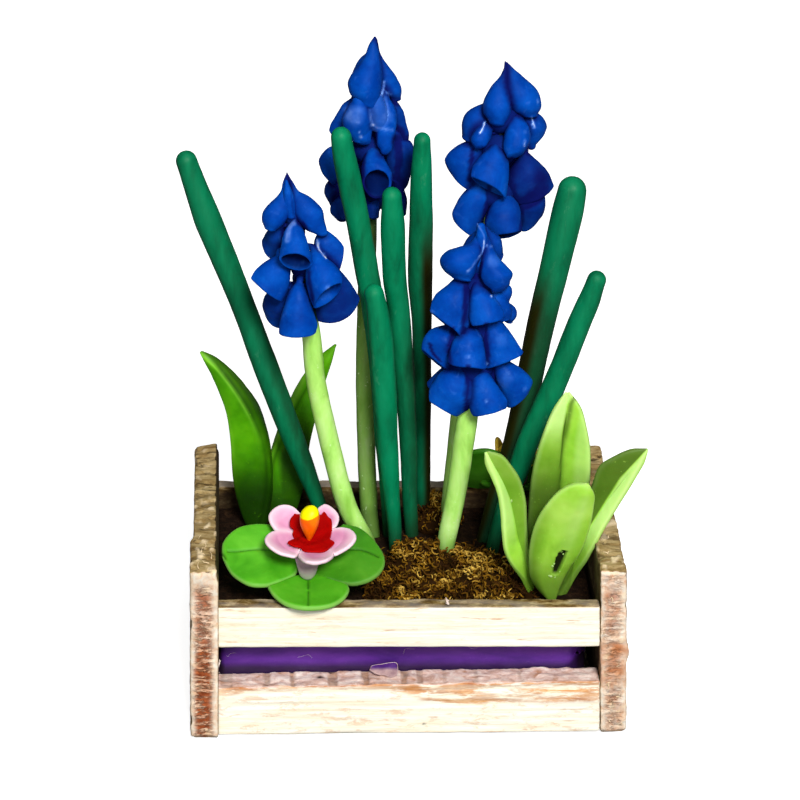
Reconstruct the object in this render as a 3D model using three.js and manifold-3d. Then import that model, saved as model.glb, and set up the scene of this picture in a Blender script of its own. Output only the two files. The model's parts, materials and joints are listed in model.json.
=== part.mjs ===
// Miniature planter: a small raw-wood slatted crate filled with a purple clay block, dark soil and
// dried moss, planted with four clay grape hyacinths, tubular and flat leaves and two open blossoms.
// Millimetres, +Z up. X runs along the crate, Y from the front (-) to the back (+). The origin is the
// middle of the underside of the floor board, which is the face the crate stands on.
import * as THREE from 'three';
import * as BufferGeometryUtils from 'three/addons/utils/BufferGeometryUtils.js';
import Module from 'manifold-3d';

const wasm = await Module();
wasm.setup();

// ---------------------------------------------------------------- driving dimensions (mm)
const CRATE_HEIGHT = 14.9;        // end boards
const CRATE_FRONT = -11.7;        // front edge of the end boards, flush with the slats
const CRATE_BACK = 12.0;
const BOARD = 2.15;               // end board thickness
const LEFT_OUTER = -17.5;         // outer face of the left end board
const RIGHT_INNER_TOP = 15.2;     // inner face of the right end board at its top
const RIGHT_LEAN = 0.6;           // how far the right board's foot stands further out than its top
const SLAT_LEFT = -15.32;         // left ends of the slats, just clear of the left board
const UPPER_SLAT = [8.08, 11.72]; // heights of the lower and upper edge
const LOWER_SLAT = [0.08, 4.4];
const UPPER_THICK = 1.42;
const LOWER_THICK = 2.62;
const FLOOR_THICK = 1.2;
const CLAY_TOP = 8.9;
const SOIL_TOP = 9.9;
const ROOT_Z = 7.6;               // how deep the stems reach into the clay block
const GAP = 0.035;                // clearance between pieces that touch
const PETAL_LENGTH = 3.75;        // open blossom, from its middle to a petal's tip
const ROUND_LEAF = 3.35;          // half width of a round blossom leaf

// ---------------------------------------------------------------- finishes
const finish = (color, roughness, metalness = 0) => new THREE.MeshStandardMaterial({ color, roughness, metalness });
const WOOD = finish(0xdcc09a, 0.85);
const WOOD_END = finish(0xa98d6e, 0.9);
const PURPLE = finish(0x55238f, 0.5);
const SOIL = finish(0x1d130b, 0.95);
const MOSS = finish(0x8a6420, 0.9);
const BLUE = finish(0x1548be, 0.4);
const STEM = finish(0x9fd36a, 0.5);
const TUBE = finish(0x06764a, 0.5);
const LEAF = finish(0x4f9d14, 0.5);
const PALE = finish(0x9fd24a, 0.5);
const ROUND = finish(0x4aa822, 0.5);
const PINK = finish(0xe9a6cf, 0.5);
const YELLOW = finish(0xd9a914, 0.5);
const RED = finish(0xa30812, 0.45);
const MAROON = finish(0x5a1a10, 0.5);
const ORANGE = finish(0xf58a10, 0.4);
const CALYX = finish(0xcabfd0, 0.5);

// ---------------------------------------------------------------- solids and booleans
// One closed shell: shared corners merged, collapsed triangles dropped, faces outward.
function closed(geometry, tolerance = 1e-4) {
  let g = geometry.clone();
  for (const name of Object.keys(g.attributes)) if (name !== 'position') g.deleteAttribute(name);
  if (!g.index) g.setIndex([...Array(g.attributes.position.count).keys()]);
  g = BufferGeometryUtils.mergeVertices(g, tolerance);
  const index = g.index.array, kept = [];
  for (let i = 0; i < index.length; i += 3) {
    const [a, b, c] = [index[i], index[i + 1], index[i + 2]];
    if (a !== b && b !== c && c !== a) kept.push(a, b, c);
  }
  const p = g.attributes.position, v = (i) => new THREE.Vector3().fromBufferAttribute(p, i);
  let volume = 0;
  for (let i = 0; i < kept.length; i += 3) volume += v(kept[i]).dot(v(kept[i + 1]).cross(v(kept[i + 2])));
  if (volume < 0) for (let i = 0; i < kept.length; i += 3) [kept[i], kept[i + 1]] = [kept[i + 1], kept[i]];
  g.setIndex(kept);
  return g;
}

function solid(geometry, tolerance) {
  const g = closed(geometry, tolerance);
  return new wasm.Manifold(new wasm.Mesh({
    numProp: 3,
    vertProperties: new Float32Array(g.attributes.position.array),
    triVerts: new Uint32Array(g.index.array),
  }));
}

// Whether every edge joins exactly two faces and no two corners are closer than a micrometre.
function tight(g) {
  const p = g.attributes.position, index = g.index.array, seen = new Set(), edges = new Set();
  for (let i = 0; i < p.count; i++) {
    const key = [p.getX(i), p.getY(i), p.getZ(i)].map((x) => Math.round(x * 1000)).join();
    if (seen.has(key)) return false;
    seen.add(key);
  }
  for (let i = 0; i < index.length; i += 3) for (let k = 0; k < 3; k++) {
    const edge = `${index[i + k]}>${index[i + ((k + 1) % 3)]}`;
    if (edges.has(edge)) return false;
    edges.add(edge);
  }
  return [...edges].every((e) => edges.has(e.split('>').reverse().join('>')));
}

// The largest single body of a boolean result, as a geometry without its shortest edges.
function geometryOf(manifold) {
  let best = manifold;
  const parts = manifold.decompose();
  if (parts.length > 1) best = parts.reduce((a, b) => (b.volume() > a.volume() ? b : a));
  const mesh = best.getMesh(), g = new THREE.BufferGeometry(), n = mesh.vertProperties.length / mesh.numProp;
  const position = new Float32Array(n * 3);
  for (let i = 0; i < n; i++) for (let k = 0; k < 3; k++) position[3 * i + k] = mesh.vertProperties[i * mesh.numProp + k];
  g.setAttribute('position', new THREE.BufferAttribute(position, 3));
  g.setIndex([...mesh.triVerts]);
  for (const tolerance of [0.04, 0.03, 0.02, 0.012, 0.006, 0.003, 0.001]) {
    const merged = closed(g, tolerance);
    try {
      const check = solid(merged, tolerance / 10);
      if (tight(merged) && check.decompose().length === 1 && Math.abs(check.volume() / best.volume() - 1) < 0.01) return merged;
    } catch { /* these corners can't be merged so far apart: try closer ones */ }
  }
  return g;
}

const union = (list) => list.reduce((a, b) => a.add(b));
const cut = (body, tools) => tools.reduce((a, b) => a.subtract(b), body);

const garden = new THREE.Group();
function piece(name, geometry, material) {
  const g = closed(geometry).toNonIndexed();
  g.computeVertexNormals();
  const mesh = new THREE.Mesh(g, material);
  mesh.name = name;
  garden.add(mesh);
  return mesh;
}

// ---------------------------------------------------------------- shapes
const V = (a) => new THREE.Vector3(...a);

// A turned form laid along a curve: the profile is [u, r] with u from 0 to 1 along the curve.
// wide and thick scale its section, side is the direction of the wide axis, fold lifts its edges.
function along(curve, profile, { segments = 8, side = [0, 1, 0], wide = 1, thick = 1, fold = 0, grow = 0 } = {}) {
  const g = new THREE.LatheGeometry(profile.map(([u, r]) => new THREE.Vector2(r > 0 ? r + grow : 0, u)), segments);
  const p = g.attributes.position;
  const S = V(side);
  for (let i = 0; i < p.count; i++) {
    const u = Math.min(1, Math.max(0, p.getY(i))), a = p.getX(i) * wide, b = p.getZ(i) * thick;
    const at = curve.getPointAt(u), T = curve.getTangentAt(u);
    const N = S.clone().addScaledVector(T, -S.dot(T)).normalize(), B = T.clone().cross(N);
    at.addScaledVector(N, a).addScaledVector(B, b + fold * Math.abs(a));
    if (grow && (u === 0 || u === 1)) at.addScaledVector(T, u ? grow : -grow);
    p.setXYZ(i, at.x, at.y, at.z);
  }
  return g;
}

// A tapering rod through points with a radius at each; its far end is rounded or flat.
function rod(points, radii, { segments = 8, steps = 9, round = true, grow = 0 } = {}) {
  const curve = new THREE.CatmullRomCurve3(points.map(V), false, 'centripetal');
  const lengths = curve.getLengths(400), L = lengths[400];
  const marks = points.map((_, i) => lengths[Math.round(400 * i / (points.length - 1))] / L);
  const radiusAt = (u) => {
    let i = 0;
    while (i < marks.length - 2 && u > marks[i + 1]) i++;
    return THREE.MathUtils.lerp(radii[i], radii[i + 1], THREE.MathUtils.clamp((u - marks[i]) / (marks[i + 1] - marks[i]), 0, 1));
  };
  const end = radii[radii.length - 1], capU = round ? end / L : 0, profile = [[0, 0], [0, radiusAt(0)]];
  for (let i = 1; i <= steps; i++) { const u = (1 - capU) * i / steps; profile.push([u, radiusAt(u)]); }
  if (round) for (const d of [0.45, 0.12]) profile.push([1 - capU * d, end * Math.sqrt(1 - (1 - d) ** 2)]);
  profile.push([1, 0]);
  return along(curve, profile, { segments, grow });
}

// A hanging floret: closed bud or open bell with a hollow mouth, from its top A to its mouth M.
// Its top leans in to the root, the nearest point of the stem's centre line.
const BUD = [[0, 0], [0.08, 0.42], [0.42, 0.86], [0.76, 1.06], [1, 0]];
const BELL = [[0, 0], [0.08, 0.45], [0.5, 0.92], [0.93, 1.1], [0.8, 0]];
function floret([kind, a, m, r], root, grow = 0) {
  const A = V(a).lerp(root, 0.4), M = V(m), T = M.clone().sub(A).normalize();
  A.addScaledVector(T, -0.12 - grow);
  M.addScaledVector(T, grow);
  const curve = new THREE.LineCurve3(A, M), list = kind === 'bud' ? BUD : BELL;
  return along(curve, list.map(([u, k]) => [grow && k === 0 && u > 0.5 ? 1 : u, k * r]), { segments: 6, side: [0.2, 1, 0.1], grow });
}

// A flat clay leaf: lens section, width from a table along its length, folded about its midrib.
function blade(points, widths, { side, thick = 0.42, fold = 0.12, steps = 7, segments = 8, grow = 0 }) {
  const curve = new THREE.CatmullRomCurve3(points.map(V), false, 'centripetal'), profile = [[0, 0]];
  for (let i = 0; i <= steps; i++) {
    const u = i === 0 ? 0 : i === steps ? 0.97 : i / steps, x = u * (widths.length - 1), k = Math.min(widths.length - 2, Math.floor(x));
    profile.push([u, THREE.MathUtils.lerp(widths[k], widths[k + 1], x - k)]);
  }
  profile.push([1, 0]);
  const g = new THREE.LatheGeometry(profile.map(([u, r]) => new THREE.Vector2(r, u)), segments), p = g.attributes.position, S = V(side);
  for (let i = 0; i < p.count; i++) {
    const u = p.getY(i), r = Math.hypot(p.getX(i), p.getZ(i)), at = curve.getPointAt(u), T = curve.getTangentAt(u);
    const N = S.clone().addScaledVector(T, -S.dot(T)).normalize(), B = T.clone().cross(N);
    const a = p.getX(i) * (1 + (r ? grow / r : 0)), b = r ? (p.getZ(i) / r) * (thick + grow) : 0;
    at.addScaledVector(N, a).addScaledVector(B, b + fold * Math.abs(a));
    p.setXYZ(i, at.x, at.y, at.z);
  }
  return g;
}

// ---------------------------------------------------------------- crate
const middleY = (CRATE_BACK + CRATE_FRONT) / 2, depth = CRATE_BACK - CRATE_FRONT, rightInner = (z) => RIGHT_INNER_TOP + RIGHT_LEAN * (1 - z / CRATE_HEIGHT);

// Side outline of an end board, drawn in (y, z): small worn corners, a wider one at the top back.
function endBoard() {
  const s = new THREE.Shape(), y0 = CRATE_FRONT, y1 = CRATE_BACK, h = CRATE_HEIGHT;
  s.moveTo(y0 + 0.5, 0); s.lineTo(y1 - 0.6, 0); s.quadraticCurveTo(y1, 0, y1, 0.6);
  s.lineTo(y1, h - 0.9); s.quadraticCurveTo(y1 - 0.05, h - 0.1, y1 - 0.9, h);
  s.lineTo(y0 + 0.4, h); s.quadraticCurveTo(y0, h, y0, h - 0.4);
  s.lineTo(y0, 0.7); s.quadraticCurveTo(y0, 0, y0 + 0.5, 0);
  const g = new THREE.ExtrudeGeometry(s, { depth: BOARD, bevelEnabled: false, curveSegments: 3 });
  // the outline's x is the crate's y, its y is the crate's z, and the extrusion runs along x
  g.applyMatrix4(new THREE.Matrix4().set(0, 0, 1, 0, 1, 0, 0, 0, 0, 1, 0, 0, 0, 0, 0, 1));
  return g;
}
piece('end_board_left', endBoard().translate(LEFT_OUTER, 0, 0), WOOD_END);
const rightBoard = endBoard(), rp = rightBoard.attributes.position;
for (let i = 0; i < rp.count; i++) rp.setX(i, rp.getX(i) + rightInner(rp.getZ(i)));
piece('end_board_right', rightBoard, WOOD_END);

// A slat between the end boards; its right end follows the lean of the right board.
function slat(y0, y1, [z0, z1]) {
  const s = new THREE.Shape();
  s.moveTo(SLAT_LEFT, z0); s.lineTo(rightInner(z0) - GAP, z0); s.lineTo(rightInner(z1) - GAP, z1); s.lineTo(SLAT_LEFT, z1);
  const g = new THREE.ExtrudeGeometry(s, { depth: y1 - y0, bevelEnabled: false });
  g.rotateX(Math.PI / 2);
  return g.translate(0, y1, 0);
}
piece('front_slat_upper', slat(CRATE_FRONT, CRATE_FRONT + UPPER_THICK, UPPER_SLAT), WOOD);
piece('front_slat_lower', slat(CRATE_FRONT, CRATE_FRONT + LOWER_THICK, LOWER_SLAT), WOOD);
piece('rear_slat_upper', slat(CRATE_BACK - UPPER_THICK, CRATE_BACK, UPPER_SLAT), WOOD);
piece('rear_slat_lower', slat(CRATE_BACK - LOWER_THICK, CRATE_BACK, LOWER_SLAT), WOOD);
const innerY = depth / 2 - LOWER_THICK - GAP;
piece('floor_board', slat(middleY - innerY, middleY + innerY, [0, FLOOR_THICK]), WOOD);

// ---------------------------------------------------------------- stems and tubular leaves
// Centre line and radius from the clay block up to the tip.
const STEMS = {
  left_spike_stem: {
    at: [[-2.4, 2, ROOT_Z], [-2.8, 2, 10.2], [-3.66, 2, 12.06], [-4.69, 2, 14.27], [-6.13, 1.8, 20.02], [-7.31, 1.4, 25.68], [-7.73, 1, 29.65], [-8.47, 0.6, 34.88], [-9.16, 0.3, 39.74], [-9.7, 0.2, 43.0]],
    r: [0.78, 0.78, 0.8, 0.81, 0.82, 0.8, 0.78, 0.64, 0.45, 0.28] },
  rear_spike_stem: {
    at: [[-2.38, 5.2, ROOT_Z], [-2.42, 5.2, 9.94], [-2.68, 5.4, 12.64], [-2.97, 5.7, 18.23], [-3.13, 6, 23.66], [-3.15, 6.3, 30.8], [-3.04, 6.5, 36.89], [-3.03, 6.6, 43.8], [-2.95, 6.6, 48.92], [-2.86, 6.6, 51.4]],
    r: [0.72, 0.72, 0.74, 0.75, 0.75, 0.72, 0.7, 0.5, 0.4, 0.26] },
  right_spike_stem: {
    at: [[4.1, 6.6, ROOT_Z], [4.2, 6.6, 9.15], [4.42, 6.6, 13.65], [4.67, 6.6, 17.08], [4.88, 6.5, 20.25], [5.35, 6.5, 24.26], [6.19, 6.4, 29.89], [6.75, 6.3, 35.69], [7.23, 6.2, 41.4], [7.56, 6.2, 46.56], [7.74, 6.2, 49.6]],
    r: [0.74, 0.76, 0.79, 0.8, 0.8, 0.78, 0.74, 0.66, 0.5, 0.4, 0.26] },
  front_spike_stem: {
    at: [[3.4, 0.6, ROOT_Z], [3.58, 0.6, 11.07], [3.72, 0.6, 12.18], [4.08, 0.3, 15.08], [4.32, 0, 18.05], [4.55, -0.3, 20.99], [4.77, -0.5, 23.23], [5.02, -0.6, 27.1], [5.31, -0.7, 31.1], [5.51, -0.7, 35.45], [5.58, -0.7, 38.4]],
    r: [0.73, 0.74, 0.76, 0.81, 0.85, 0.87, 0.86, 0.66, 0.52, 0.4, 0.26] },
};
const TUBES = {
  tube_leaf_far_left: {
    at: [[-5.6, 5.6, ROOT_Z], [-6.96, 5.6, 12.55], [-9.07, 5.6, 18.27], [-11.1, 5.6, 23.82], [-13.25, 5.6, 30.53], [-16.29, 5.6, 38.6], [-18.1, 5.6, 43.9]],
    r: [0.6, 0.63, 0.87, 0.9, 0.9, 0.86, 0.68] },
  tube_leaf_mid_tall: {
    at: [[-0.75, 5.3, ROOT_Z], [-1.07, 4.9, 13.25], [-1.53, 4.4, 19.01], [-2.11, 3.6, 26.59], [-2.71, 3, 31.64], [-3.21, 2.7, 34.43], [-4.22, 1.8, 40.11], [-5.28, 0.9, 45.63], [-5.55, 0.6, 47.8]],
    r: [0.55, 0.59, 0.75, 0.86, 0.93, 0.95, 0.96, 0.91, 0.72] },
  tube_leaf_mid_front: {
    at: [[-0.5, 2.2, ROOT_Z], [-0.56, 2.2, 11.4], [-0.83, 2, 14.27], [-1.37, 1.6, 20.11], [-1.78, 1.1, 25.81], [-2.3, 0.6, 31.41], [-2.92, 0.4, 34.5]],
    r: [0.38, 0.55, 0.63, 0.87, 0.98, 0.99, 0.78] },
  tube_leaf_mid_short: {
    at: [[1.2, 5.3, ROOT_Z], [0.79, 5, 12.83], [0.47, 4.4, 18.83], [0.03, 3.8, 24.63], [-0.49, 3, 30.41], [-1.04, 2.3, 34.65], [-1.37, 1.3, 40.31], [-1.5, 1, 42.6]],
    r: [0.5, 0.63, 0.71, 0.79, 0.88, 0.97, 0.98, 0.76] },
  tube_leaf_mid_right: {
    at: [[2.15, 8, ROOT_Z], [2.05, 8, 11.39], [1.85, 7.4, 17.45], [1.68, 6.6, 23.4], [1.42, 5.6, 29.32], [1.17, 4.9, 33.59], [1.06, 3.6, 39.43], [0.95, 2.4, 44.51], [0.9, 1.85, 46.9]],
    r: [0.51, 0.59, 0.67, 0.73, 0.82, 1.04, 0.97, 0.84, 0.66] },
  tube_leaf_right_tall: {
    at: [[6.33, 4.2, ROOT_Z], [6.88, 4.2, 9.76], [8.1, 4.4, 14.41], [9.31, 4.6, 18.74], [10.24, 4.9, 24.16], [11.23, 5.2, 29.51], [12.59, 5.6, 35.98], [13.37, 5.9, 39.97], [13.52, 5.9, 41.36]],
    r: [0.56, 0.59, 0.88, 1.05, 1.07, 1.07, 1.03, 0.98, 0.78] },
  tube_leaf_right_short: {
    at: [[7.22, 2, ROOT_Z], [7.92, 2, 12.14], [9.49, 1.9, 17.71], [10.02, 1.8, 20.03], [11.82, 1.5, 25.65], [13.77, 1, 31.28], [14.46, 0.8, 33.12], [15.22, 0.5, 35.51]],
    r: [0.5, 0.59, 0.86, 0.91, 0.93, 0.91, 0.87, 0.68] },
};
const planted = [];               // grown copies of everything that stands in the fill
for (const [name, { at, r }] of Object.entries(STEMS)) {
  piece(name, rod(at, r, { steps: 10, round: false }), STEM);
  planted.push(rod(at, r, { steps: 10, round: false, grow: GAP }));
}
for (const [name, { at, r }] of Object.entries(TUBES)) {
  piece(name, rod(at, r), TUBE);
  planted.push(rod(at, r, { grow: GAP }));
}

// ---------------------------------------------------------------- flower spikes
// Each floret: kind, top, mouth, largest radius. One list per tier, from the tip down.
const SPIKES = {
  left_spike: [
    [['bud', [-9.83, 0.1, 43.97], [-10.92, -0.6, 40.17], 1.15],
      ['bud', [-9.75, 0.2, 43.85], [-7.51, -0.4, 40.1], 1.31],
      ['bud', [-9.73, 0.8, 42.86], [-9.28, 2.5, 38.96], 1.04]],
    [['bell', [-9.26, -0.4, 40.52], [-9.04, -2.6, 37.98], 1.42],
      ['bell', [-10.03, 0.8, 39.28], [-11.28, 1.9, 37.55], 0.88],
      ['bell', [-8.36, 0.3, 39.65], [-5.93, 0.4, 36.96], 1.04],
      ['bell', [-8.98, 1.2, 39.38], [-7.71, 3.2, 36.09], 1.05]],
    [['bell', [-9.7, -0.2, 37.02], [-11.46, -1, 34.67], 1.56],
      ['bell', [-8.19, -0.3, 37.06], [-6.61, -2.1, 34.61], 1.43],
      ['bell', [-8, 0.6, 36.1], [-5.3, 1.2, 32.82], 1.53],
      ['bell', [-8.71, 1.2, 35.85], [-9.29, 3.3, 32.38], 1.3]],
    [['bell', [-8.82, -0.6, 35.03], [-8.89, -1.9, 31.58], 1.56],
      ['bell', [-9.27, 0.7, 33.97], [-11.09, 1.7, 31.63], 1.13],
      ['bell', [-8.04, 1.3, 33.56], [-6.83, 3.3, 30.09], 1.14]],
  ],
  rear_spike: [
    [['bud', [-2.87, 6.2, 53.1], [-3.32, 4.9, 48.58], 1.32],
      ['bud', [-2.78, 6.6, 52.8], [-1.22, 7.3, 48.34], 1.13],
      ['bud', [-2.84, 6.9, 52.36], [-4.02, 7.9, 48.29], 0.97]],
    [['bell', [-3.61, 5.9, 48.4], [-4.41, 4.6, 45.55], 1.16],
      ['bell', [-2.32, 5.9, 48.4], [-1.99, 4.6, 44.79], 1.08],
      ['bell', [-3.74, 6.7, 48.29], [-5.79, 6.9, 45.56], 1.05],
      ['bell', [-2.12, 6.8, 48.09], [-0.6, 7.1, 45.08], 1.09],
      ['bell', [-2.9, 7.4, 47.62], [-3.1, 9.4, 44.32], 1.14]],
    [['bell', [-3.7, 6.3, 44.59], [-6.42, 6, 42.46], 1.25],
      ['bell', [-2.75, 5.7, 44.39], [-2.55, 3.4, 42.42], 1.4],
      ['bell', [-2.15, 6.6, 44.31], [-0.47, 6.7, 41.87], 1.22],
      ['bell', [-3.33, 7.2, 43.92], [-4.53, 9.1, 40.96], 1.14],
      ['bell', [-2.44, 7.3, 43.88], [-1.25, 9.3, 41.24], 1.15]],
    [['bell', [-3.71, 6.7, 41.17], [-5.96, 7, 39.83], 0.98],
      ['bell', [-3.49, 6, 40.91], [-5.04, 4.8, 39.46], 1.09],
      ['bell', [-2.76, 5.9, 40.95], [-2.55, 4.3, 39.66], 1.09],
      ['bell', [-2.25, 6.7, 41], [-0.66, 7.1, 39.55], 1.06],
      ['bell', [-3.03, 7.3, 40.42], [-3.08, 9.3, 37.73], 1.15]],
  ],
  right_spike: [
    [['bud', [7.72, 6, 51.29], [7.11, 4.7, 47.35], 1.12],
      ['bud', [7.81, 6.1, 51.26], [9.74, 5.7, 47.85], 1.25],
      ['bud', [7.78, 6.7, 50.8], [8.5, 8.2, 46.87], 0.97]],
    [['bud', [6.92, 5.7, 47.76], [5.72, 4.6, 45.34], 0.96],
      ['bud', [8.04, 5.6, 47.88], [8.6, 4.1, 44.76], 1.08],
      ['bud', [6.9, 6.5, 47.73], [5.04, 6.8, 45.65], 0.97],
      ['bud', [8.19, 6.5, 47.65], [10.63, 6.6, 45.14], 0.97],
      ['bud', [7.6, 7.1, 47.09], [8, 9.1, 43.79], 1.06]],
    [['bell', [6.76, 5.6, 44.89], [6.41, 3.8, 41.96], 1.49],
      ['bell', [6.49, 6.3, 44.63], [4.05, 6.5, 42.48], 1.34],
      ['bell', [8.12, 6.3, 44.47], [10.66, 6.4, 41.6], 1.5],
      ['bell', [7.37, 7.1, 44], [6.63, 9.2, 40.61], 1.23],
      ['bell', [7.86, 7.1, 44], [9.41, 9.1, 40.84], 1.23]],
    [['bell', [6.41, 5.9, 40.99], [5.05, 5, 38.38], 1.34],
      ['bell', [7.3, 5.7, 40.72], [7.84, 4.1, 38.3], 1.54],
      ['bell', [7.76, 6.4, 40.46], [10.15, 6.7, 38.08], 1.27],
      ['bell', [6.99, 7.1, 40.36], [6.22, 9, 37.18], 1.23],
      ['bell', [7.48, 7.1, 40.36], [8.86, 9.1, 37.32], 1.23]],
  ],
  front_spike: [
    [['bud', [5.44, -1, 40.04], [3.48, -1.9, 36.97], 1.15],
      ['bud', [5.61, -1, 39.86], [6.89, -2.5, 36.45], 1.11],
      ['bud', [5.56, -0.4, 39.97], [6.82, 0.6, 37.35], 0.88],
      ['bud', [5.59, -0.2, 39.55], [4.98, 1.5, 36.12], 0.97]],
    [['bud', [5.9, -0.6, 36.1], [7.67, -0.4, 33.94], 0.84],
      ['bud', [5.57, 0.2, 35.43], [5.45, 2, 32.07], 1.05],
      ['bud', [5.87, 0, 35.51], [7.05, 1.8, 32.51], 0.97]],
    [['bell', [4.85, -1.1, 35.44], [2.94, -2.1, 32.73], 1.44],
      ['bell', [5.22, -1.4, 35.56], [6.24, -3, 32.94], 1.36],
      ['bell', [5.96, -0.4, 34.46], [8.23, 0.1, 32.43], 0.89],
      ['bell', [4.94, 0, 34.47], [3.98, 1.6, 31.36], 1.13],
      ['bell', [5.52, 0.2, 34.21], [6.47, 2.2, 30.93], 1.14]],
    [['bell', [4.49, -0.8, 31.49], [2.1, -1.2, 29.47], 1.37],
      ['bell', [4.92, -1.5, 31.96], [4.73, -3.2, 29.38], 1.56],
      ['bell', [5.6, -1, 31.58], [7.96, -1.6, 29.74], 1.41],
      ['bell', [5.37, 0.1, 30.76], [7.04, 2, 27.66], 1.22],
      ['bell', [4.72, 0.1, 30.76], [3.77, 1.9, 27.69], 1.22]],
    [['bell', [4.4, -1.1, 28.11], [3.12, -2.2, 25.24], 1.37],
      ['bell', [5.19, -1.4, 28.07], [6.56, -2.8, 25.33], 1.53],
      ['bell', [5.65, -0.6, 27.9], [8.96, -0.6, 26.04], 1.34],
      ['bell', [4.3, -0.3, 27.41], [2.52, 0.5, 25.64], 1.14],
      ['bell', [4.83, 0.2, 27.02], [4.21, 2.2, 23.63], 1.23],
      ['bell', [5.48, 0.2, 27.02], [6.51, 2.3, 23.95], 1.23]],
  ],
};
for (const [spike, tiers] of Object.entries(SPIKES)) {
  const { at, r } = STEMS[`${spike}_stem`], stemTool = solid(rod(at, r, { steps: 10, round: false, grow: GAP }));
  const line = new THREE.CatmullRomCurve3(at.map(V), false, 'centripetal');
  const pointAt = (z) => {
    let lo = 0, hi = 1;
    for (let i = 0; i < 30; i++) { const mid = (lo + hi) / 2; if (line.getPointAt(mid).z < z) lo = mid; else hi = mid; }
    return line.getPointAt(lo);
  };
  const above = [];
  tiers.forEach((florets, k) => {
    const tops = florets.map((f) => f[1][2]);
    const z1 = k === 0 ? Math.max(...tops) - 0.5 : Math.max(...tops) - 0.1, z0 = Math.min(...tops) - 1.1;
    // the tip buds meet above the stem, so they keep their tops
    const rootOf = (f) => (k === 0 ? V(f[1]) : pointAt(f[1][2]));
    // the sleeve of clay round the stem that the florets of this tier are pressed onto
    const sleeve = (grow) => {
      const a = pointAt(z0), b = k === 0 ? new THREE.Vector3(...florets[0][1]).lerp(pointAt(z1), 0.5).setZ(z1) : pointAt(z1);
      const R = (k === 0 ? 0.62 : 0.5) + r[r.length - 3] * 0.9 + 0.02 * k;
      return solid(rod([a.toArray(), a.clone().lerp(b, 0.5).toArray(), b.toArray()], [R, R, k === 0 ? 0.3 : R * 0.8], { steps: 2, round: false, grow }));
    };
    const body = union([sleeve(0), ...florets.map((f) => solid(floret(f, rootOf(f))))]);
    const tools = [stemTool, ...above];
    piece(k === 0 ? `${spike}_buds` : `${spike}_florets_${k}`, geometryOf(cut(body, tools)), BLUE);
    above.push(union([sleeve(GAP), ...florets.map((f) => solid(floret(f, rootOf(f), GAP)))]));
  });
}

// ---------------------------------------------------------------- flat leaves
const BLADES = {
  flat_leaf_left_outer: {
    at: [[-12.1, 7.2, ROOT_Z], [-12.3, 7.1, 11.2], [-13.0, 7, 15.8], [-14.1, 7, 20], [-15.6, 7, 23.6], [-16.65, 7, 25.75]],
    w: [0.8, 1.45, 2.05, 2.15, 1.7, 1.0, 0.2], side: [1, 0.35, 0], color: LEAF },
  flat_leaf_left_inner: {
    at: [[-9.6, 8.2, ROOT_Z], [-9.5, 8.2, 11.5], [-9.1, 8.2, 16], [-8.2, 8.2, 19.6], [-6.9, 8.2, 23], [-5.75, 8.2, 25.7]],
    w: [0.8, 1.5, 1.95, 2.0, 1.6, 0.95, 0.2], side: [1, -0.35, 0], color: LEAF },
  pale_leaf_left: {
    at: [[10.9, -5.9, ROOT_Z], [10.0, -5.9, 11.2], [8.7, -5.9, 15], [7.6, -6, 18.5], [6.4, -6.2, 22.6]],
    w: [0.5, 0.9, 1.35, 1.6, 1.5, 1.1, 0.35], side: [0.75, 0.65, 0], color: PALE },
  pale_leaf_back: {
    at: [[12.0, -3.6, ROOT_Z], [12.1, -3.7, 11.5], [12.2, -3.8, 16], [12.45, -4, 21], [12.75, -4.1, 26.9]],
    w: [0.9, 1.6, 2.2, 2.45, 2.2, 1.5, 0.4], side: [1, 0, 0], color: PALE },
  pale_leaf_front: {
    at: [[12.2, -6.9, ROOT_Z], [12.2, -7.2, 10.6], [12.5, -7.7, 14], [13.0, -8.2, 17.4], [13.75, -8.7, 20.9]],
    w: [0.7, 1.5, 2.2, 2.5, 2.4, 1.9, 0.6], side: [1, 0.1, -0.3], color: PALE },
  pale_leaf_right: {
    at: [[12.9, -5.7, ROOT_Z], [13.15, -5.7, 10.6], [13.8, -5.8, 13.6], [15.7, -6.2, 18.2], [18.9, -6.6, 23.4]],
    w: [0.5, 0.85, 1.2, 1.6, 1.75, 1.1, 0.2], side: [0.6, 0.75, -0.45], color: PALE },
};
const bladeTools = {};
for (const [name, { at, w, side, color }] of Object.entries(BLADES)) {
  const options = { side, fold: 0.16 }, clear = Object.values(bladeTools);
  piece(name, geometryOf(cut(solid(blade(at, w, options)), clear)), color);
  bladeTools[name] = solid(blade(at, w, { ...options, grow: GAP }));
}

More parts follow.
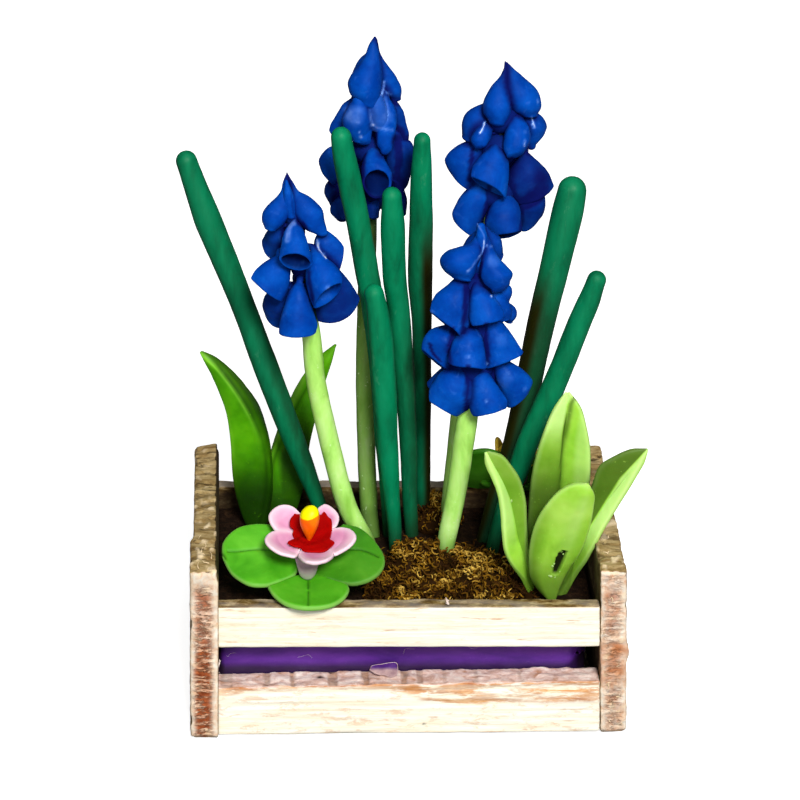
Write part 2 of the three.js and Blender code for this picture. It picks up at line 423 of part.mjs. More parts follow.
// ---------------------------------------------------------------- open blossoms
// A blossom is built round its own middle, leaning forward (to -Y), then turned and set in place.
function lens(rx, ry, t, cup, grow = 0) {
  const g = new THREE.LatheGeometry([[0, -t], [0.62, -t * 0.85], [1, -t * 0.3], [1, t * 0.3], [0.62, t * 0.85], [0, t]].map(([x, y]) => new THREE.Vector2(x, y)), 12);
  g.rotateX(Math.PI / 2);
  const p = g.attributes.position;
  for (let i = 0; i < p.count; i++) {
    const x = p.getX(i), y = p.getY(i), q = Math.hypot(x, y);
    p.setXYZ(i, x * (rx + grow), y * (ry + grow), p.getZ(i) + Math.sign(p.getZ(i)) * grow + cup * q * q);
  }
  return g;
}
function blossom(prefix, place, { petalColor, throatColor, lean, head, petalPath, petalWide, leaves, stalkAt }) {
  const put = (g, m) => g.applyMatrix4(new THREE.Matrix4().multiplyMatrices(place, m));
  const turn = ([x, y, z], rx = 0, ry = 0, rz = 0) => new THREE.Matrix4().compose(
    new THREE.Vector3(x, y, z), new THREE.Quaternion().setFromEuler(new THREE.Euler(rx, ry, rz, 'ZYX')), new THREE.Vector3(1, 1, 1));
  const top = turn(head, lean);
  const lathe = (profile, n) => put(new THREE.LatheGeometry(profile.map(([x, y]) => new THREE.Vector2(x, y)), n).rotateX(Math.PI / 2), top);
  const petals = (grow) => union([0, 1, 2, 3, 4].map((k) => {
    const a = (k / 5) * Math.PI * 2 - Math.PI / 2, c = Math.cos(a), s = Math.sin(a), L = PETAL_LENGTH;
    const curve = new THREE.CatmullRomCurve3(petalPath.map(([d, z]) => new THREE.Vector3(c * d * L, s * d * L, z)));
    return solid(put(along(curve, [[0, 0], [0.01, 0.6], [0.3, 1.15], [0.62, 1.5], [0.88, 1.15], [1, 0]].map(([u, r]) => [u, r * petalWide]),
      { segments: 8, side: [-s, c, 0], wide: 1, thick: 0.16, grow }), top));
  }));
  const throat = (grow) => solid(lathe([[0, 0.1 - grow], [0.9 + grow, 0.2 - grow], [1.75 * petalWide + grow, 0.75], [1.7 * petalWide, 1.0 + grow], [0.9, 0.6 + grow], [0, 0.5 + grow]], 10));
  const pistil = (grow) => solid(lathe([[0, 0.3 - grow], [0.2 + grow, 0.3 - grow], [0.55 + grow, 1.9], [0.68 + grow, 2.7], [0.5 + grow, 3.25 + grow], [0, 3.45 + grow]], 8));
  const calyx = (grow) => solid(lathe([[0, -2.4 - grow], [0.55 + grow, -2.4 - grow], [0.75 + grow, -1.2], [1.5 * petalWide + grow, -0.25], [0, 0.1 + grow]], 10));
  const stalk = (grow) => solid(put(new THREE.CylinderGeometry(0.5 + grow, 0.45 + grow, 5.2 + 2 * grow, 8).rotateX(Math.PI / 2), turn(stalkAt)));
  const red = throat(GAP), pin = pistil(GAP), cup = petals(GAP), base = calyx(GAP), foot = stalk(GAP);
  piece(`${prefix}_petals`, geometryOf(cut(petals(0), [red, pin])), petalColor);
  piece(`${prefix}_throat`, geometryOf(cut(throat(0), [pin])), throatColor);
  piece(`${prefix}_pistil`, geometryOf(pistil(0)), ORANGE);
  piece(`${prefix}_calyx`, geometryOf(cut(calyx(0).add(stalk(0)), [cup, red, pin])), CALYX);
  const done = [base, foot, cup, red];
  for (const [name, { half, at, rx, ry = 0, bowl = 0.25 }] of Object.entries(leaves)) {
    const make = (grow) => solid(put(lens(half[0], half[1], 0.28, bowl, grow), turn(at, rx, ry)));
    piece(`${prefix}_${name}`, geometryOf(cut(make(0), done)), ROUND);
    done.push(make(4 * GAP));
  }
  return foot;
}
const feet = [
  blossom('front_blossom', new THREE.Matrix4().makeTranslation(-7.95, -6.0, 12.55), {
    petalColor: PINK, throatColor: RED, lean: 0.3, head: [0.1, -0.1, 2.55], stalkAt: [0.1, 0.9, -2.35],
    petalPath: [[0.1, 0], [0.4, 0.12], [0.75, 0.4], [1, 0.85]], petalWide: 1,
    leaves: {
      leaf_left: { half: [3.6, ROUND_LEAF - 0.05], at: [-3.75, -0.3, 1.1], rx: 0.55, ry: 0.02 },
      leaf_right: { half: [3.3, ROUND_LEAF - 0.1], at: [3.05, -0.4, 1.0], rx: 0.52, ry: -0.05 },
      leaf_front: { half: [ROUND_LEAF, 3.1], at: [-0.1, -3.2, -0.05], rx: 0.18, bowl: 0.2 },
    } }),
  // the same flower, less open and with steeper leaves, turned to face the back
  blossom('rear_blossom', new THREE.Matrix4().makeTranslation(9.9, 7.7, 12.3).multiply(new THREE.Matrix4().makeRotationZ(Math.PI)), {
    petalColor: YELLOW, throatColor: MAROON, lean: 0.15, head: [0, 0, 2.4], stalkAt: [0, 0.2, -2.1],
    petalPath: [[0.05, 0], [0.3, 0.3], [0.5, 1.5], [0.58, 3.1]], petalWide: 0.66,
    leaves: {
      leaf_left: { half: [2.7, 2.7], at: [-2.8, -0.2, 2.25], rx: 0.95, ry: 0.45 },
      leaf_right: { half: [2.7, ROUND_LEAF - 0.15], at: [2.75, -0.35, 2.15], rx: 0.95, ry: -0.1 },
      leaf_front: { half: [3.0, 2.8], at: [0, -1.8, 0.4], rx: 0.2, bowl: 0.2 },
    } }),
];

// ---------------------------------------------------------------- clay block, soil and moss
const holes = [...planted.map((g) => solid(g)), ...Object.values(bladeTools), ...feet];
const block = (x0, x1, y, z0, z1) => solid(new THREE.BoxGeometry(x1 - x0, 2 * y, z1 - z0).translate((x0 + x1) / 2, middleY, (z0 + z1) / 2));
piece('clay_block', geometryOf(cut(block(-15.25, 14.95, innerY, FLOOR_THICK + GAP, CLAY_TOP), holes)), PURPLE);
piece('soil', geometryOf(cut(block(-15.25, 15.1, depth / 2 - UPPER_THICK - GAP, CLAY_TOP + GAP, SOIL_TOP), holes)), SOIL);

// A lumpy mound: a dome whose rim follows the reach in each direction, from the front (-Y) round by +X.
function mound(x, y, reach, height, base) {
  const n = reach.length, g = new THREE.LatheGeometry([[0, 0], [1, 0], [0.93, 0.55], [0.6, 0.95], [0, 1]].map(([a, b]) => new THREE.Vector2(a, b)), n);
  g.rotateX(Math.PI / 2);
  const p = g.attributes.position;
  for (let i = 0; i < p.count; i++) {
    const q = Math.hypot(p.getX(i), p.getY(i)), a = Math.atan2(p.getY(i), p.getX(i)), k = ((Math.round((a / (2 * Math.PI) + 0.25) * n) % n) + n) % n;
    p.setXYZ(i, x + Math.cos(a) * q * reach[k], y + Math.sin(a) * q * reach[k], base + p.getZ(i) * height);
  }
  return g;
}
const mossTools = [...holes];
piece('moss_front', geometryOf(cut(solid(mound(3.2, -4.4, [5.6, 6.1, 7.2, 7.3, 6.2, 6.4, 6.6, 6.9, 6.5, 6.4, 6.6, 6.6, 6.6, 6.0], 1.75, SOIL_TOP + GAP)), mossTools)), MOSS);
piece('moss_rear', geometryOf(cut(solid(mound(3.2, 7.6, [2.6, 2.2, 2.4, 2.2, 2.6, 2.4, 2.2, 2.5], 1.4, SOIL_TOP + GAP)), mossTools)), MOSS);

export default garden;
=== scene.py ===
# A miniature planter: a raw-wood slatted crate with purple clay, dark soil and dried moss, planted with
# four clay grape hyacinths, tubular and flat leaves and two open blossoms. Lengths in the tables are
# millimetres in the frame of the CAD model; the meshes are made in metres.
import json
import math

import bpy
import numpy as np
from mathutils import Matrix, Vector
from mathutils.kdtree import KDTree

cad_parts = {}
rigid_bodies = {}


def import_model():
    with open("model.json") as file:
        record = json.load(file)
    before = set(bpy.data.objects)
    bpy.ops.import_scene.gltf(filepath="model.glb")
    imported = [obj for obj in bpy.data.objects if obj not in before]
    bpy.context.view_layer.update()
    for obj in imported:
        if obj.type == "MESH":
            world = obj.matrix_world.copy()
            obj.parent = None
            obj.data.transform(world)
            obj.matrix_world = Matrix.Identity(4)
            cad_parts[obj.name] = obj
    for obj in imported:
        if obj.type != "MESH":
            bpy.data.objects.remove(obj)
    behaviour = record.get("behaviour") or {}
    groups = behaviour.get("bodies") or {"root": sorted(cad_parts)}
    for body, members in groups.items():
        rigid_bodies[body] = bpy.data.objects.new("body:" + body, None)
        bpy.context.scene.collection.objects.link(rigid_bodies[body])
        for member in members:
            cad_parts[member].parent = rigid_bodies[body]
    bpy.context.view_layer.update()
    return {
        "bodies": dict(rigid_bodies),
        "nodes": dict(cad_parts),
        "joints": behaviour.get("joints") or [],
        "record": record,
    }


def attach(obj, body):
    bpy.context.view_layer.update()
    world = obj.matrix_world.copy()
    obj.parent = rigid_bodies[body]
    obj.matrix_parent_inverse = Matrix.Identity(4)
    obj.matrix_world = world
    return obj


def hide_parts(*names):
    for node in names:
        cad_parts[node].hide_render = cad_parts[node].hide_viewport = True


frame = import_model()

MM = 0.001

# ------------------------------------------------------------------ camera, lights, floor
AZ, EL, ROLL = -2.93, 24.0, 1.24
TARGET, DISTANCE, FOCAL_PX = np.array([-0.498, 0.0, 24.61]), 304.47, 3742.35
az, el, roll = np.radians(AZ), np.radians(EL), np.radians(ROLL)
BACK = np.array([np.sin(az) * np.cos(el), -np.cos(az) * np.cos(el), np.sin(el)])
right0 = np.cross(-BACK, [0, 0, 1]); right0 /= np.linalg.norm(right0)
up0 = np.cross(right0, -BACK)
RIGHT = np.cos(roll) * right0 + np.sin(roll) * up0
UP = -np.sin(roll) * right0 + np.cos(roll) * up0
EYE = TARGET + BACK * DISTANCE
scene = bpy.context.scene
cam_data = bpy.data.cameras.new("camera")
cam_data.sensor_width = 36.0
cam_data.lens = FOCAL_PX / 800 * 36.0
cam_data.clip_start, cam_data.clip_end = 0.01, 20.0
cam = bpy.data.objects.new("camera", cam_data)
scene.collection.objects.link(cam)
cam.matrix_world = Matrix([[RIGHT[i], UP[i], BACK[i], EYE[i] * MM] for i in range(3)] + [[0, 0, 0, 1]])
scene.camera = cam
scene.view_settings.view_transform = "Standard"


def area(name, azimuth, elevation, distance, size, power, color=(1, 1, 1), at=(0, 0, 0.024)):
    data = bpy.data.lights.new(name, "AREA")
    data.shape, data.size, data.energy, data.color = "DISK", size, power, color
    lamp = bpy.data.objects.new(name, data)
    a, e = math.radians(azimuth), math.radians(elevation)
    back = Vector((math.sin(a) * math.cos(e), -math.cos(a) * math.cos(e), math.sin(e)))
    lamp.location = Vector(at) + back * distance
    lamp.rotation_mode = "QUATERNION"
    lamp.rotation_quaternion = (-back).to_track_quat("-Z", "Y")
    scene.collection.objects.link(lamp)


area("key", 10, 38, 0.60, 0.17, 4.0, (1.0, 0.985, 0.96))
area("front", -12, 18, 0.62, 0.26, 0.75, (1.0, 0.99, 0.97))
area("top", -20, 80, 0.55, 0.30, 0.35)

world = bpy.data.worlds.new("studio")
scene.world = world
world.use_nodes = True
wn = world.node_tree
wn.nodes.clear()
sky = wn.nodes.new("ShaderNodeBackground"); sky.inputs[0].default_value = (1, 1, 1, 1); sky.inputs[1].default_value = 1.0
air = wn.nodes.new("ShaderNodeBackground"); air.inputs[0].default_value = (1, 1, 1, 1); air.inputs[1].default_value = 0.055
wmix = wn.nodes.new("ShaderNodeMixShader")
seen = wn.nodes.new("ShaderNodeLightPath")
wout = wn.nodes.new("ShaderNodeOutputWorld")
wn.links.new(seen.outputs["Is Camera Ray"], wmix.inputs[0])
wn.links.new(air.outputs[0], wmix.inputs[1])
wn.links.new(sky.outputs[0], wmix.inputs[2])
wn.links.new(wmix.outputs[0], wout.inputs[0])


# ------------------------------------------------------------------ noise
_rng = np.random.RandomState(5)
_perm = np.tile(_rng.permutation(256), 3)
_grad = _rng.normal(size=(256, 3))
_grad /= np.linalg.norm(_grad, axis=1)[:, None]


def noise(p, freq=1.0, seed=0):
    """Gradient noise from about -1 to 1 at points p, an (n, 3) array."""
    q = np.asarray(p, float) * freq + seed * 17.31
    i = np.floor(q).astype(int)
    f = q - i
    i &= 255
    w = f * f * f * (f * (f * 6 - 15) + 10)
    total = np.zeros(len(q))
    for dx in (0, 1):
        for dy in (0, 1):
            for dz in (0, 1):
                h = _perm[_perm[_perm[i[:, 0] + dx] + ((i[:, 1] + dy) & 255)] + ((i[:, 2] + dz) & 255)]
                g = _grad[h]
                d = (g * (f - [dx, dy, dz])).sum(1)
                total += d * (w[:, 0] if dx else 1 - w[:, 0]) * (w[:, 1] if dy else 1 - w[:, 1]) * (w[:, 2] if dz else 1 - w[:, 2])
    return total * 1.6


def fbm(p, freq=1.0, octaves=3, seed=0):
    total, a = 0, 1.0
    for k in range(octaves):
        total = total + a * noise(p, freq * 2 ** k, seed + k * 3)
        a *= 0.5
    return total


def wobble(p, freq, amount, seed=0, octaves=2):
    """Small shift of every point, the same for equal points, as of clay shaped by hand."""
    return p + amount * np.c_[fbm(p, freq, octaves, seed), fbm(p, freq, octaves, seed + 11), fbm(p, freq, octaves, seed + 23)]


def smooth(a, b, x):
    t = np.clip((np.asarray(x, float) - a) / (b - a), 0, 1)
    return t * t * (3 - 2 * t)


def spline(points, n, closed=False):
    """n points on a smooth curve through the given ones, evenly spaced."""
    P = np.array(points, float)
    d = np.r_[0, np.cumsum(np.linalg.norm(np.diff(P, axis=0), axis=1))]
    d = np.maximum.accumulate(d + np.arange(len(d)) * 1e-9)
    T = np.empty_like(P)
    T[1:-1] = (P[2:] - P[:-2]) / (d[2:] - d[:-2])[:, None]
    T[0], T[-1] = (P[1] - P[0]) / (d[1] - d[0]), (P[-1] - P[-2]) / (d[-1] - d[-2])
    t = np.linspace(0, d[-1], n)
    i = np.clip(np.searchsorted(d, t, side="right") - 1, 0, len(P) - 2)
    h = (d[i + 1] - d[i])[:, None]
    f = (t - d[i])[:, None] / h
    return ((2 * f ** 3 - 3 * f ** 2 + 1) * P[i] + (f ** 3 - 2 * f ** 2 + f) * h * T[i]
            + (-2 * f ** 3 + 3 * f ** 2) * P[i + 1] + (f ** 3 - f ** 2) * h * T[i + 1])


def unit(v):
    v = np.asarray(v, float)
    return v / np.maximum(np.linalg.norm(v, axis=-1, keepdims=True), 1e-12)


# ------------------------------------------------------------------ meshes
class Shape:
    """Collects closed shells with one value per vertex for each named attribute."""

    def __init__(self):
        self.v, self.f, self.m, self.a, self.n = [], [], [], {}, 0

    def add(self, verts, faces, mat=0, **attrs):
        verts = np.asarray(verts, float)
        k = len(verts)
        self.v.append(verts)
        for f in faces:
            f = np.asarray(f, int)
            if len(f):
                self.f.append(f + self.n)
                self.m.append(np.full(len(f), mat, int) if np.isscalar(mat) else np.asarray(mat, int))
        for name in set(self.a) | set(attrs):
            col = self.a.setdefault(name, [np.zeros(self.n)] if self.n else [])
            val = attrs.get(name, 0.0)
            col.append(np.full(k, float(val)) if np.isscalar(val) else np.asarray(val, float))
        self.n += k
        return self

    def build(self, name, mats, slot=None, stands_for=(), smooth_shade=True):
        V = np.concatenate(self.v) * MM
        loops = np.concatenate([f.ravel() for f in self.f])
        sizes = np.concatenate([np.full(len(f), f.shape[1]) for f in self.f])
        mesh = bpy.data.meshes.new(name)
        mesh.vertices.add(len(V)); mesh.vertices.foreach_set("co", V.astype(np.float32).ravel())
        mesh.loops.add(len(loops)); mesh.loops.foreach_set("vertex_index", loops.astype(np.int32))
        mesh.polygons.add(len(sizes))
        mesh.polygons.foreach_set("loop_start", np.r_[0, np.cumsum(sizes)[:-1]].astype(np.int32))
        mesh.polygons.foreach_set("loop_total", sizes.astype(np.int32))
        mesh.polygons.foreach_set("material_index", np.concatenate(self.m).astype(np.int32))
        mesh.polygons.foreach_set("use_smooth", np.full(len(sizes), smooth_shade, bool))
        mesh.update(calc_edges=True)
        mesh.validate()
        for key, cols in self.a.items():
            at = mesh.attributes.new(key, "FLOAT", "POINT")
            at.data.foreach_set("value", np.concatenate(cols).astype(np.float32))
        for m in (mats if isinstance(mats, (list, tuple)) else [mats]):
            mesh.materials.append(m)
        obj = bpy.data.objects.new(name, mesh)
        scene.collection.objects.link(obj)
        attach(obj, "root")
        if stands_for:
            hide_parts(*([stands_for] if isinstance(stands_for, str) else stands_for))
        return obj


def loft(rings, start=None, end=None):
    """Closed surface through rings (rows, columns, 3) with a point at each end. Faces look outwards if the
    rings run anticlockwise as seen from the end that they lead to."""
    rings = np.asarray(rings, float)
    m, n, _ = rings.shape
    start = rings[0].mean(0) if start is None else np.asarray(start, float)
    end = rings[-1].mean(0) if end is None else np.asarray(end, float)
    V = np.concatenate([rings.reshape(-1, 3), [start], [end]])
    i, j = np.meshgrid(np.arange(m - 1), np.arange(n), indexing="ij")
    k = (j + 1) % n
    quads = np.stack([i * n + j, i * n + k, (i + 1) * n + k, (i + 1) * n + j], -1).reshape(-1, 4)
    j = np.arange(n); k = (j + 1) % n
    caps = np.concatenate([np.c_[k, j, np.full(n, m * n)], np.c_[(m - 1) * n + j, (m - 1) * n + k, np.full(n, m * n + 1)]])
    # outwards: the signed volume is positive
    tri = np.concatenate([quads[:, [0, 1, 2]], quads[:, [0, 2, 3]], caps])
    vol = (V[tri[:, 0]] * np.cross(V[tri[:, 1]], V[tri[:, 2]])).sum()
    if vol < 0:
        quads, caps = quads[:, ::-1], caps[:, ::-1]
    return V, [quads, caps]


def block(x, y, z, step, rough=0.0):
    """Closed box surface as a fine grid. Returns the points, the faces and each point's outward normal."""
    n = [max(2, int(round((b - a) / s))) for (a, b), s in zip((x, y, z), step if hasattr(step, "__len__") else (step,) * 3)]
    quads = []
    for axis in range(3):
        u, w = [a for a in range(3) if a != axis]
        i, j = np.meshgrid(np.arange(n[u]), np.arange(n[w]), indexing="ij")
        i, j = i.ravel(), j.ravel()
        for side in (0, n[axis]):
            c = np.zeros((len(i), 4, 3), int)
            c[:, :, axis] = side
            for k, (a, b) in enumerate(((0, 0), (1, 0), (1, 1), (0, 1))):
                c[:, k, u], c[:, k, w] = i + a, j + b
            flip = (side == 0) ^ (axis == 1)
            quads.append(c[:, ::-1] if flip else c)
    q = np.concatenate(quads).reshape(-1, 3)
    key, inverse = np.unique(q, axis=0, return_inverse=True)
    t = key / np.array(n)
    lo, hi = np.array([x[0], y[0], z[0]], float), np.array([x[1], y[1], z[1]], float)
    P = lo + t * (hi - lo)
    N = (t == 1).astype(float) - (t == 0)
    return P, [inverse.reshape(-1, 4)], unit(N)


def rounded(P, N, lo, hi, r):
    """Points of a block with its edges rounded by r."""
    c = np.clip(P, np.array(lo) + r, np.array(hi) - r)
    d = P - c
    away = unit(d)
    out = c + away * r
    edge = (np.abs(d) > 1e-9).sum(1) > 1
    return np.where(edge[:, None], out, P), np.where(edge[:, None], away, N)


def frames(path, side=(0, 1, 0)):
    """Tangent, side and third direction at each point of a path."""
    T = unit(np.gradient(path, axis=0))
    S = np.array(side, float) - (T * np.array(side, float)).sum(1)[:, None] * T
    S = unit(S)
    return T, S, np.cross(T, S)


# ------------------------------------------------------------------ material helpers
class Nodes:
    def __init__(self, name):
        self.mat = bpy.data.materials.new(name)
        self.mat.use_nodes = True
        self.t = self.mat.node_tree
        self.b = self.t.nodes["Principled BSDF"]
        self.obj = self.t.nodes.new("ShaderNodeTexCoord").outputs["Object"]

    def link(self, a, b):
        self.t.links.new(a, b)

    def set(self, **kw):
        for k, v in kw.items():
            self.b.inputs[k.replace("_", " ")].default_value = v
        return self

    def attr(self, name):
        n = self.t.nodes.new("ShaderNodeAttribute")
        n.attribute_name = name
        return n.outputs["Fac"]

    def stretch(self, scale, rotation=(0, 0, 0)):
        n = self.t.nodes.new("ShaderNodeMapping")
        n.inputs["Scale"].default_value = scale
        n.inputs["Rotation"].default_value = rotation
        self.link(self.obj, n.inputs["Vector"])
        return n.outputs[0]

    def noise(self, per_mm, detail=3.0, rough=0.55, vec=None, warp=0.0):
        n = self.t.nodes.new("ShaderNodeTexNoise")
        n.inputs["Scale"].default_value = per_mm * 1000
        n.inputs["Detail"].default_value = detail
        n.inputs["Roughness"].default_value = rough
        n.inputs["Distortion"].default_value = warp
        self.link(vec if vec is not None else self.obj, n.inputs["Vector"])
        return n.outputs["Fac"]

    def cells(self, per_mm, vec=None, feature="F1"):
        n = self.t.nodes.new("ShaderNodeTexVoronoi")
        n.inputs["Scale"].default_value = per_mm * 1000
        n.feature = feature
        self.link(vec if vec is not None else self.obj, n.inputs["Vector"])
        return n.outputs["Distance"]

    def ramp(self, fac, stops):
        n = self.t.nodes.new("ShaderNodeValToRGB")
        self.link(fac, n.inputs[0])
        e = n.color_ramp.elements
        while len(e) < len(stops):
            e.new(0.5)
        for i, (p, c) in enumerate(stops):
            e[i].position = p
            e[i].color = (*c, 1) if hasattr(c, "__len__") else (c, c, c, 1)
        return n.outputs[0]

    def mix(self, fac, a, b, kind="MIX"):
        n = self.t.nodes.new("ShaderNodeMix")
        n.data_type = "RGBA"
        n.blend_type = kind
        n.clamp_factor = True
        for val, sock in ((fac, n.inputs["Factor"]), (a, n.inputs["A"]), (b, n.inputs["B"])):
            sock = {"Factor": n.inputs[0], "A": n.inputs[6], "B": n.inputs[7]}[sock.name]
            if isinstance(val, bpy.types.NodeSocket):
                self.link(val, sock)
            else:
                sock.default_value = (*val, 1) if hasattr(val, "__len__") else val
        return n.outputs[2]

    def math(self, op, a, b=0.0):
        n = self.t.nodes.new("ShaderNodeMath")
        n.operation = op
        for val, sock in ((a, n.inputs[0]), (b, n.inputs[1])):
            if isinstance(val, bpy.types.NodeSocket):
                self.link(val, sock)
            else:
                sock.default_value = val
        return n.outputs[0]

    def facing_up(self):
        g = self.t.nodes.new("ShaderNodeNewGeometry")
        s = self.t.nodes.new("ShaderNodeSeparateXYZ")
        self.link(g.outputs["Normal"], s.inputs[0])
        return s.outputs

    def xyz(self):
        s = self.t.nodes.new("ShaderNodeSeparateXYZ")
        self.link(self.obj, s.inputs[0])
        return s.outputs

    def bump(self, *heights):
        """heights: (height, depth in mm) pairs, from the broadest to the finest."""
        last = None
        for h, mm in heights:
            n = self.t.nodes.new("ShaderNodeBump")
            n.inputs["Strength"].default_value = 1.0
            n.inputs["Distance"].default_value = mm * MM
            self.link(h, n.inputs["Height"])
            if last is not None:
                self.link(last, n.inputs["Normal"])
            last = n.outputs[0]
        self.link(last, self.b.inputs["Normal"])
        return self

    def color(self, out):
        self.link(out, self.b.inputs["Base Color"])
        return self

    def rough(self, out):
        self.link(out, self.b.inputs["Roughness"])
        return self


def srgb(r, g, b):
    return tuple((c / 255 / 12.92) if c / 255 <= 0.04045 else ((c / 255 + 0.055) / 1.055) ** 2.4 for c in (r, g, b))


def blue_clay():
    m = Nodes("blue_clay")
    tone = m.noise(0.45, 4, 0.6, warp=0.3)
    base = m.ramp(tone, [(0.3, srgb(0, 50, 142)), (0.5, srgb(0, 66, 166)), (0.72, srgb(4, 84, 188))])
    # painted shade: navy-violet where florets crowd the stem, on their far side, in seams and on florets standing in
    # shade
    base = m.mix(m.math("MULTIPLY", m.attr("deep"), 0.9), base, srgb(14, 8, 78))
    # painted shade, near black, inside the hollow of each bell
    base = m.mix(m.math("MULTIPLY", m.attr("cav"), 0.95), base, srgb(4, 4, 44))
    streak = m.ramp(m.noise(1.1, 2, 0.5, warp=0.3), [(0.3, 0.5), (0.62, 1.0)])
    # unshaded: where no painted shade lies; the haze and the specular fade under painted shade
    unshaded = m.math("SUBTRACT", 1.0, m.math("MAXIMUM", m.attr("cav"), m.attr("deep")))
    glaze = m.math("MULTIPLY", m.attr("glaze"), streak)
    haze = m.ramp(m.noise(1.1, 5, 0.65, warp=0.5), [(0.58, 0.0), (0.74, 0.22)])
    base = m.mix(m.math("MULTIPLY", haze, unshaded), base, srgb(60, 118, 216))
    # dried glaze streaks with painted glints and highlights, pale blue up to near white
    base = m.mix(m.math("MULTIPLY", glaze, 1.1), base, m.ramp(glaze, [(0.2, srgb(70, 128, 226)), (0.55, srgb(120, 160, 238)), (0.9, srgb(220, 232, 252))]))
    m.color(base)
    m.rough(m.ramp(m.math("ADD", m.noise(0.9, 4, 0.6), m.math("MULTIPLY", glaze, -0.55)), [(0.12, 0.16), (0.42, 0.48), (0.68, 0.66)]))
    m.link(m.math("ADD", m.math("MULTIPLY", unshaded, 0.12), m.math("MULTIPLY", glaze, 0.4)), m.b.inputs["Specular IOR Level"])
    m.set(Subsurface_Weight=0.03, Subsurface_Scale=0.0005, Specular_Tint=(0.3, 0.58, 1.0, 1.0))
    m.bump((m.noise(0.8, 4, 0.55, warp=0.3), 0.07), (m.noise(3.0, 4, 0.6), 0.02), (m.noise(7.0, 3, 0.6), 0.006))
    return m.mat


def tube_clay():
    m = Nodes("dark_leaf_clay")
    long_ = m.stretch((1, 1, 0.25))
    tone = m.noise(0.7, 4, 0.6, vec=long_, warp=0.3)
    base = m.ramp(tone, [(0.3, srgb(0, 96, 62)), (0.5, srgb(0, 125, 82)), (0.72, srgb(6, 140, 94))])
    base = m.mix(m.ramp(m.noise(0.9, 5, 0.7, vec=m.stretch((1, 1, 0.4))), [(0.62, 0.0), (0.75, 0.35)]), base, srgb(92, 170, 130))
    # painted shade: darker towards the foot and on tubes standing in shade
    base = m.mix(m.math("MULTIPLY", m.attr("deep"), 0.88), base, srgb(18, 44, 18))
    # painted shade: dark olive down the side of a tube that lies in its neighbours' shadow
    base = m.mix(m.attr("olive"), base, srgb(30, 30, 2))
    m.color(base)
    m.rough(m.ramp(m.noise(1.1, 4, 0.6), [(0.3, 0.42), (0.7, 0.62)]))
    m.set(Specular_IOR_Level=0.14, Subsurface_Weight=0.03, Subsurface_Scale=0.0006)
    m.bump((m.noise(0.5, 3, 0.5), 0.05), (m.noise(4.0, 4, 0.6), 0.01))
    return m.mat


def stem_clay():
    m = Nodes("stem_clay")
    tone = m.noise(0.6, 4, 0.6, vec=m.stretch((1, 1, 0.35)), warp=0.4)
    base = m.ramp(tone, [(0.28, srgb(152, 216, 84)), (0.5, srgb(186, 244, 120)), (0.72, srgb(212, 254, 160))])
    # painted shade: darker towards the foot and all along the rear stem
    base = m.mix(m.math("MULTIPLY", m.attr("deep"), 0.85), base, srgb(54, 84, 20))
    base = m.mix(m.ramp(m.noise(2.6, 3, 0.5), [(0.66, 0.0), (0.72, 0.5)]), base, srgb(222, 250, 190))
    # painted shade: near black where the stem runs up among the florets
    base = m.mix(m.attr("inner"), base, srgb(10, 32, 30))
    m.color(base)
    m.rough(m.ramp(m.noise(1.3, 4, 0.6), [(0.3, 0.4), (0.7, 0.6)]))
    m.set(Specular_IOR_Level=0.2, Subsurface_Weight=0.06, Subsurface_Scale=0.0006)
    m.bump((m.noise(0.6, 3, 0.5), 0.05), (m.noise(4.5, 4, 0.6), 0.012))
    return m.mat


def leaf_clay(name, dark, mid, light, edge, veins=0.02):
    """Flat leaf: painted highlights (attribute light); lighter rims (attribute edge), partly the clay's paler rim and
    partly a painted rim highlight; a hinge darkened with painted shade; painted shade on a shaded half and towards the
    foot; painted shade in recesses; fine drawn veins.
    """
    m = Nodes(name)
    tone = m.noise(0.3, 3, 0.55, warp=0.4)
    base = m.ramp(tone, [(0.3, dark), (0.5, mid), (0.74, light)])
    # painted highlight
    base = m.mix(m.math("MULTIPLY", m.attr("light"), 0.9), base, edge)
    # lighter rims: partly the clay's paler rim, partly a painted rim highlight
    base = m.mix(m.math("MULTIPLY", m.attr("edge"), 0.75), base, edge)
    # painted shade along the hinge crease
    base = m.mix(m.math("MULTIPLY", m.attr("fold"), 0.8), base, tuple(c * 0.3 for c in dark))
    # painted shade on the shaded half and towards the foot
    base = m.mix(m.math("MULTIPLY", m.attr("shade"), 0.97), base, tuple(c * 0.1 for c in dark))
    base = m.mix(m.ramp(m.noise(3.4, 3, 0.5), [(0.68, 0.0), (0.75, 0.3)]), base, light)
    # painted shade, near black, in a recess
    base = m.mix(m.attr("hole"), base, srgb(22, 28, 8))
    m.color(base)
    m.rough(m.ramp(m.noise(1.2, 4, 0.6), [(0.3, 0.42), (0.7, 0.6)]))
    m.set(Specular_IOR_Level=0.16, Subsurface_Weight=0.06, Subsurface_Scale=0.0005)
    m.bump((m.noise(0.8, 3, 0.5), veins), (m.noise(5.0, 4, 0.6), 0.008))
    return m.mat


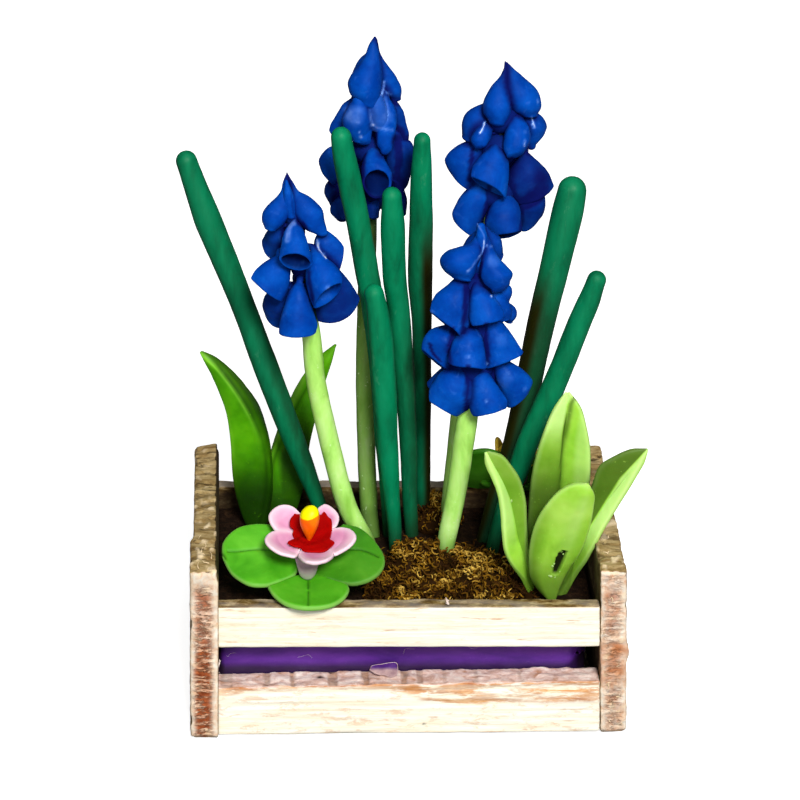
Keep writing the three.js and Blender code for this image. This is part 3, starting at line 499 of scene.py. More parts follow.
# ------------------------------------------------------------------ tables, in millimetres
# Stems and tubular leaves: centre line and radius from the foot to the tip.
STEMS = {
    "left_spike_stem": {"at": [[-2.4, 2, 7.6], [-2.8, 2, 10.2], [-3.66, 2, 12.06], [-4.69, 2, 14.27], [-6.13, 1.8, 20.02], [-7.31, 1.4, 25.68], [-7.73, 1, 29.65], [-8.47, 0.6, 34.88], [-9.16, 0.3, 39.74], [-9.7, 0.2, 43.0]], "r": [0.78, 0.78, 0.8, 0.81, 0.82, 0.8, 0.78, 0.64, 0.45, 0.28]},
    "rear_spike_stem": {"at": [[-2.38, 5.2, 7.6], [-2.42, 5.2, 9.94], [-2.68, 5.4, 12.64], [-2.97, 5.7, 18.23], [-3.13, 6, 23.66], [-3.15, 6.3, 30.8], [-3.04, 6.5, 36.89], [-3.03, 6.6, 43.8], [-2.95, 6.6, 48.92], [-2.86, 6.6, 51.4]], "r": [0.72, 0.72, 0.74, 0.75, 0.75, 0.72, 0.7, 0.5, 0.4, 0.26]},
    "right_spike_stem": {"at": [[4.1, 6.6, 7.6], [4.2, 6.6, 9.15], [4.42, 6.6, 13.65], [4.67, 6.6, 17.08], [4.88, 6.5, 20.25], [5.35, 6.5, 24.26], [6.19, 6.4, 29.89], [6.75, 6.3, 35.69], [7.23, 6.2, 41.4], [7.56, 6.2, 46.56], [7.74, 6.2, 49.6]], "r": [0.74, 0.76, 0.79, 0.8, 0.8, 0.78, 0.74, 0.66, 0.5, 0.4, 0.26]},
    "front_spike_stem": {"at": [[3.4, 0.6, 7.6], [3.58, 0.6, 11.07], [3.72, 0.6, 12.18], [4.08, 0.3, 15.08], [4.32, 0, 18.05], [4.55, -0.3, 20.99], [4.77, -0.5, 23.23], [5.02, -0.6, 27.1], [5.31, -0.7, 31.1], [5.51, -0.7, 35.45], [5.58, -0.7, 38.4]], "r": [0.73, 0.74, 0.76, 0.81, 0.85, 0.87, 0.86, 0.66, 0.52, 0.4, 0.26]},
}
TUBES = {
    "tube_leaf_far_left": {"at": [[-5.6, 5.6, 7.6], [-6.96, 5.6, 12.55], [-9.07, 5.6, 18.27], [-11.1, 5.6, 23.82], [-13.25, 5.6, 30.53], [-16.29, 5.6, 38.6], [-18.1, 5.6, 43.9]], "r": [0.6, 0.63, 0.87, 0.9, 0.9, 0.86, 0.68]},
    "tube_leaf_mid_tall": {"at": [[-0.75, 5.3, 7.6], [-1.07, 4.9, 13.25], [-1.53, 4.4, 19.01], [-2.11, 3.6, 26.59], [-2.71, 3, 31.64], [-3.21, 2.7, 34.43], [-4.22, 1.8, 40.11], [-5.28, 0.9, 45.63], [-5.55, 0.6, 47.8]], "r": [0.55, 0.59, 0.75, 0.86, 0.93, 0.95, 0.96, 0.91, 0.72]},
    "tube_leaf_mid_front": {"at": [[-0.5, 2.2, 7.6], [-0.56, 2.2, 11.4], [-0.83, 2, 14.27], [-1.37, 1.6, 20.11], [-1.78, 1.1, 25.81], [-2.3, 0.6, 31.41], [-2.92, 0.4, 34.5]], "r": [0.38, 0.55, 0.63, 0.87, 0.98, 0.99, 0.78]},
    "tube_leaf_mid_short": {"at": [[1.2, 5.3, 7.6], [0.79, 5, 12.83], [0.47, 4.4, 18.83], [0.03, 3.8, 24.63], [-0.49, 3, 30.41], [-1.04, 2.3, 34.65], [-1.37, 1.3, 40.31], [-1.5, 1, 42.6]], "r": [0.5, 0.63, 0.71, 0.79, 0.88, 0.97, 0.98, 0.76]},
    "tube_leaf_mid_right": {"at": [[2.15, 8, 7.6], [2.05, 8, 11.39], [1.85, 7.4, 17.45], [1.68, 6.6, 23.4], [1.42, 5.6, 29.32], [1.17, 4.9, 33.59], [1.06, 3.6, 39.43], [0.95, 2.4, 44.51], [0.9, 1.85, 46.9]], "r": [0.51, 0.59, 0.67, 0.73, 0.82, 1.04, 0.97, 0.84, 0.66]},
    "tube_leaf_right_tall": {"at": [[6.33, 4.2, 7.6], [6.88, 4.2, 9.76], [8.1, 4.4, 14.41], [9.31, 4.6, 18.74], [10.24, 4.9, 24.16], [11.23, 5.2, 29.51], [12.59, 5.6, 35.98], [13.37, 5.9, 39.97], [13.52, 5.9, 41.36]], "r": [0.56, 0.59, 0.88, 1.05, 1.07, 1.07, 1.03, 0.98, 0.78]},
    "tube_leaf_right_short": {"at": [[7.22, 2, 7.6], [7.92, 2, 12.14], [9.49, 1.9, 17.71], [10.02, 1.8, 20.03], [11.82, 1.5, 25.65], [13.77, 1, 31.28], [14.46, 0.8, 33.12], [15.22, 0.5, 35.51]], "r": [0.5, 0.59, 0.86, 0.91, 0.93, 0.91, 0.87, 0.68]},
}
# Florets of each spike, one list per tier from the tip down: the two side outlines from the top to the mouth (or,
# of a bud, to the lower end B), how far the front and back rim hang below the corners, and the shape of the mouth.
FLORETS = {
    "left_spike": [
        [
            {"k": "bud", "L": [[-9.86, 0.3, 44.19], [-10.11, 0.16, 43.52], [-10.26, 0.01, 42.81], [-10.69, -0.13, 42.25], [-11.24, -0.27, 41.78], [-11.7, -0.41, 41.23], [-11.85, -0.56, 40.53], [-11.59, -0.7, 39.86]], "R": [[-9.8, 0.3, 44.19], [-9.64, 0.16, 43.5], [-9.54, 0.01, 42.8], [-9.5, -0.13, 42.09], [-9.5, -0.27, 41.37], [-9.71, -0.41, 40.7], [-10.12, -0.56, 40.12], [-10.7, -0.7, 39.72]], "B": [-11.13, -0.7, 39.59]},
            {"k": "bud", "L": [[-9.82, 0.3, 44.19], [-9.65, 0.19, 43.39], [-9.53, 0.07, 42.58], [-9.43, -0.04, 41.77], [-9.25, -0.16, 40.97], [-8.88, -0.27, 40.24], [-8.32, -0.39, 39.65], [-7.58, -0.5, 39.34]], "R": [[-9.78, 0.3, 44.19], [-9.36, 0.19, 43.46], [-8.93, 0.07, 42.75], [-8.18, -0.04, 42.39], [-7.52, -0.16, 41.87], [-6.99, -0.27, 41.22], [-6.82, -0.39, 40.38], [-6.59, -0.5, 39.56]], "B": [-6.85, -0.5, 39.15]},
        ],
        [
            {"k": "bell", "L": [[-9.34, -0.4, 40.58], [-9.61, -0.71, 40.26], [-9.88, -1.03, 39.95], [-10.1, -1.34, 39.61], [-10.23, -1.66, 39.22], [-10.35, -1.97, 38.84], [-10.46, -2.29, 38.46], [-10.47, -2.6, 38.06]], "R": [[-8.98, -0.4, 40.46], [-8.71, -0.71, 40.09], [-8.47, -1.03, 39.7], [-8.29, -1.34, 39.28], [-8.15, -1.66, 38.85], [-8.0, -1.97, 38.42], [-7.85, -2.29, 37.99], [-7.78, -2.6, 37.55]], "f": -0.44, "b": 0.44, "open": 1, "tk": 0.75},
            {"k": "bell", "L": [[-10.68, 0.9, 39.42], [-10.88, 1.06, 39.24], [-11.09, 1.21, 39.06], [-11.28, 1.37, 38.86], [-11.43, 1.53, 38.62], [-11.55, 1.69, 38.34], [-11.66, 1.84, 38.06], [-11.78, 2.0, 37.77]], "R": [[-10.05, 0.9, 39.21], [-10.03, 1.06, 38.79], [-10.0, 1.21, 38.37], [-10.05, 1.37, 37.97], [-10.17, 1.53, 37.58], [-10.32, 1.69, 37.2], [-10.49, 1.84, 36.83], [-10.65, 2.0, 36.45]], "f": 0.2, "b": 0.24},
            {"k": "bell", "L": [[-7.16, 0.5, 39.16], [-7.38, 0.44, 38.67], [-7.41, 0.39, 38.16], [-7.21, 0.33, 37.65], [-6.92, 0.27, 37.21], [-6.59, 0.21, 36.79], [-6.25, 0.16, 36.39], [-5.9, 0.1, 35.99]], "R": [[-6.69, 0.5, 39.24], [-6.48, 0.44, 39.08], [-6.27, 0.39, 38.92], [-6.05, 0.33, 38.76], [-5.85, 0.27, 38.6], [-5.64, 0.21, 38.43], [-5.44, 0.16, 38.25], [-5.28, 0.1, 38.04]], "f": 0.32, "b": 0.12, "ext": [0, 0]},
        ],
        [
            {"k": "bell", "L": [[-10.68, -0.2, 37.36], [-11.02, -0.34, 37.2], [-11.35, -0.49, 37.04], [-11.68, -0.63, 36.85], [-11.99, -0.77, 36.65], [-12.28, -0.91, 36.42], [-12.49, -1.06, 36.13], [-12.68, -1.2, 35.81]], "R": [[-10.05, -0.2, 37.07], [-9.7, -0.34, 36.69], [-9.49, -0.49, 36.25], [-9.5, -0.63, 35.73], [-9.56, -0.77, 35.22], [-9.67, -0.91, 34.73], [-9.87, -1.06, 34.26], [-10.12, -1.2, 33.82]], "f": 0.16, "b": 0.08},
            {"k": "bell", "L": [[-7.89, -0.3, 37.76], [-7.99, -0.56, 37.2], [-8.06, -0.81, 36.63], [-8.04, -1.07, 36.06], [-7.95, -1.33, 35.49], [-7.8, -1.59, 34.94], [-7.61, -1.84, 34.4], [-7.4, -2.1, 33.86]], "R": [[-7.29, -0.3, 37.77], [-6.97, -0.56, 37.52], [-6.65, -0.81, 37.27], [-6.31, -1.07, 37.03], [-5.99, -1.33, 36.78], [-5.73, -1.59, 36.48], [-5.55, -1.84, 36.13], [-5.53, -2.1, 35.74]], "f": -0.2, "b": 0.2, "open": 1},
            {"k": "bell", "L": [[-6.58, 0.7, 36.0], [-6.69, 0.79, 35.47], [-6.8, 0.87, 34.94], [-6.91, 0.96, 34.41], [-7.0, 1.04, 33.87], [-7.08, 1.13, 33.33], [-7.15, 1.21, 32.79], [-7.22, 1.3, 32.25]], "R": [[-5.64, 0.7, 35.79], [-5.37, 0.79, 35.42], [-5.11, 0.87, 35.05], [-4.84, 0.96, 34.67], [-4.58, 1.04, 34.29], [-4.33, 1.13, 33.91], [-4.1, 1.21, 33.5], [-3.88, 1.3, 33.09]], "f": 1.05, "b": 0.89},
        ],
        [
            {"k": "bell", "L": [[-9.07, -0.6, 35.16], [-9.49, -0.79, 34.74], [-9.74, -0.97, 34.21], [-9.93, -1.16, 33.66], [-10.12, -1.34, 33.1], [-10.28, -1.53, 32.53], [-10.4, -1.71, 31.95], [-10.42, -1.9, 31.36]], "R": [[-8.47, -0.6, 35.16], [-8.22, -0.79, 34.66], [-8.01, -0.97, 34.14], [-7.83, -1.16, 33.6], [-7.65, -1.34, 33.07], [-7.47, -1.53, 32.54], [-7.31, -1.71, 32.0], [-7.41, -1.9, 31.44]], "f": 0.32, "b": 0.0},
            {"k": "bell", "L": [[-10.98, 0.9, 33.89], [-11.24, 1.01, 33.62], [-11.47, 1.13, 33.34], [-11.62, 1.24, 32.99], [-11.71, 1.36, 32.6], [-11.72, 1.47, 32.21], [-11.62, 1.59, 31.83], [-11.49, 1.7, 31.44]], "R": [[-9.77, 0.9, 33.75], [-9.8, 1.01, 33.28], [-9.83, 1.13, 32.82], [-9.88, 1.24, 32.36], [-9.97, 1.36, 31.9], [-10.09, 1.47, 31.46], [-10.22, 1.59, 31.01], [-10.34, 1.7, 30.57]], "f": 0.16, "b": 0.16},
        ],
    ],
    "rear_spike": [
        [
            {"k": "bud", "L": [[-2.92, 6.5, 53.38], [-3.36, 6.27, 52.68], [-3.66, 6.04, 51.91], [-4.11, 5.81, 51.23], [-4.64, 5.59, 50.59], [-4.94, 5.36, 49.84], [-4.73, 5.13, 49.05], [-4.1, 4.9, 48.52]], "R": [[-2.7, 6.5, 53.38], [-2.53, 6.27, 52.63], [-2.39, 6.04, 51.87], [-2.27, 5.81, 51.11], [-2.21, 5.59, 50.34], [-2.25, 5.36, 49.57], [-2.39, 5.13, 48.82], [-2.69, 4.9, 48.11]], "B": [-3.29, 4.9, 47.82]},
            {"k": "bud", "L": [[-2.68, 6.6, 53.27], [-2.54, 6.66, 52.52], [-2.41, 6.71, 51.77], [-2.29, 6.77, 51.02], [-2.2, 6.83, 50.25], [-2.07, 6.89, 49.49], [-1.86, 6.94, 48.75], [-1.41, 7.0, 48.15]], "R": [[-2.59, 6.6, 53.14], [-2.46, 6.66, 52.34], [-2.17, 6.71, 51.61], [-1.73, 6.77, 50.95], [-1.22, 6.83, 50.34], [-0.82, 6.89, 49.65], [-0.53, 6.94, 48.9], [-0.61, 7.0, 48.11]], "B": [-1.0, 7.0, 47.84]},
        ],
        [
            {"k": "bud", "L": [[-4.33, 5.9, 48.24], [-4.68, 5.71, 47.91], [-4.94, 5.53, 47.52], [-5.08, 5.34, 47.06], [-5.04, 5.16, 46.61], [-4.88, 4.97, 46.15], [-4.65, 4.79, 45.75], [-4.35, 4.6, 45.38]], "R": [[-3.12, 5.9, 47.82], [-3.04, 5.71, 47.47], [-2.97, 5.53, 47.12], [-2.91, 5.34, 46.77], [-2.9, 5.16, 46.42], [-2.92, 4.97, 46.06], [-2.97, 4.79, 45.71], [-3.03, 4.6, 45.36]], "B": [-3.58, 4.6, 44.91]},
            {"k": "bud", "L": [[-2.45, 5.9, 48.18], [-2.58, 5.71, 47.65], [-2.67, 5.53, 47.12], [-2.71, 5.34, 46.58], [-2.71, 5.16, 46.04], [-2.67, 4.97, 45.5], [-2.56, 4.79, 44.97], [-2.28, 4.6, 44.51]], "R": [[-1.52, 5.9, 48.39], [-1.22, 5.71, 47.94], [-1.02, 5.53, 47.46], [-0.97, 5.34, 46.93], [-0.99, 5.16, 46.4], [-1.06, 4.97, 45.87], [-1.16, 4.79, 45.34], [-1.28, 4.6, 44.82]], "B": [-1.8, 4.6, 44.11]},
            {"k": "bell", "L": [[-4.64, 6.7, 48.14], [-5.01, 6.71, 47.86], [-5.34, 6.73, 47.54], [-5.59, 6.74, 47.15], [-5.82, 6.76, 46.73], [-6.05, 6.77, 46.31], [-6.27, 6.79, 45.89], [-6.38, 6.8, 45.42]], "R": [[-4.16, 6.7, 47.74], [-4.29, 6.71, 47.35], [-4.42, 6.73, 46.96], [-4.55, 6.74, 46.57], [-4.73, 6.76, 46.19], [-4.9, 6.77, 45.82], [-5.0, 6.79, 45.42], [-5.06, 6.8, 45.0]], "f": 0.24, "b": 0.16},
            {"k": "bell", "L": [[-1.34, 6.8, 48.01], [-1.22, 6.84, 47.52], [-1.1, 6.89, 47.04], [-0.98, 6.93, 46.55], [-0.87, 6.97, 46.06], [-0.8, 7.01, 45.56], [-0.78, 7.06, 45.06], [-0.78, 7.1, 44.55]], "R": [[-0.87, 6.8, 47.8], [-0.6, 6.84, 47.39], [-0.37, 6.89, 46.96], [-0.24, 6.93, 46.48], [-0.14, 6.97, 46.0], [0.03, 7.01, 45.53], [0.17, 7.06, 45.05], [0.15, 7.1, 44.56]], "f": 0.16, "b": 0.16},
        ],
        [
            {"k": "bell", "L": [[-6.07, 6.3, 44.28], [-6.34, 6.29, 44.1], [-6.59, 6.27, 43.91], [-6.82, 6.26, 43.68], [-7.03, 6.24, 43.42], [-7.19, 6.23, 43.14], [-7.19, 6.21, 42.83], [-7.09, 6.2, 42.49]], "R": [[-5.2, 6.3, 44.25], [-5.12, 6.29, 43.76], [-5.04, 6.27, 43.27], [-5.04, 6.26, 42.79], [-5.16, 6.24, 42.33], [-5.35, 6.23, 41.88], [-5.56, 6.21, 41.44], [-5.76, 6.2, 40.99]], "f": 0.16, "b": 0.16},
            {"k": "bell", "L": [[-3.13, 5.9, 44.48], [-3.32, 5.57, 44.19], [-3.5, 5.24, 43.89], [-3.65, 4.91, 43.58], [-3.76, 4.59, 43.26], [-3.82, 4.26, 42.92], [-3.78, 3.93, 42.6], [-3.71, 3.6, 42.27]], "R": [[-2.52, 5.9, 44.48], [-2.29, 5.57, 44.14], [-2.06, 5.24, 43.79], [-1.83, 4.91, 43.44], [-1.61, 4.59, 43.08], [-1.41, 4.26, 42.71], [-1.29, 3.93, 42.33], [-1.39, 3.6, 41.92]], "f": -0.88, "b": 0.96, "open": 1, "tk": 0.8},
            {"k": "bell", "L": [[-1.02, 6.6, 44.81], [-1.14, 6.64, 44.16], [-1.25, 6.69, 43.52], [-1.28, 6.73, 42.86], [-1.26, 6.77, 42.2], [-1.16, 6.81, 41.55], [-0.95, 6.86, 40.93], [-0.71, 6.9, 40.31]], "R": [[-0.35, 6.6, 44.74], [0.22, 6.64, 44.51], [0.5, 6.69, 44.06], [0.56, 6.73, 43.44], [0.53, 6.77, 42.81], [0.44, 6.81, 42.22], [0.31, 6.86, 41.63], [0.17, 6.9, 41.03]], "f": 0.24, "b": 0.24},
        ],
        [
            {"k": "bell", "L": [[-6.22, 6.8, 41.19], [-6.42, 6.84, 40.89], [-6.6, 6.89, 40.57], [-6.68, 6.93, 40.21], [-6.67, 6.97, 39.83], [-6.54, 7.01, 39.49], [-6.36, 7.06, 39.16], [-6.19, 7.1, 38.83]], "R": [[-5.48, 6.8, 41.05], [-5.39, 6.84, 40.7], [-5.29, 6.89, 40.36], [-5.23, 6.93, 40.01], [-5.25, 6.97, 39.66], [-5.32, 7.01, 39.31], [-5.42, 7.06, 38.97], [-5.51, 7.1, 38.62]], "f": 0.16, "b": 0.16},
            {"k": "bell", "L": [[-5.62, 6.2, 39.91], [-5.82, 6.06, 39.7], [-6.02, 5.91, 39.5], [-6.16, 5.77, 39.27], [-6.21, 5.63, 38.99], [-6.14, 5.49, 38.73], [-5.96, 5.34, 38.53], [-5.74, 5.2, 38.34]], "R": [[-5.01, 6.2, 39.91], [-4.96, 6.06, 39.69], [-4.92, 5.91, 39.47], [-4.88, 5.77, 39.26], [-4.85, 5.63, 39.04], [-4.86, 5.49, 38.82], [-4.9, 5.34, 38.6], [-4.95, 5.2, 38.38]], "f": 0.08, "b": 0.16},
            {"k": "bell", "L": [[-3.0, 6.0, 40.86], [-3.07, 5.8, 40.57], [-3.15, 5.6, 40.27], [-3.21, 5.4, 39.98], [-3.25, 5.2, 39.69], [-3.25, 5.0, 39.39], [-3.21, 4.8, 39.09], [-3.18, 4.6, 38.8]], "R": [[-2.12, 6.0, 40.86], [-2.14, 5.8, 40.56], [-2.17, 5.6, 40.26], [-2.19, 5.4, 39.96], [-2.22, 5.2, 39.66], [-2.25, 5.0, 39.37], [-2.28, 4.8, 39.07], [-2.31, 4.6, 38.77]], "f": 0.16, "b": 0.16},
            {"k": "bell", "L": [[-0.94, 6.7, 40.6], [-0.91, 6.76, 40.23], [-0.89, 6.81, 39.87], [-0.87, 6.87, 39.5], [-0.82, 6.93, 39.14], [-0.76, 6.99, 38.77], [-0.68, 7.04, 38.41], [-0.6, 7.1, 38.05]], "R": [[-0.26, 6.7, 40.53], [-0.15, 6.76, 40.2], [-0.03, 6.81, 39.86], [0.06, 6.87, 39.53], [0.1, 6.93, 39.18], [0.09, 6.99, 38.83], [0.05, 7.04, 38.48], [0.03, 7.1, 38.13]], "f": 0.16, "b": 0.16},
        ],
    ],
    "right_spike": [
        [
            {"k": "bud", "L": [[7.65, 6.3, 51.53], [7.51, 6.09, 50.81], [7.08, 5.87, 50.19], [6.59, 5.66, 49.64], [6.19, 5.44, 49.01], [5.9, 5.23, 48.32], [5.93, 5.01, 47.58], [6.38, 4.8, 46.98]], "R": [[7.76, 6.3, 51.4], [7.83, 6.09, 50.72], [7.93, 5.87, 50.03], [8.08, 5.66, 49.36], [8.23, 5.44, 48.69], [8.25, 5.23, 48.0], [8.09, 5.01, 47.32], [7.67, 4.8, 46.78]], "B": [7.06, 4.8, 46.53]},
            {"k": "bud", "L": [[7.76, 6.3, 51.4], [7.85, 6.21, 50.76], [7.91, 6.13, 50.12], [7.99, 6.04, 49.48], [8.17, 5.96, 48.86], [8.43, 5.87, 48.27], [8.76, 5.79, 47.72], [9.2, 5.7, 47.24]], "R": [[7.9, 6.3, 51.36], [8.47, 6.21, 50.85], [9.05, 6.13, 50.37], [9.64, 6.04, 49.88], [10.21, 5.96, 49.35], [10.58, 5.87, 48.68], [10.71, 5.79, 47.91], [10.37, 5.7, 47.25]], "B": [9.8, 5.7, 47.0]},
        ],
        [
            {"k": "bud", "L": [[6.03, 6.5, 47.89], [5.58, 6.49, 47.68], [5.16, 6.47, 47.44], [4.76, 6.46, 47.12], [4.47, 6.44, 46.73], [4.33, 6.43, 46.22], [4.33, 6.41, 45.71], [4.39, 6.4, 45.19]], "R": [[6.38, 6.5, 47.44], [6.47, 6.49, 47.0], [6.52, 6.47, 46.56], [6.4, 6.46, 46.17], [6.2, 6.44, 45.78], [5.96, 6.43, 45.42], [5.7, 6.41, 45.08], [5.41, 6.4, 44.76]], "B": [4.84, 6.4, 44.62]},
            {"k": "bud", "L": [[6.24, 6.0, 46.62], [5.9, 5.81, 46.48], [5.59, 5.63, 46.29], [5.34, 5.44, 46.04], [5.14, 5.26, 45.75], [5.01, 5.07, 45.42], [5.04, 4.89, 45.11], [5.28, 4.7, 44.84]], "R": [[6.64, 6.0, 46.55], [6.76, 5.81, 46.31], [6.83, 5.63, 46.07], [6.8, 5.44, 45.82], [6.7, 5.26, 45.57], [6.57, 5.07, 45.35], [6.4, 4.89, 45.14], [6.22, 4.7, 44.93]], "B": [5.68, 4.7, 44.67]},
            {"k": "bud", "L": [[8.15, 5.8, 47.27], [7.97, 5.56, 46.85], [7.81, 5.31, 46.43], [7.7, 5.07, 45.99], [7.63, 4.83, 45.54], [7.58, 4.59, 45.09], [7.61, 4.34, 44.64], [7.84, 4.1, 44.25]], "R": [[8.96, 5.8, 47.28], [9.25, 5.56, 46.94], [9.51, 5.31, 46.6], [9.7, 5.07, 46.2], [9.79, 4.83, 45.77], [9.78, 4.59, 45.33], [9.6, 4.34, 44.95], [9.3, 4.1, 44.6]], "B": [8.45, 4.1, 44.12]},
            {"k": "bud", "L": [[9.3, 6.6, 46.85], [9.37, 6.59, 46.51], [9.44, 6.57, 46.17], [9.5, 6.56, 45.83], [9.56, 6.54, 45.49], [9.59, 6.53, 45.15], [9.62, 6.51, 44.8], [9.64, 6.5, 44.46]], "R": [[10.51, 6.6, 46.95], [10.84, 6.59, 46.66], [11.1, 6.57, 46.3], [11.21, 6.56, 45.86], [11.12, 6.54, 45.44], [10.92, 6.53, 45.05], [10.66, 6.51, 44.7], [10.39, 6.5, 44.36]], "B": [9.96, 6.5, 43.89]},
        ],
        [
            {"k": "bell", "L": [[5.03, 6.3, 44.76], [4.62, 6.31, 44.58], [4.22, 6.33, 44.39], [3.84, 6.34, 44.14], [3.5, 6.36, 43.84], [3.2, 6.37, 43.5], [3.03, 6.39, 43.06], [3.17, 6.4, 42.6]], "R": [[5.98, 6.3, 44.52], [5.83, 6.31, 44.01], [5.69, 6.33, 43.49], [5.56, 6.34, 42.97], [5.45, 6.36, 42.45], [5.36, 6.37, 41.92], [5.3, 6.39, 41.38], [5.25, 6.4, 40.84]], "f": 0.32, "b": 0.16},
            {"k": "bell", "L": [[6.95, 5.8, 45.06], [6.61, 5.51, 44.74], [6.28, 5.23, 44.43], [5.93, 4.94, 44.12], [5.6, 4.66, 43.8], [5.3, 4.37, 43.45], [5.11, 4.09, 43.06], [5.01, 3.8, 42.62]], "R": [[7.22, 5.8, 44.99], [7.59, 5.51, 44.48], [7.94, 5.23, 43.96], [8.11, 4.94, 43.37], [8.12, 4.66, 42.74], [8.1, 4.37, 42.11], [8.03, 4.09, 41.49], [7.94, 3.8, 40.87]], "f": -0.04, "b": 0.0, "tip": [0.93, 0.18]},
            {"k": "bell", "L": [[9.38, 6.3, 43.74], [9.15, 6.3, 43.21], [8.93, 6.3, 42.66], [8.76, 6.3, 42.09], [8.65, 6.3, 41.49], [8.72, 6.3, 40.91], [8.94, 6.3, 40.34], [9.18, 6.3, 39.78]], "R": [[9.79, 6.3, 43.73], [10.18, 6.3, 43.4], [10.55, 6.3, 43.06], [10.92, 6.3, 42.7], [11.27, 6.3, 42.31], [11.55, 6.3, 41.89], [11.76, 6.3, 41.41], [11.95, 6.3, 40.92]], "f": 0.32, "b": 0.16},
        ],
        [
            {"k": "bell", "L": [[5.24, 5.9, 41.21], [4.92, 5.79, 40.86], [4.6, 5.67, 40.51], [4.3, 5.56, 40.14], [4.03, 5.44, 39.74], [3.8, 5.33, 39.33], [3.66, 5.21, 38.87], [3.78, 5.1, 38.41]], "R": [[6.46, 5.9, 41.08], [6.84, 5.79, 40.51], [6.87, 5.67, 39.91], [6.66, 5.56, 39.28], [6.41, 5.44, 38.68], [6.11, 5.33, 38.11], [5.81, 5.21, 37.54], [5.5, 5.1, 36.98]], "f": 0.2, "b": 0.08},
            {"k": "bell", "L": [[7.56, 5.7, 40.29], [7.14, 5.47, 40.0], [6.79, 5.24, 39.65], [6.54, 5.01, 39.23], [6.35, 4.79, 38.78], [6.24, 4.56, 38.3], [6.35, 4.33, 37.85], [6.62, 4.1, 37.43]], "R": [[8.37, 5.7, 40.36], [8.67, 5.47, 40.11], [8.94, 5.24, 39.83], [9.13, 5.01, 39.5], [9.25, 4.79, 39.13], [9.32, 4.56, 38.76], [9.33, 4.33, 38.38], [9.33, 4.1, 37.99]], "f": 0.2, "b": 0.36, "open": 1},
            {"k": "bell", "L": [[9.51, 6.4, 40.17], [9.5, 6.43, 39.74], [9.49, 6.46, 39.3], [9.49, 6.49, 38.86], [9.52, 6.51, 38.42], [9.56, 6.54, 37.98], [9.61, 6.57, 37.54], [9.65, 6.6, 37.1]], "R": [[11.28, 6.4, 40.21], [11.33, 6.43, 39.82], [11.38, 6.46, 39.43], [11.37, 6.49, 39.04], [11.3, 6.51, 38.65], [11.16, 6.54, 38.3], [10.95, 6.57, 37.99], [10.73, 6.6, 37.69]], "f": 0.24, "b": 0.16},
        ],
    ],
    "front_spike": [
        [
            {"k": "bud", "L": [[5.26, -0.8, 40.28], [5.18, -0.96, 39.4], [4.62, -1.11, 38.75], [3.77, -1.27, 38.48], [2.92, -1.43, 38.23], [2.33, -1.59, 37.6], [2.59, -1.74, 36.76], [3.29, -1.9, 36.22]], "R": [[5.53, -0.8, 40.36], [5.68, -0.96, 39.71], [5.79, -1.11, 39.05], [5.83, -1.27, 38.39], [5.71, -1.43, 37.74], [5.41, -1.59, 37.15], [5.23, -1.74, 36.51], [4.85, -1.9, 35.98]], "B": [4.32, -1.9, 35.81]},
            {"k": "bud", "L": [[5.66, -0.8, 40.21], [5.69, -1.03, 39.47], [5.71, -1.26, 38.73], [5.67, -1.49, 37.99], [5.59, -1.71, 37.25], [5.58, -1.94, 36.51], [5.9, -2.17, 35.84], [6.44, -2.4, 35.33]], "R": [[5.8, -0.8, 40.21], [6.1, -1.03, 39.56], [6.4, -1.26, 38.89], [6.73, -1.49, 38.24], [7.14, -1.71, 37.65], [7.69, -1.94, 37.17], [8.16, -2.17, 36.64], [7.95, -2.4, 35.98]], "B": [7.28, -2.4, 35.17]},
            {"k": "bud", "L": [[5.76, -0.5, 40.21], [5.91, -0.37, 39.73], [6.05, -0.24, 39.25], [6.2, -0.11, 38.77], [6.33, 0.01, 38.28], [6.48, 0.14, 37.8], [6.65, 0.27, 37.32], [6.84, 0.4, 36.85]], "R": [[5.83, -0.5, 40.28], [6.13, -0.37, 39.88], [6.44, -0.24, 39.5], [6.83, -0.11, 39.19], [7.19, 0.01, 38.88], [7.41, 0.14, 38.41], [7.51, 0.27, 37.91], [7.51, 0.4, 37.39]], "B": [7.29, 0.4, 36.71]},
        ],
        [
            {"k": "bud", "L": [[6.84, -0.5, 35.01], [6.74, -0.56, 34.77], [6.67, -0.61, 34.52], [6.7, -0.67, 34.26], [6.78, -0.73, 34.01], [6.92, -0.79, 33.8], [7.12, -0.84, 33.63], [7.32, -0.9, 33.47]], "R": [[7.77, -0.5, 35.16], [7.98, -0.56, 35.01], [8.16, -0.61, 34.85], [8.26, -0.67, 34.62], [8.3, -0.73, 34.37], [8.27, -0.79, 34.13], [8.18, -0.84, 33.9], [8.1, -0.9, 33.66]], "B": [7.67, -0.9, 33.3]},
        ],
        [
            {"k": "bell", "L": [[3.53, -1.1, 35.68], [3.18, -1.24, 35.41], [2.82, -1.39, 35.14], [2.45, -1.53, 34.89], [2.11, -1.67, 34.61], [1.86, -1.81, 34.24], [1.7, -1.96, 33.83], [1.63, -2.1, 33.39]], "R": [[4.47, -1.1, 35.58], [4.51, -1.24, 34.99], [4.5, -1.39, 34.39], [4.43, -1.53, 33.8], [4.35, -1.67, 33.21], [4.25, -1.81, 32.62], [4.08, -1.96, 32.05], [3.89, -2.1, 31.49]], "f": -0.04, "b": 0.08, "tip": [0.93, 0.12]},
            {"k": "bell", "L": [[5.07, -1.3, 35.66], [4.92, -1.54, 35.22], [4.79, -1.79, 34.78], [4.73, -2.03, 34.32], [4.7, -2.27, 33.86], [4.7, -2.51, 33.39], [4.74, -2.76, 32.94], [4.92, -3.0, 32.51]], "R": [[5.66, -1.3, 35.55], [5.97, -1.54, 35.21], [6.3, -1.79, 34.9], [6.66, -2.03, 34.62], [6.99, -2.27, 34.3], [7.27, -2.51, 33.94], [7.52, -2.76, 33.55], [7.5, -3.0, 33.12]], "f": 0.16, "b": 0.0},
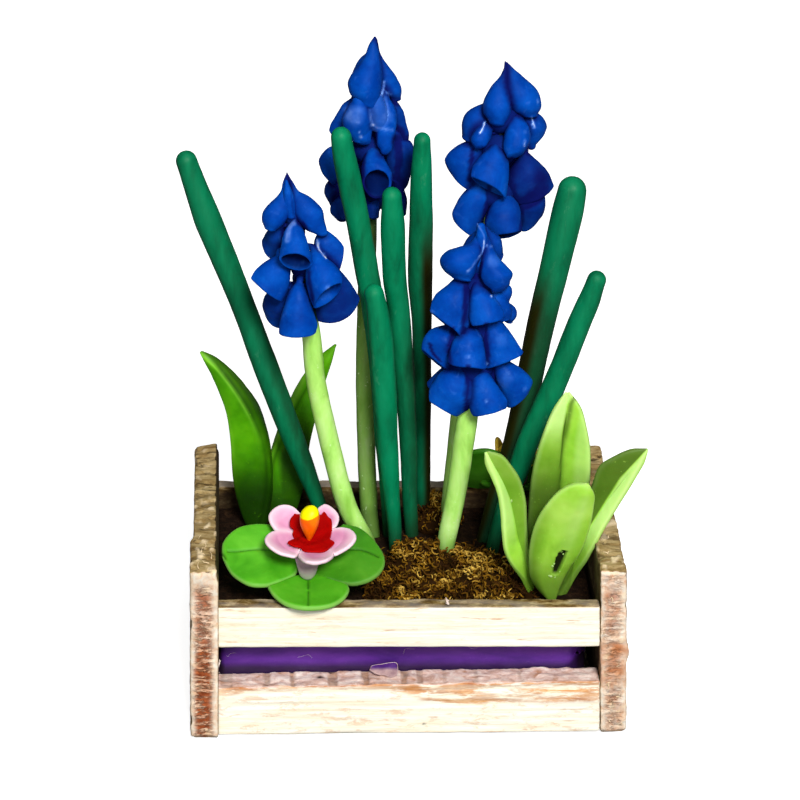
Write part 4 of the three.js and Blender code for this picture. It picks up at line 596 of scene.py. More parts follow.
            {"k": "bud", "L": [[7.43, -0.4, 33.31], [7.47, -0.36, 33.09], [7.52, -0.31, 32.87], [7.57, -0.27, 32.65], [7.62, -0.23, 32.44], [7.69, -0.19, 32.22], [7.76, -0.14, 32.01], [7.83, -0.1, 31.8]], "R": [[8.03, -0.4, 33.34], [8.25, -0.36, 33.15], [8.46, -0.31, 32.96], [8.65, -0.27, 32.75], [8.77, -0.23, 32.48], [8.77, -0.19, 32.18], [8.64, -0.14, 31.94], [8.48, -0.1, 31.7]], "B": [8.14, -0.1, 31.52]},
        ],
        [
            {"k": "bell", "L": [[2.89, -0.8, 31.58], [2.49, -0.87, 31.49], [2.09, -0.94, 31.39], [1.75, -1.01, 31.2], [1.46, -1.09, 30.9], [1.25, -1.16, 30.56], [1.15, -1.23, 30.16], [1.08, -1.3, 29.75]], "R": [[3.83, -0.8, 31.36], [3.83, -0.87, 30.86], [3.81, -0.94, 30.37], [3.72, -1.01, 29.89], [3.56, -1.09, 29.42], [3.38, -1.16, 28.97], [3.17, -1.23, 28.53], [2.95, -1.3, 28.09]], "f": -0.12, "b": 0.2, "open": 1, "tk": 0.5},
            {"k": "bell", "L": [[4.59, -1.4, 31.91], [4.26, -1.66, 31.6], [3.94, -1.91, 31.28], [3.64, -2.17, 30.95], [3.39, -2.43, 30.59], [3.21, -2.69, 30.19], [3.13, -2.94, 29.76], [3.14, -3.2, 29.33]], "R": [[5.3, -1.4, 31.95], [5.59, -1.66, 31.61], [5.81, -1.91, 31.24], [5.96, -2.17, 30.83], [6.08, -2.43, 30.41], [6.18, -2.69, 29.98], [6.25, -2.94, 29.55], [6.31, -3.2, 29.12]], "f": 0.36, "b": 0.0, "tip": [0.9, 0.13]},
            {"k": "bell", "L": [[6.03, -1.0, 31.59], [6.11, -1.1, 31.16], [6.19, -1.2, 30.73], [6.26, -1.3, 30.29], [6.31, -1.4, 29.86], [6.37, -1.5, 29.42], [6.48, -1.6, 28.99], [6.64, -1.7, 28.58]], "R": [[7.64, -1.0, 31.84], [7.88, -1.1, 31.56], [8.12, -1.2, 31.27], [8.34, -1.3, 30.97], [8.55, -1.4, 30.66], [8.77, -1.5, 30.35], [9.0, -1.6, 30.05], [9.23, -1.7, 29.75]], "f": 0.2, "b": 0.16, "tip": [0.95, 0.12]},
        ],
        [
            {"k": "bell", "L": [[3.23, -1.0, 28.08], [2.87, -1.17, 27.83], [2.54, -1.34, 27.54], [2.26, -1.51, 27.21], [2.01, -1.69, 26.86], [1.79, -1.86, 26.48], [1.73, -2.03, 26.06], [1.77, -2.2, 25.62]], "R": [[4.76, -1.0, 27.79], [4.85, -1.17, 27.25], [4.89, -1.34, 26.72], [4.84, -1.51, 26.18], [4.74, -1.69, 25.65], [4.62, -1.86, 25.12], [4.42, -2.03, 24.63], [4.14, -2.2, 24.16]], "f": 0.08, "b": 0.08},
            {"k": "bell", "L": [[5.33, -1.3, 28.11], [5.13, -1.51, 27.61], [4.97, -1.73, 27.1], [4.91, -1.94, 26.57], [4.89, -2.16, 26.04], [4.89, -2.37, 25.49], [5.0, -2.59, 24.98], [5.26, -2.8, 24.51]], "R": [[6.25, -1.3, 28.17], [6.53, -1.51, 27.75], [6.83, -1.73, 27.34], [7.13, -1.94, 26.94], [7.44, -2.16, 26.54], [7.74, -2.37, 26.13], [8.04, -2.59, 25.7], [7.99, -2.8, 25.25]], "f": 0.16, "b": 0.0},
            {"k": "bell", "L": [[7.04, -0.6, 28.13], [7.21, -0.64, 27.63], [7.4, -0.69, 27.13], [7.61, -0.73, 26.65], [7.84, -0.77, 26.17], [8.05, -0.81, 25.68], [8.26, -0.86, 25.19], [8.46, -0.9, 24.69]], "R": [[8.04, -0.6, 28.49], [8.45, -0.64, 28.24], [8.86, -0.69, 27.98], [9.26, -0.73, 27.69], [9.63, -0.77, 27.38], [9.98, -0.81, 27.02], [10.21, -0.86, 26.59], [10.04, -0.9, 26.12]], "f": 0.24, "b": 0.16},
        ],
    ],
}
# Florets at the back of each spike: kind, top, mouth, radius.
HIDDEN = {
    "left_spike": [
        [
            ["bud", [-9.73, 0.8, 42.86], [-9.28, 2.5, 38.96], 1.04],
        ],
        [
            ["bell", [-8.98, 1.2, 39.38], [-7.71, 3.2, 36.09], 1.05],
        ],
        [
            ["bell", [-8.71, 1.2, 35.85], [-9.29, 3.3, 32.38], 1.3],
        ],
        [
            ["bell", [-8.04, 1.3, 33.56], [-6.83, 3.3, 30.09], 1.14],
        ],
    ],
    "rear_spike": [
        [
            ["bud", [-2.84, 6.9, 52.36], [-4.02, 7.9, 48.29], 0.97],
        ],
        [
            ["bell", [-2.9, 7.4, 47.62], [-3.1, 9.4, 44.32], 1.14],
        ],
        [
            ["bell", [-3.33, 7.2, 43.92], [-4.53, 9.1, 40.96], 1.14],
            ["bell", [-2.44, 7.3, 43.88], [-1.25, 9.3, 41.24], 1.15],
        ],
        [
            ["bell", [-3.03, 7.3, 40.42], [-3.08, 9.3, 37.73], 1.15],
        ],
    ],
    "right_spike": [
        [
            ["bud", [7.78, 6.7, 50.8], [8.5, 8.2, 46.87], 0.97],
        ],
        [
            ["bud", [7.6, 7.1, 47.09], [8, 9.1, 43.79], 1.06],
        ],
        [
            ["bell", [7.37, 7.1, 44], [6.63, 9.2, 40.61], 1.23],
            ["bell", [7.86, 7.1, 44], [9.41, 9.1, 40.84], 1.23],
        ],
        [
            ["bell", [6.99, 7.1, 40.36], [6.22, 9, 37.18], 1.23],
            ["bell", [7.48, 7.1, 40.36], [8.86, 9.1, 37.32], 1.23],
        ],
    ],
    "front_spike": [
        [
            ["bud", [5.59, -0.2, 39.55], [4.98, 1.5, 36.12], 0.97],
        ],
        [
            ["bud", [5.57, 0.2, 35.43], [5.45, 2, 32.07], 1.05],
            ["bud", [5.87, 0, 35.51], [7.05, 1.8, 32.51], 0.97],
        ],
        [
            ["bell", [4.94, 0, 34.47], [3.98, 1.6, 31.36], 1.13],
            ["bell", [5.52, 0.2, 34.21], [6.47, 2.2, 30.93], 1.14],
        ],
        [
            ["bell", [5.37, 0.1, 30.76], [7.04, 2, 27.66], 1.22],
            ["bell", [4.72, 0.1, 30.76], [3.77, 1.9, 27.69], 1.22],
        ],
        [
            ["bell", [4.3, -0.3, 27.41], [2.52, 0.5, 25.64], 1.14],
            ["bell", [4.83, 0.2, 27.02], [4.21, 2.2, 23.63], 1.23],
            ["bell", [5.48, 0.2, 27.02], [6.51, 2.3, 23.95], 1.23],
        ],
    ],
}
# Flat leaves: the two rims and the hinge from the tip to the foot, and the thickness.
LEAVES = {
    "flat_leaf_left_outer": {"L": [[-16.76, 7.0, 25.85], [-16.11, 7.03, 24.52], [-15.52, 7.05, 23.14], [-15.0, 7.08, 21.73], [-14.59, 7.11, 20.26], [-14.35, 7.14, 18.75], [-14.21, 7.16, 17.21], [-14.14, 7.19, 15.66], [-14.02, 7.22, 14.11], [-13.76, 7.25, 12.57], [-13.36, 7.27, 11.06], [-12.81, 7.3, 9.61]], "M": [[-16.71, 6.9, 25.87], [-15.62, 6.78, 24.83], [-14.65, 6.66, 23.67], [-13.75, 6.54, 22.44], [-12.93, 6.54, 21.07], [-12.23, 6.6, 19.61], [-11.65, 6.66, 18.07], [-11.34, 6.73, 16.43], [-11.24, 6.8, 14.75], [-11.33, 6.86, 13.06], [-11.61, 6.93, 11.39], [-11.92, 7.0, 9.72]], "R": [[-16.71, 7.1, 25.84], [-15.41, 7.65, 24.74], [-14.21, 8.05, 23.55], [-13.19, 8.36, 22.16], [-12.28, 8.58, 20.7], [-11.69, 8.72, 19.08], [-11.34, 8.76, 17.41], [-11.09, 8.72, 15.75], [-10.95, 8.58, 14.1], [-10.94, 8.37, 12.49], [-11.14, 8.06, 10.93], [-11.47, 7.6, 9.46]], "t": 0.9},
    "flat_leaf_left_inner": {"L": [[-5.52, 8.3, 25.99], [-6.57, 8.78, 24.76], [-7.55, 9.11, 23.49], [-8.37, 9.37, 22.11], [-9.0, 9.54, 20.62], [-9.57, 9.63, 19.12], [-10.07, 9.64, 17.63], [-10.48, 9.57, 16.14], [-10.81, 9.41, 14.66], [-11.05, 9.18, 13.18], [-11.1, 8.86, 11.72], [-11.04, 8.4, 10.33]], "M": [[-5.5, 8.2, 25.99], [-6.26, 8.27, 24.68], [-7.02, 8.32, 23.38], [-7.76, 8.36, 22.06], [-8.46, 8.39, 20.72], [-9.09, 8.4, 19.34], [-9.67, 8.4, 17.92], [-10.23, 8.39, 16.5], [-10.71, 8.36, 15.04], [-11.0, 8.32, 13.53], [-11.05, 8.27, 11.97], [-10.99, 8.2, 10.43]], "R": [[-5.48, 8.2, 25.99], [-5.8, 8.18, 24.53], [-6.22, 8.16, 23.09], [-6.62, 8.15, 21.64], [-6.96, 8.13, 20.17], [-7.26, 8.11, 18.68], [-7.56, 8.09, 17.19], [-7.76, 8.07, 15.67], [-7.93, 8.05, 14.14], [-8.18, 8.04, 12.62], [-8.57, 8.02, 11.13], [-9.2, 8.0, 9.74]], "t": 0.8},
    "pale_leaf_back": {"L": [[12.57, -4.2, 27.2], [11.73, -4.18, 25.76], [11.13, -4.16, 24.17], [10.65, -4.15, 22.51], [10.27, -4.13, 20.82], [10.07, -4.11, 19.06], [9.97, -4.09, 17.29], [9.95, -4.07, 15.5], [10.09, -4.05, 13.7], [10.47, -4.04, 11.93], [11.07, -4.02, 10.21], [11.84, -4.0, 8.57]], "M": [[12.77, -4.0, 27.0], [12.71, -3.78, 25.28], [12.58, -3.62, 23.56], [12.54, -3.48, 21.84], [12.5, -3.36, 20.13], [12.45, -3.28, 18.42], [12.42, -3.23, 16.71], [12.42, -3.2, 15.0], [12.43, -3.2, 13.31], [12.45, -3.23, 11.61], [12.47, -3.29, 9.93], [12.48, -3.4, 8.26]], "R": [[12.89, -4.2, 27.2], [13.84, -4.18, 25.79], [14.37, -4.16, 24.13], [14.72, -4.15, 22.41], [14.85, -4.13, 20.66], [14.86, -4.11, 18.91], [14.81, -4.09, 17.14], [14.7, -4.07, 15.38], [14.48, -4.05, 13.62], [14.13, -4.04, 11.89], [13.59, -4.02, 10.22], [13.0, -4.0, 8.57]], "t": 0.75},
    "pale_leaf_front": {"L": [[14.07, -8.9, 21.29], [12.99, -8.73, 21.15], [12.03, -8.55, 20.54], [11.27, -8.38, 19.61], [10.65, -8.21, 18.54], [10.19, -8.04, 17.36], [9.92, -7.86, 16.1], [9.8, -7.69, 14.78], [9.84, -7.52, 13.45], [10.01, -7.35, 12.11], [10.7, -7.17, 11.0], [11.58, -7.0, 10.06]], "M": [[14.2, -8.9, 21.22], [13.97, -8.86, 20.29], [13.66, -8.79, 19.37], [13.37, -8.69, 18.43], [13.1, -8.57, 17.46], [12.83, -8.43, 16.49], [12.57, -8.27, 15.5], [12.37, -8.08, 14.47], [12.21, -7.87, 13.41], [12.07, -7.64, 12.33], [11.95, -7.39, 11.23], [11.84, -7.1, 10.11]], "R": [[14.3, -8.9, 21.22], [14.76, -8.73, 20.27], [14.77, -8.55, 19.18], [14.67, -8.38, 18.11], [14.54, -8.21, 17.03], [14.33, -8.04, 15.98], [14.02, -7.86, 14.96], [13.58, -7.69, 14.02], [13.1, -7.52, 13.11], [12.69, -7.35, 12.13], [12.36, -7.17, 11.11], [12.07, -7.0, 10.06]], "t": 0.75},
    "pale_leaf_left": {"L": [[6.06, -6.5, 22.89], [6.24, -6.65, 21.89], [6.74, -6.75, 20.88], [7.16, -6.82, 19.81], [7.41, -6.85, 18.67], [7.59, -6.86, 17.5], [7.68, -6.83, 16.3], [7.78, -6.77, 15.08], [8.04, -6.68, 13.85], [8.59, -6.56, 12.76], [9.31, -6.41, 11.73], [9.96, -6.2, 10.61]], "M": [[6.22, -6.4, 22.91], [6.65, -6.2, 21.74], [7.19, -6.04, 20.65], [7.7, -5.9, 19.55], [8.14, -5.78, 18.41], [8.43, -5.69, 17.23], [8.73, -5.62, 16.05], [9.03, -5.57, 14.89], [9.42, -5.54, 13.76], [9.73, -5.53, 12.61], [9.96, -5.55, 11.45], [10.18, -5.6, 10.3]], "R": [[6.41, -6.4, 22.96], [7.48, -6.35, 22.57], [8.27, -6.29, 21.62], [8.91, -6.24, 20.56], [9.31, -6.18, 19.35], [9.56, -6.13, 18.1], [9.65, -6.07, 16.83], [9.71, -6.02, 15.55], [9.8, -5.96, 14.26], [9.94, -5.91, 12.97], [10.14, -5.85, 11.69], [10.36, -5.8, 10.4]], "t": 0.7},
    "pale_leaf_right": {"L": [[19.05, -6.6, 23.32], [17.7, -6.51, 23.15], [16.47, -6.42, 22.51], [15.37, -6.33, 21.63], [14.91, -6.24, 20.19], [14.59, -6.15, 18.69], [14.25, -6.05, 17.18], [13.96, -5.96, 15.65], [13.67, -5.87, 14.11], [13.28, -5.78, 12.61], [12.87, -5.69, 11.1], [12.5, -5.6, 9.57]], "M": [[19.08, -6.6, 23.25], [18.47, -6.33, 21.98], [17.82, -6.11, 20.74], [17.1, -5.93, 19.58], [16.36, -5.77, 18.42], [15.67, -5.65, 17.24], [15.07, -5.56, 15.99], [14.62, -5.5, 14.67], [14.18, -5.47, 13.35], [13.65, -5.48, 12.09], [13.16, -5.51, 10.82], [12.66, -5.6, 9.57]], "R": [[19.1, -6.7, 23.23], [18.69, -6.75, 21.99], [18.15, -6.76, 20.8], [17.55, -6.75, 19.64], [16.97, -6.72, 18.45], [16.38, -6.68, 17.25], [15.8, -6.62, 16.03], [15.29, -6.53, 14.76], [14.72, -6.43, 13.51], [14.07, -6.31, 12.3], [13.41, -6.17, 11.09], [12.87, -6.0, 9.77]], "t": 0.7},
}


# ------------------------------------------------------------------ shared small shapes
def from_pixel(px, py, y):
    """Point on the plane at depth y that the camera sees at (px, py)."""
    d = -BACK + RIGHT * (px - 400) / FOCAL_PX - UP * (py - 400) / FOCAL_PX
    return EYE + d * (y - EYE[1]) / d[1]


def project(P):
    d = np.asarray(P, float) - EYE
    z = -(d @ BACK)
    return np.stack([400 + FOCAL_PX * (d @ RIGHT) / z, 400 - FOCAL_PX * (d @ UP) / z], -1)


def inside_px(P, polygon):
    """Distance in pixels from each point's image to the polygon's edge, positive inside."""
    q, poly = project(P), np.array(polygon, float)
    best = np.full(len(q), 1e9)
    odd = np.zeros(len(q), bool)
    for a, b in zip(poly, np.roll(poly, -1, 0)):
        e = b - a
        t = np.clip(((q - a) @ e) / (e @ e), 0, 1)
        best = np.minimum(best, np.linalg.norm(q - a - t[:, None] * e, axis=1))
        cross = (a[1] > q[:, 1]) != (b[1] > q[:, 1])
        x = a[0] + (q[:, 1] - a[1]) * e[0] / (e[1] if abs(e[1]) > 1e-9 else 1e-9)
        odd ^= cross & (q[:, 0] < x)
    return np.where(odd, best, -best)


def nearest(s, px, py):
    """The point of a collected shape that the camera sees nearest to (px, py)."""
    V = np.concatenate(s.v)
    d = np.linalg.norm(project(V) - [px, py], axis=1)
    near = V[d < d.min() + 0.6]
    return near[np.argmax(near @ BACK)]


def lint_mat():
    m = Nodes("lint")
    m.color(m.ramp(m.noise(1.5, 3, 0.5), [(0.3, srgb(210, 176, 158)), (0.6, srgb(246, 232, 224))]))
    m.rough(m.ramp(m.noise(2.0, 3, 0.5), [(0.3, 0.5), (0.7, 0.8)]))
    m.set(Specular_IOR_Level=0.3)
    m.bump((m.noise(6.0, 3, 0.5), 0.01))
    return m.mat


def glue_mat():
    m = Nodes("dried_glue")
    m.color(m.ramp(m.noise(2.0, 3, 0.5), [(0.3, srgb(138, 180, 84)), (0.7, srgb(176, 208, 130))]))
    m.rough(m.ramp(m.noise(2.5, 3, 0.5), [(0.3, 0.25), (0.7, 0.42)]))
    m.set(Coat_Weight=0.15, Coat_Roughness=0.2)
    m.bump((m.noise(2.2, 3, 0.5), 0.02))
    return m.mat


def tag_mat():
    m = Nodes("dried_film")
    base = m.ramp(m.noise(1.2, 4, 0.6), [(0.3, srgb(66, 28, 106)), (0.55, srgb(78, 36, 118)), (0.75, srgb(98, 58, 134))])
    m.color(m.mix(m.attr("low"), base, m.ramp(m.noise(1.4, 4, 0.6), [(0.35, srgb(164, 132, 138)), (0.65, srgb(200, 170, 166))])))
    m.rough(m.ramp(m.noise(2.5, 3, 0.5), [(0.3, 0.45), (0.7, 0.65)]))
    m.set(Specular_IOR_Level=0.15)
    m.bump((m.noise(2.2, 3, 0.5), 0.02))
    return m.mat


LINT, GLUE, FILM = lint_mat(), glue_mat(), tag_mat()


def strand(s, path, r0, r1=None, sides=6, mat=0, flat=1.0, side=(0.3, 0.2, 1), **attrs):
    """A thin tapering fibre along a path."""
    path = np.asarray(path, float)
    T, S, B = frames(path, side)
    th = np.linspace(0, 2 * np.pi, sides, endpoint=False)
    t = np.linspace(0, 1, len(path))
    r = r0 + ((r1 if r1 is not None else r0 * 0.4) - r0) * t
    rings = path[:, None] + r[:, None, None] * (np.cos(th)[None, :, None] * S[:, None] * flat + np.sin(th)[None, :, None] * B[:, None])
    V, F = loft(rings, path[0] - T[0] * r0 * 0.5, path[-1] + T[-1] * r[-1] * 0.7)
    return s.add(V, F, mat, **attrs)


def bead(s, c, r, mat=0, seed=0, squash=(1, 1, 1), **attrs):
    """A rounded lump."""
    th = np.linspace(0, 2 * np.pi, 20, endpoint=False)
    a = np.linspace(0, np.pi, 12)[1:-1]
    rings = np.array([[[np.sin(q) * np.cos(t), np.sin(q) * np.sin(t), np.cos(q)] for t in th] for q in a]) * r * np.array(squash)
    rings = rings + np.array(c)
    V, F = loft(rings, np.array(c) + [0, 0, r * squash[2]], np.array(c) - [0, 0, r * squash[2]])
    return s.add(wobble(V, 1.4, 0.12 * r, seed), F, mat, **attrs)




# ------------------------------------------------------------------ floor
def stage_floor():
    n, size = 24, 3.0
    g = np.linspace(-size, size, n)
    X, Y = np.meshgrid(g, g, indexing="ij")
    V = np.c_[X.ravel(), Y.ravel(), np.full(n * n, -0.00006)]
    i, j = np.meshgrid(np.arange(n - 1), np.arange(n - 1), indexing="ij")
    F = np.stack([i * n + j, (i + 1) * n + j, (i + 1) * n + j + 1, i * n + j + 1], -1).reshape(-1, 4)
    mesh = bpy.data.meshes.new("floor")
    mesh.from_pydata(V.tolist(), [], F.tolist())
    obj = bpy.data.objects.new("floor", mesh)
    scene.collection.objects.link(obj)
    mat = bpy.data.materials.new("pale_floor")
    mat.use_nodes = True
    t = mat.node_tree
    b = t.nodes["Principled BSDF"]
    b.inputs["Base Color"].default_value = (0.94, 0.94, 0.935, 1)
    b.inputs["Roughness"].default_value = 0.9
    b.inputs["Specular IOR Level"].default_value = 0.1
    b.inputs["Emission Color"].default_value = (1, 1, 1, 1)
    b.inputs["Emission Strength"].default_value = 0.8
    dim = t.nodes.new("ShaderNodeBsdfDiffuse")
    dim.inputs[0].default_value = (0.2, 0.2, 0.2, 1)
    mix, path = t.nodes.new("ShaderNodeMixShader"), t.nodes.new("ShaderNodeLightPath")
    t.links.new(path.outputs["Is Camera Ray"], mix.inputs[0])
    t.links.new(dim.outputs[0], mix.inputs[1])
    t.links.new(b.outputs[0], mix.inputs[2])
    t.links.new(mix.outputs[0], t.nodes["Material Output"].inputs["Surface"])
    mesh.materials.append(mat)


stage_floor()

# ------------------------------------------------------------------ crate
H, FRONT, REAR, BOARD = 14.9, -11.7, 12.0, 2.15
LEFT_OUTER, INNER_TOP, LEAN = -17.5, 15.2, 0.6


def right_inner(z):
    return INNER_TOP + LEAN * (1 - z / H)


def board_wood():
    m = Nodes("board_wood")
    n = m.facing_up()
    grain = m.noise(0.9, 5, 0.65, vec=m.stretch((1.0, 0.5, 0.5)), warp=0.5)
    base = m.ramp(grain, [(0.28, srgb(92, 66, 40)), (0.45, srgb(146, 118, 84)), (0.6, srgb(184, 158, 122)), (0.78, srgb(214, 192, 158))])
    top = m.ramp(m.noise(0.8, 5, 0.65, vec=m.stretch((0.5, 1.4, 0.5)), warp=0.7),
                 [(0.28, srgb(104, 74, 34)), (0.46, srgb(156, 130, 82)), (0.6, srgb(188, 164, 116)), (0.78, srgb(226, 204, 158))])
    base = m.mix(m.ramp(n["Z"], [(0.35, 0.0), (0.75, 1.0)]), base, top)
    # the front face is painted cream, paler than the top and sides: partly the wood's colour, partly painted light
    # where the lamps face it
    cream = m.ramp(m.noise(1.3, 5, 0.7, warp=0.5), [(0.3, srgb(232, 180, 142)), (0.46, srgb(254, 230, 204)), (0.62, srgb(255, 250, 236))])
    base = m.mix(m.attr("front"), base, cream)
    base = m.mix(m.math("MULTIPLY", m.attr("col"), 0.75), base, m.ramp(m.noise(1.0, 4, 0.65, vec=m.stretch((0.8, 1.0, 1.4)), warp=0.5), [(0.34, srgb(190, 108, 58)), (0.5, srgb(222, 152, 104)), (0.66, srgb(252, 214, 176))]))
    pitn = m.noise(1.55, 5, 0.7, vec=m.stretch((0.5, 1.0, 2.0)), warp=0.2)
    pits = m.math("MULTIPLY", m.ramp(pitn, [(0.47, 1.0), (0.55, 0.0)]), m.attr("col"))
    base = m.mix(pits, base, m.ramp(m.noise(2.6, 4, 0.6), [(0.35, srgb(124, 54, 22)), (0.65, srgb(190, 102, 56))]))
    crossn = m.noise(1.25, 5, 0.65, vec=m.stretch((0.35, 1.5, 0.5)), warp=0.7)
    cracks = m.math("MULTIPLY", m.ramp(crossn, [(0.33, 1.0), (0.4, 0.0)]), m.attr("topf"))
    base = m.mix(m.math("MULTIPLY", cracks, 0.7), base, srgb(58, 38, 18))
    base = m.mix(m.math("MULTIPLY", m.attr("pit"), 0.6), base, srgb(128, 62, 34))
    # painted shade, grey-tan, on the rounded rims of the front face
    base = m.mix(m.math("MULTIPLY", m.attr("rimdark"), 0.5), base, m.ramp(m.noise(1.4, 4, 0.6), [(0.35, srgb(150, 128, 98)), (0.65, srgb(198, 178, 148))]))
    base = m.mix(m.attr("orange"), base, srgb(196, 116, 62))
    base = m.mix(m.attr("fleck"), base, srgb(250, 226, 186))
    base = m.mix(m.attr("crack"), base, srgb(34, 20, 10))
    # painted shade on the inner face, inside the crate
    base = m.mix(m.attr("inside"), base, srgb(50, 36, 16))
    m.color(base)
    m.rough(m.ramp(m.noise(2.0, 3, 0.6), [(0.3, 0.72), (0.7, 0.95)]))
    m.set(Specular_IOR_Level=0.2)
    m.bump((m.noise(1.2, 5, 0.7, warp=0.5), 0.12), (m.math("MULTIPLY", m.math("ADD", pits, cracks), -1.0), 0.16), (m.noise(5.0, 5, 0.7, vec=m.stretch((1, 1, 0.6))), 0.05))
    return m.mat


def slat_wood():
    m = Nodes("slat_wood")
    long_ = m.stretch((0.045, 1.0, 1.0))
    fine = m.noise(3.4, 5, 0.65, vec=long_, warp=0.15)
    base = m.ramp(fine, [(0.3, srgb(252, 236, 206)), (0.45, srgb(255, 248, 226)), (0.62, srgb(255, 254, 242))])
    broad = m.noise(1.1, 4, 0.6, vec=m.stretch((0.09, 1.0, 1.0)), warp=0.3)
    base = m.mix(m.ramp(broad, [(0.54, 0.0), (0.74, 0.4)]), base, srgb(244, 208, 164))
    streak = m.noise(2.3, 4, 0.6, vec=m.stretch((0.11, 1.0, 1.0)), warp=0.2)
    base = m.mix(m.ramp(streak, [(0.63, 0.0), (0.7, 0.7)]), base, srgb(196, 136, 80))
    mottle = m.noise(1.9, 5, 0.75, vec=m.stretch((0.3, 1.0, 1.0)), warp=0.5)
    base = m.mix(m.math("MULTIPLY", m.ramp(mottle, [(0.53, 0.0), (0.64, 0.6)]), m.attr("stain")), base, srgb(226, 176, 132))
    torn = m.ramp(m.noise(1.0, 5, 0.7, vec=m.stretch((0.8, 1, 1)), warp=0.6), [(0.3, srgb(190, 140, 112)), (0.48, srgb(226, 194, 182)), (0.66, srgb(250, 236, 226))])
    base = m.mix(m.attr("torn"), base, torn)
    rust = m.ramp(m.noise(1.4, 5, 0.7, vec=m.stretch((0.25, 1, 1)), warp=0.6), [(0.34, srgb(170, 96, 44)), (0.54, srgb(214, 148, 88)), (0.7, srgb(240, 200, 150))])
    lines = m.ramp(m.noise(2.3, 5, 0.7, vec=m.stretch((0.14, 1, 1)), warp=0.4), [(0.42, 0.0), (0.54, 1.0)])
    base = m.mix(m.math("MULTIPLY", m.attr("band"), lines), base, rust)
    base = m.mix(m.attr("notch"), base, m.ramp(m.noise(2.0, 3, 0.6), [(0.35, srgb(110, 74, 48)), (0.65, srgb(168, 124, 88))]))
    # painted shade: greyer tops where the light grazes, dark faces towards the inside of the crate
    base = m.mix(m.attr("grime"), base, m.ramp(m.noise(1.6, 4, 0.7, vec=m.stretch((0.5, 1, 1))), [(0.34, srgb(56, 34, 6)), (0.5, srgb(116, 90, 46)), (0.68, srgb(190, 166, 120))]))
    # painted shade, near black, low on the rear slats' inner face
    base = m.mix(m.attr("dark"), base, srgb(30, 18, 8))
    base = m.mix(m.attr("speck"), base, srgb(30, 20, 14))
    m.color(base)
    m.rough(m.ramp(fine, [(0.3, 0.7), (0.7, 0.9)]))
    m.set(Specular_IOR_Level=0.2)
    m.bump((broad, 0.08), (fine, 0.05), (m.noise(6.0, 4, 0.65, vec=m.stretch((0.2, 1, 1))), 0.02))
    return m.mat


BOARD_WOOD, SLAT_WOOD = board_wood(), slat_wood()


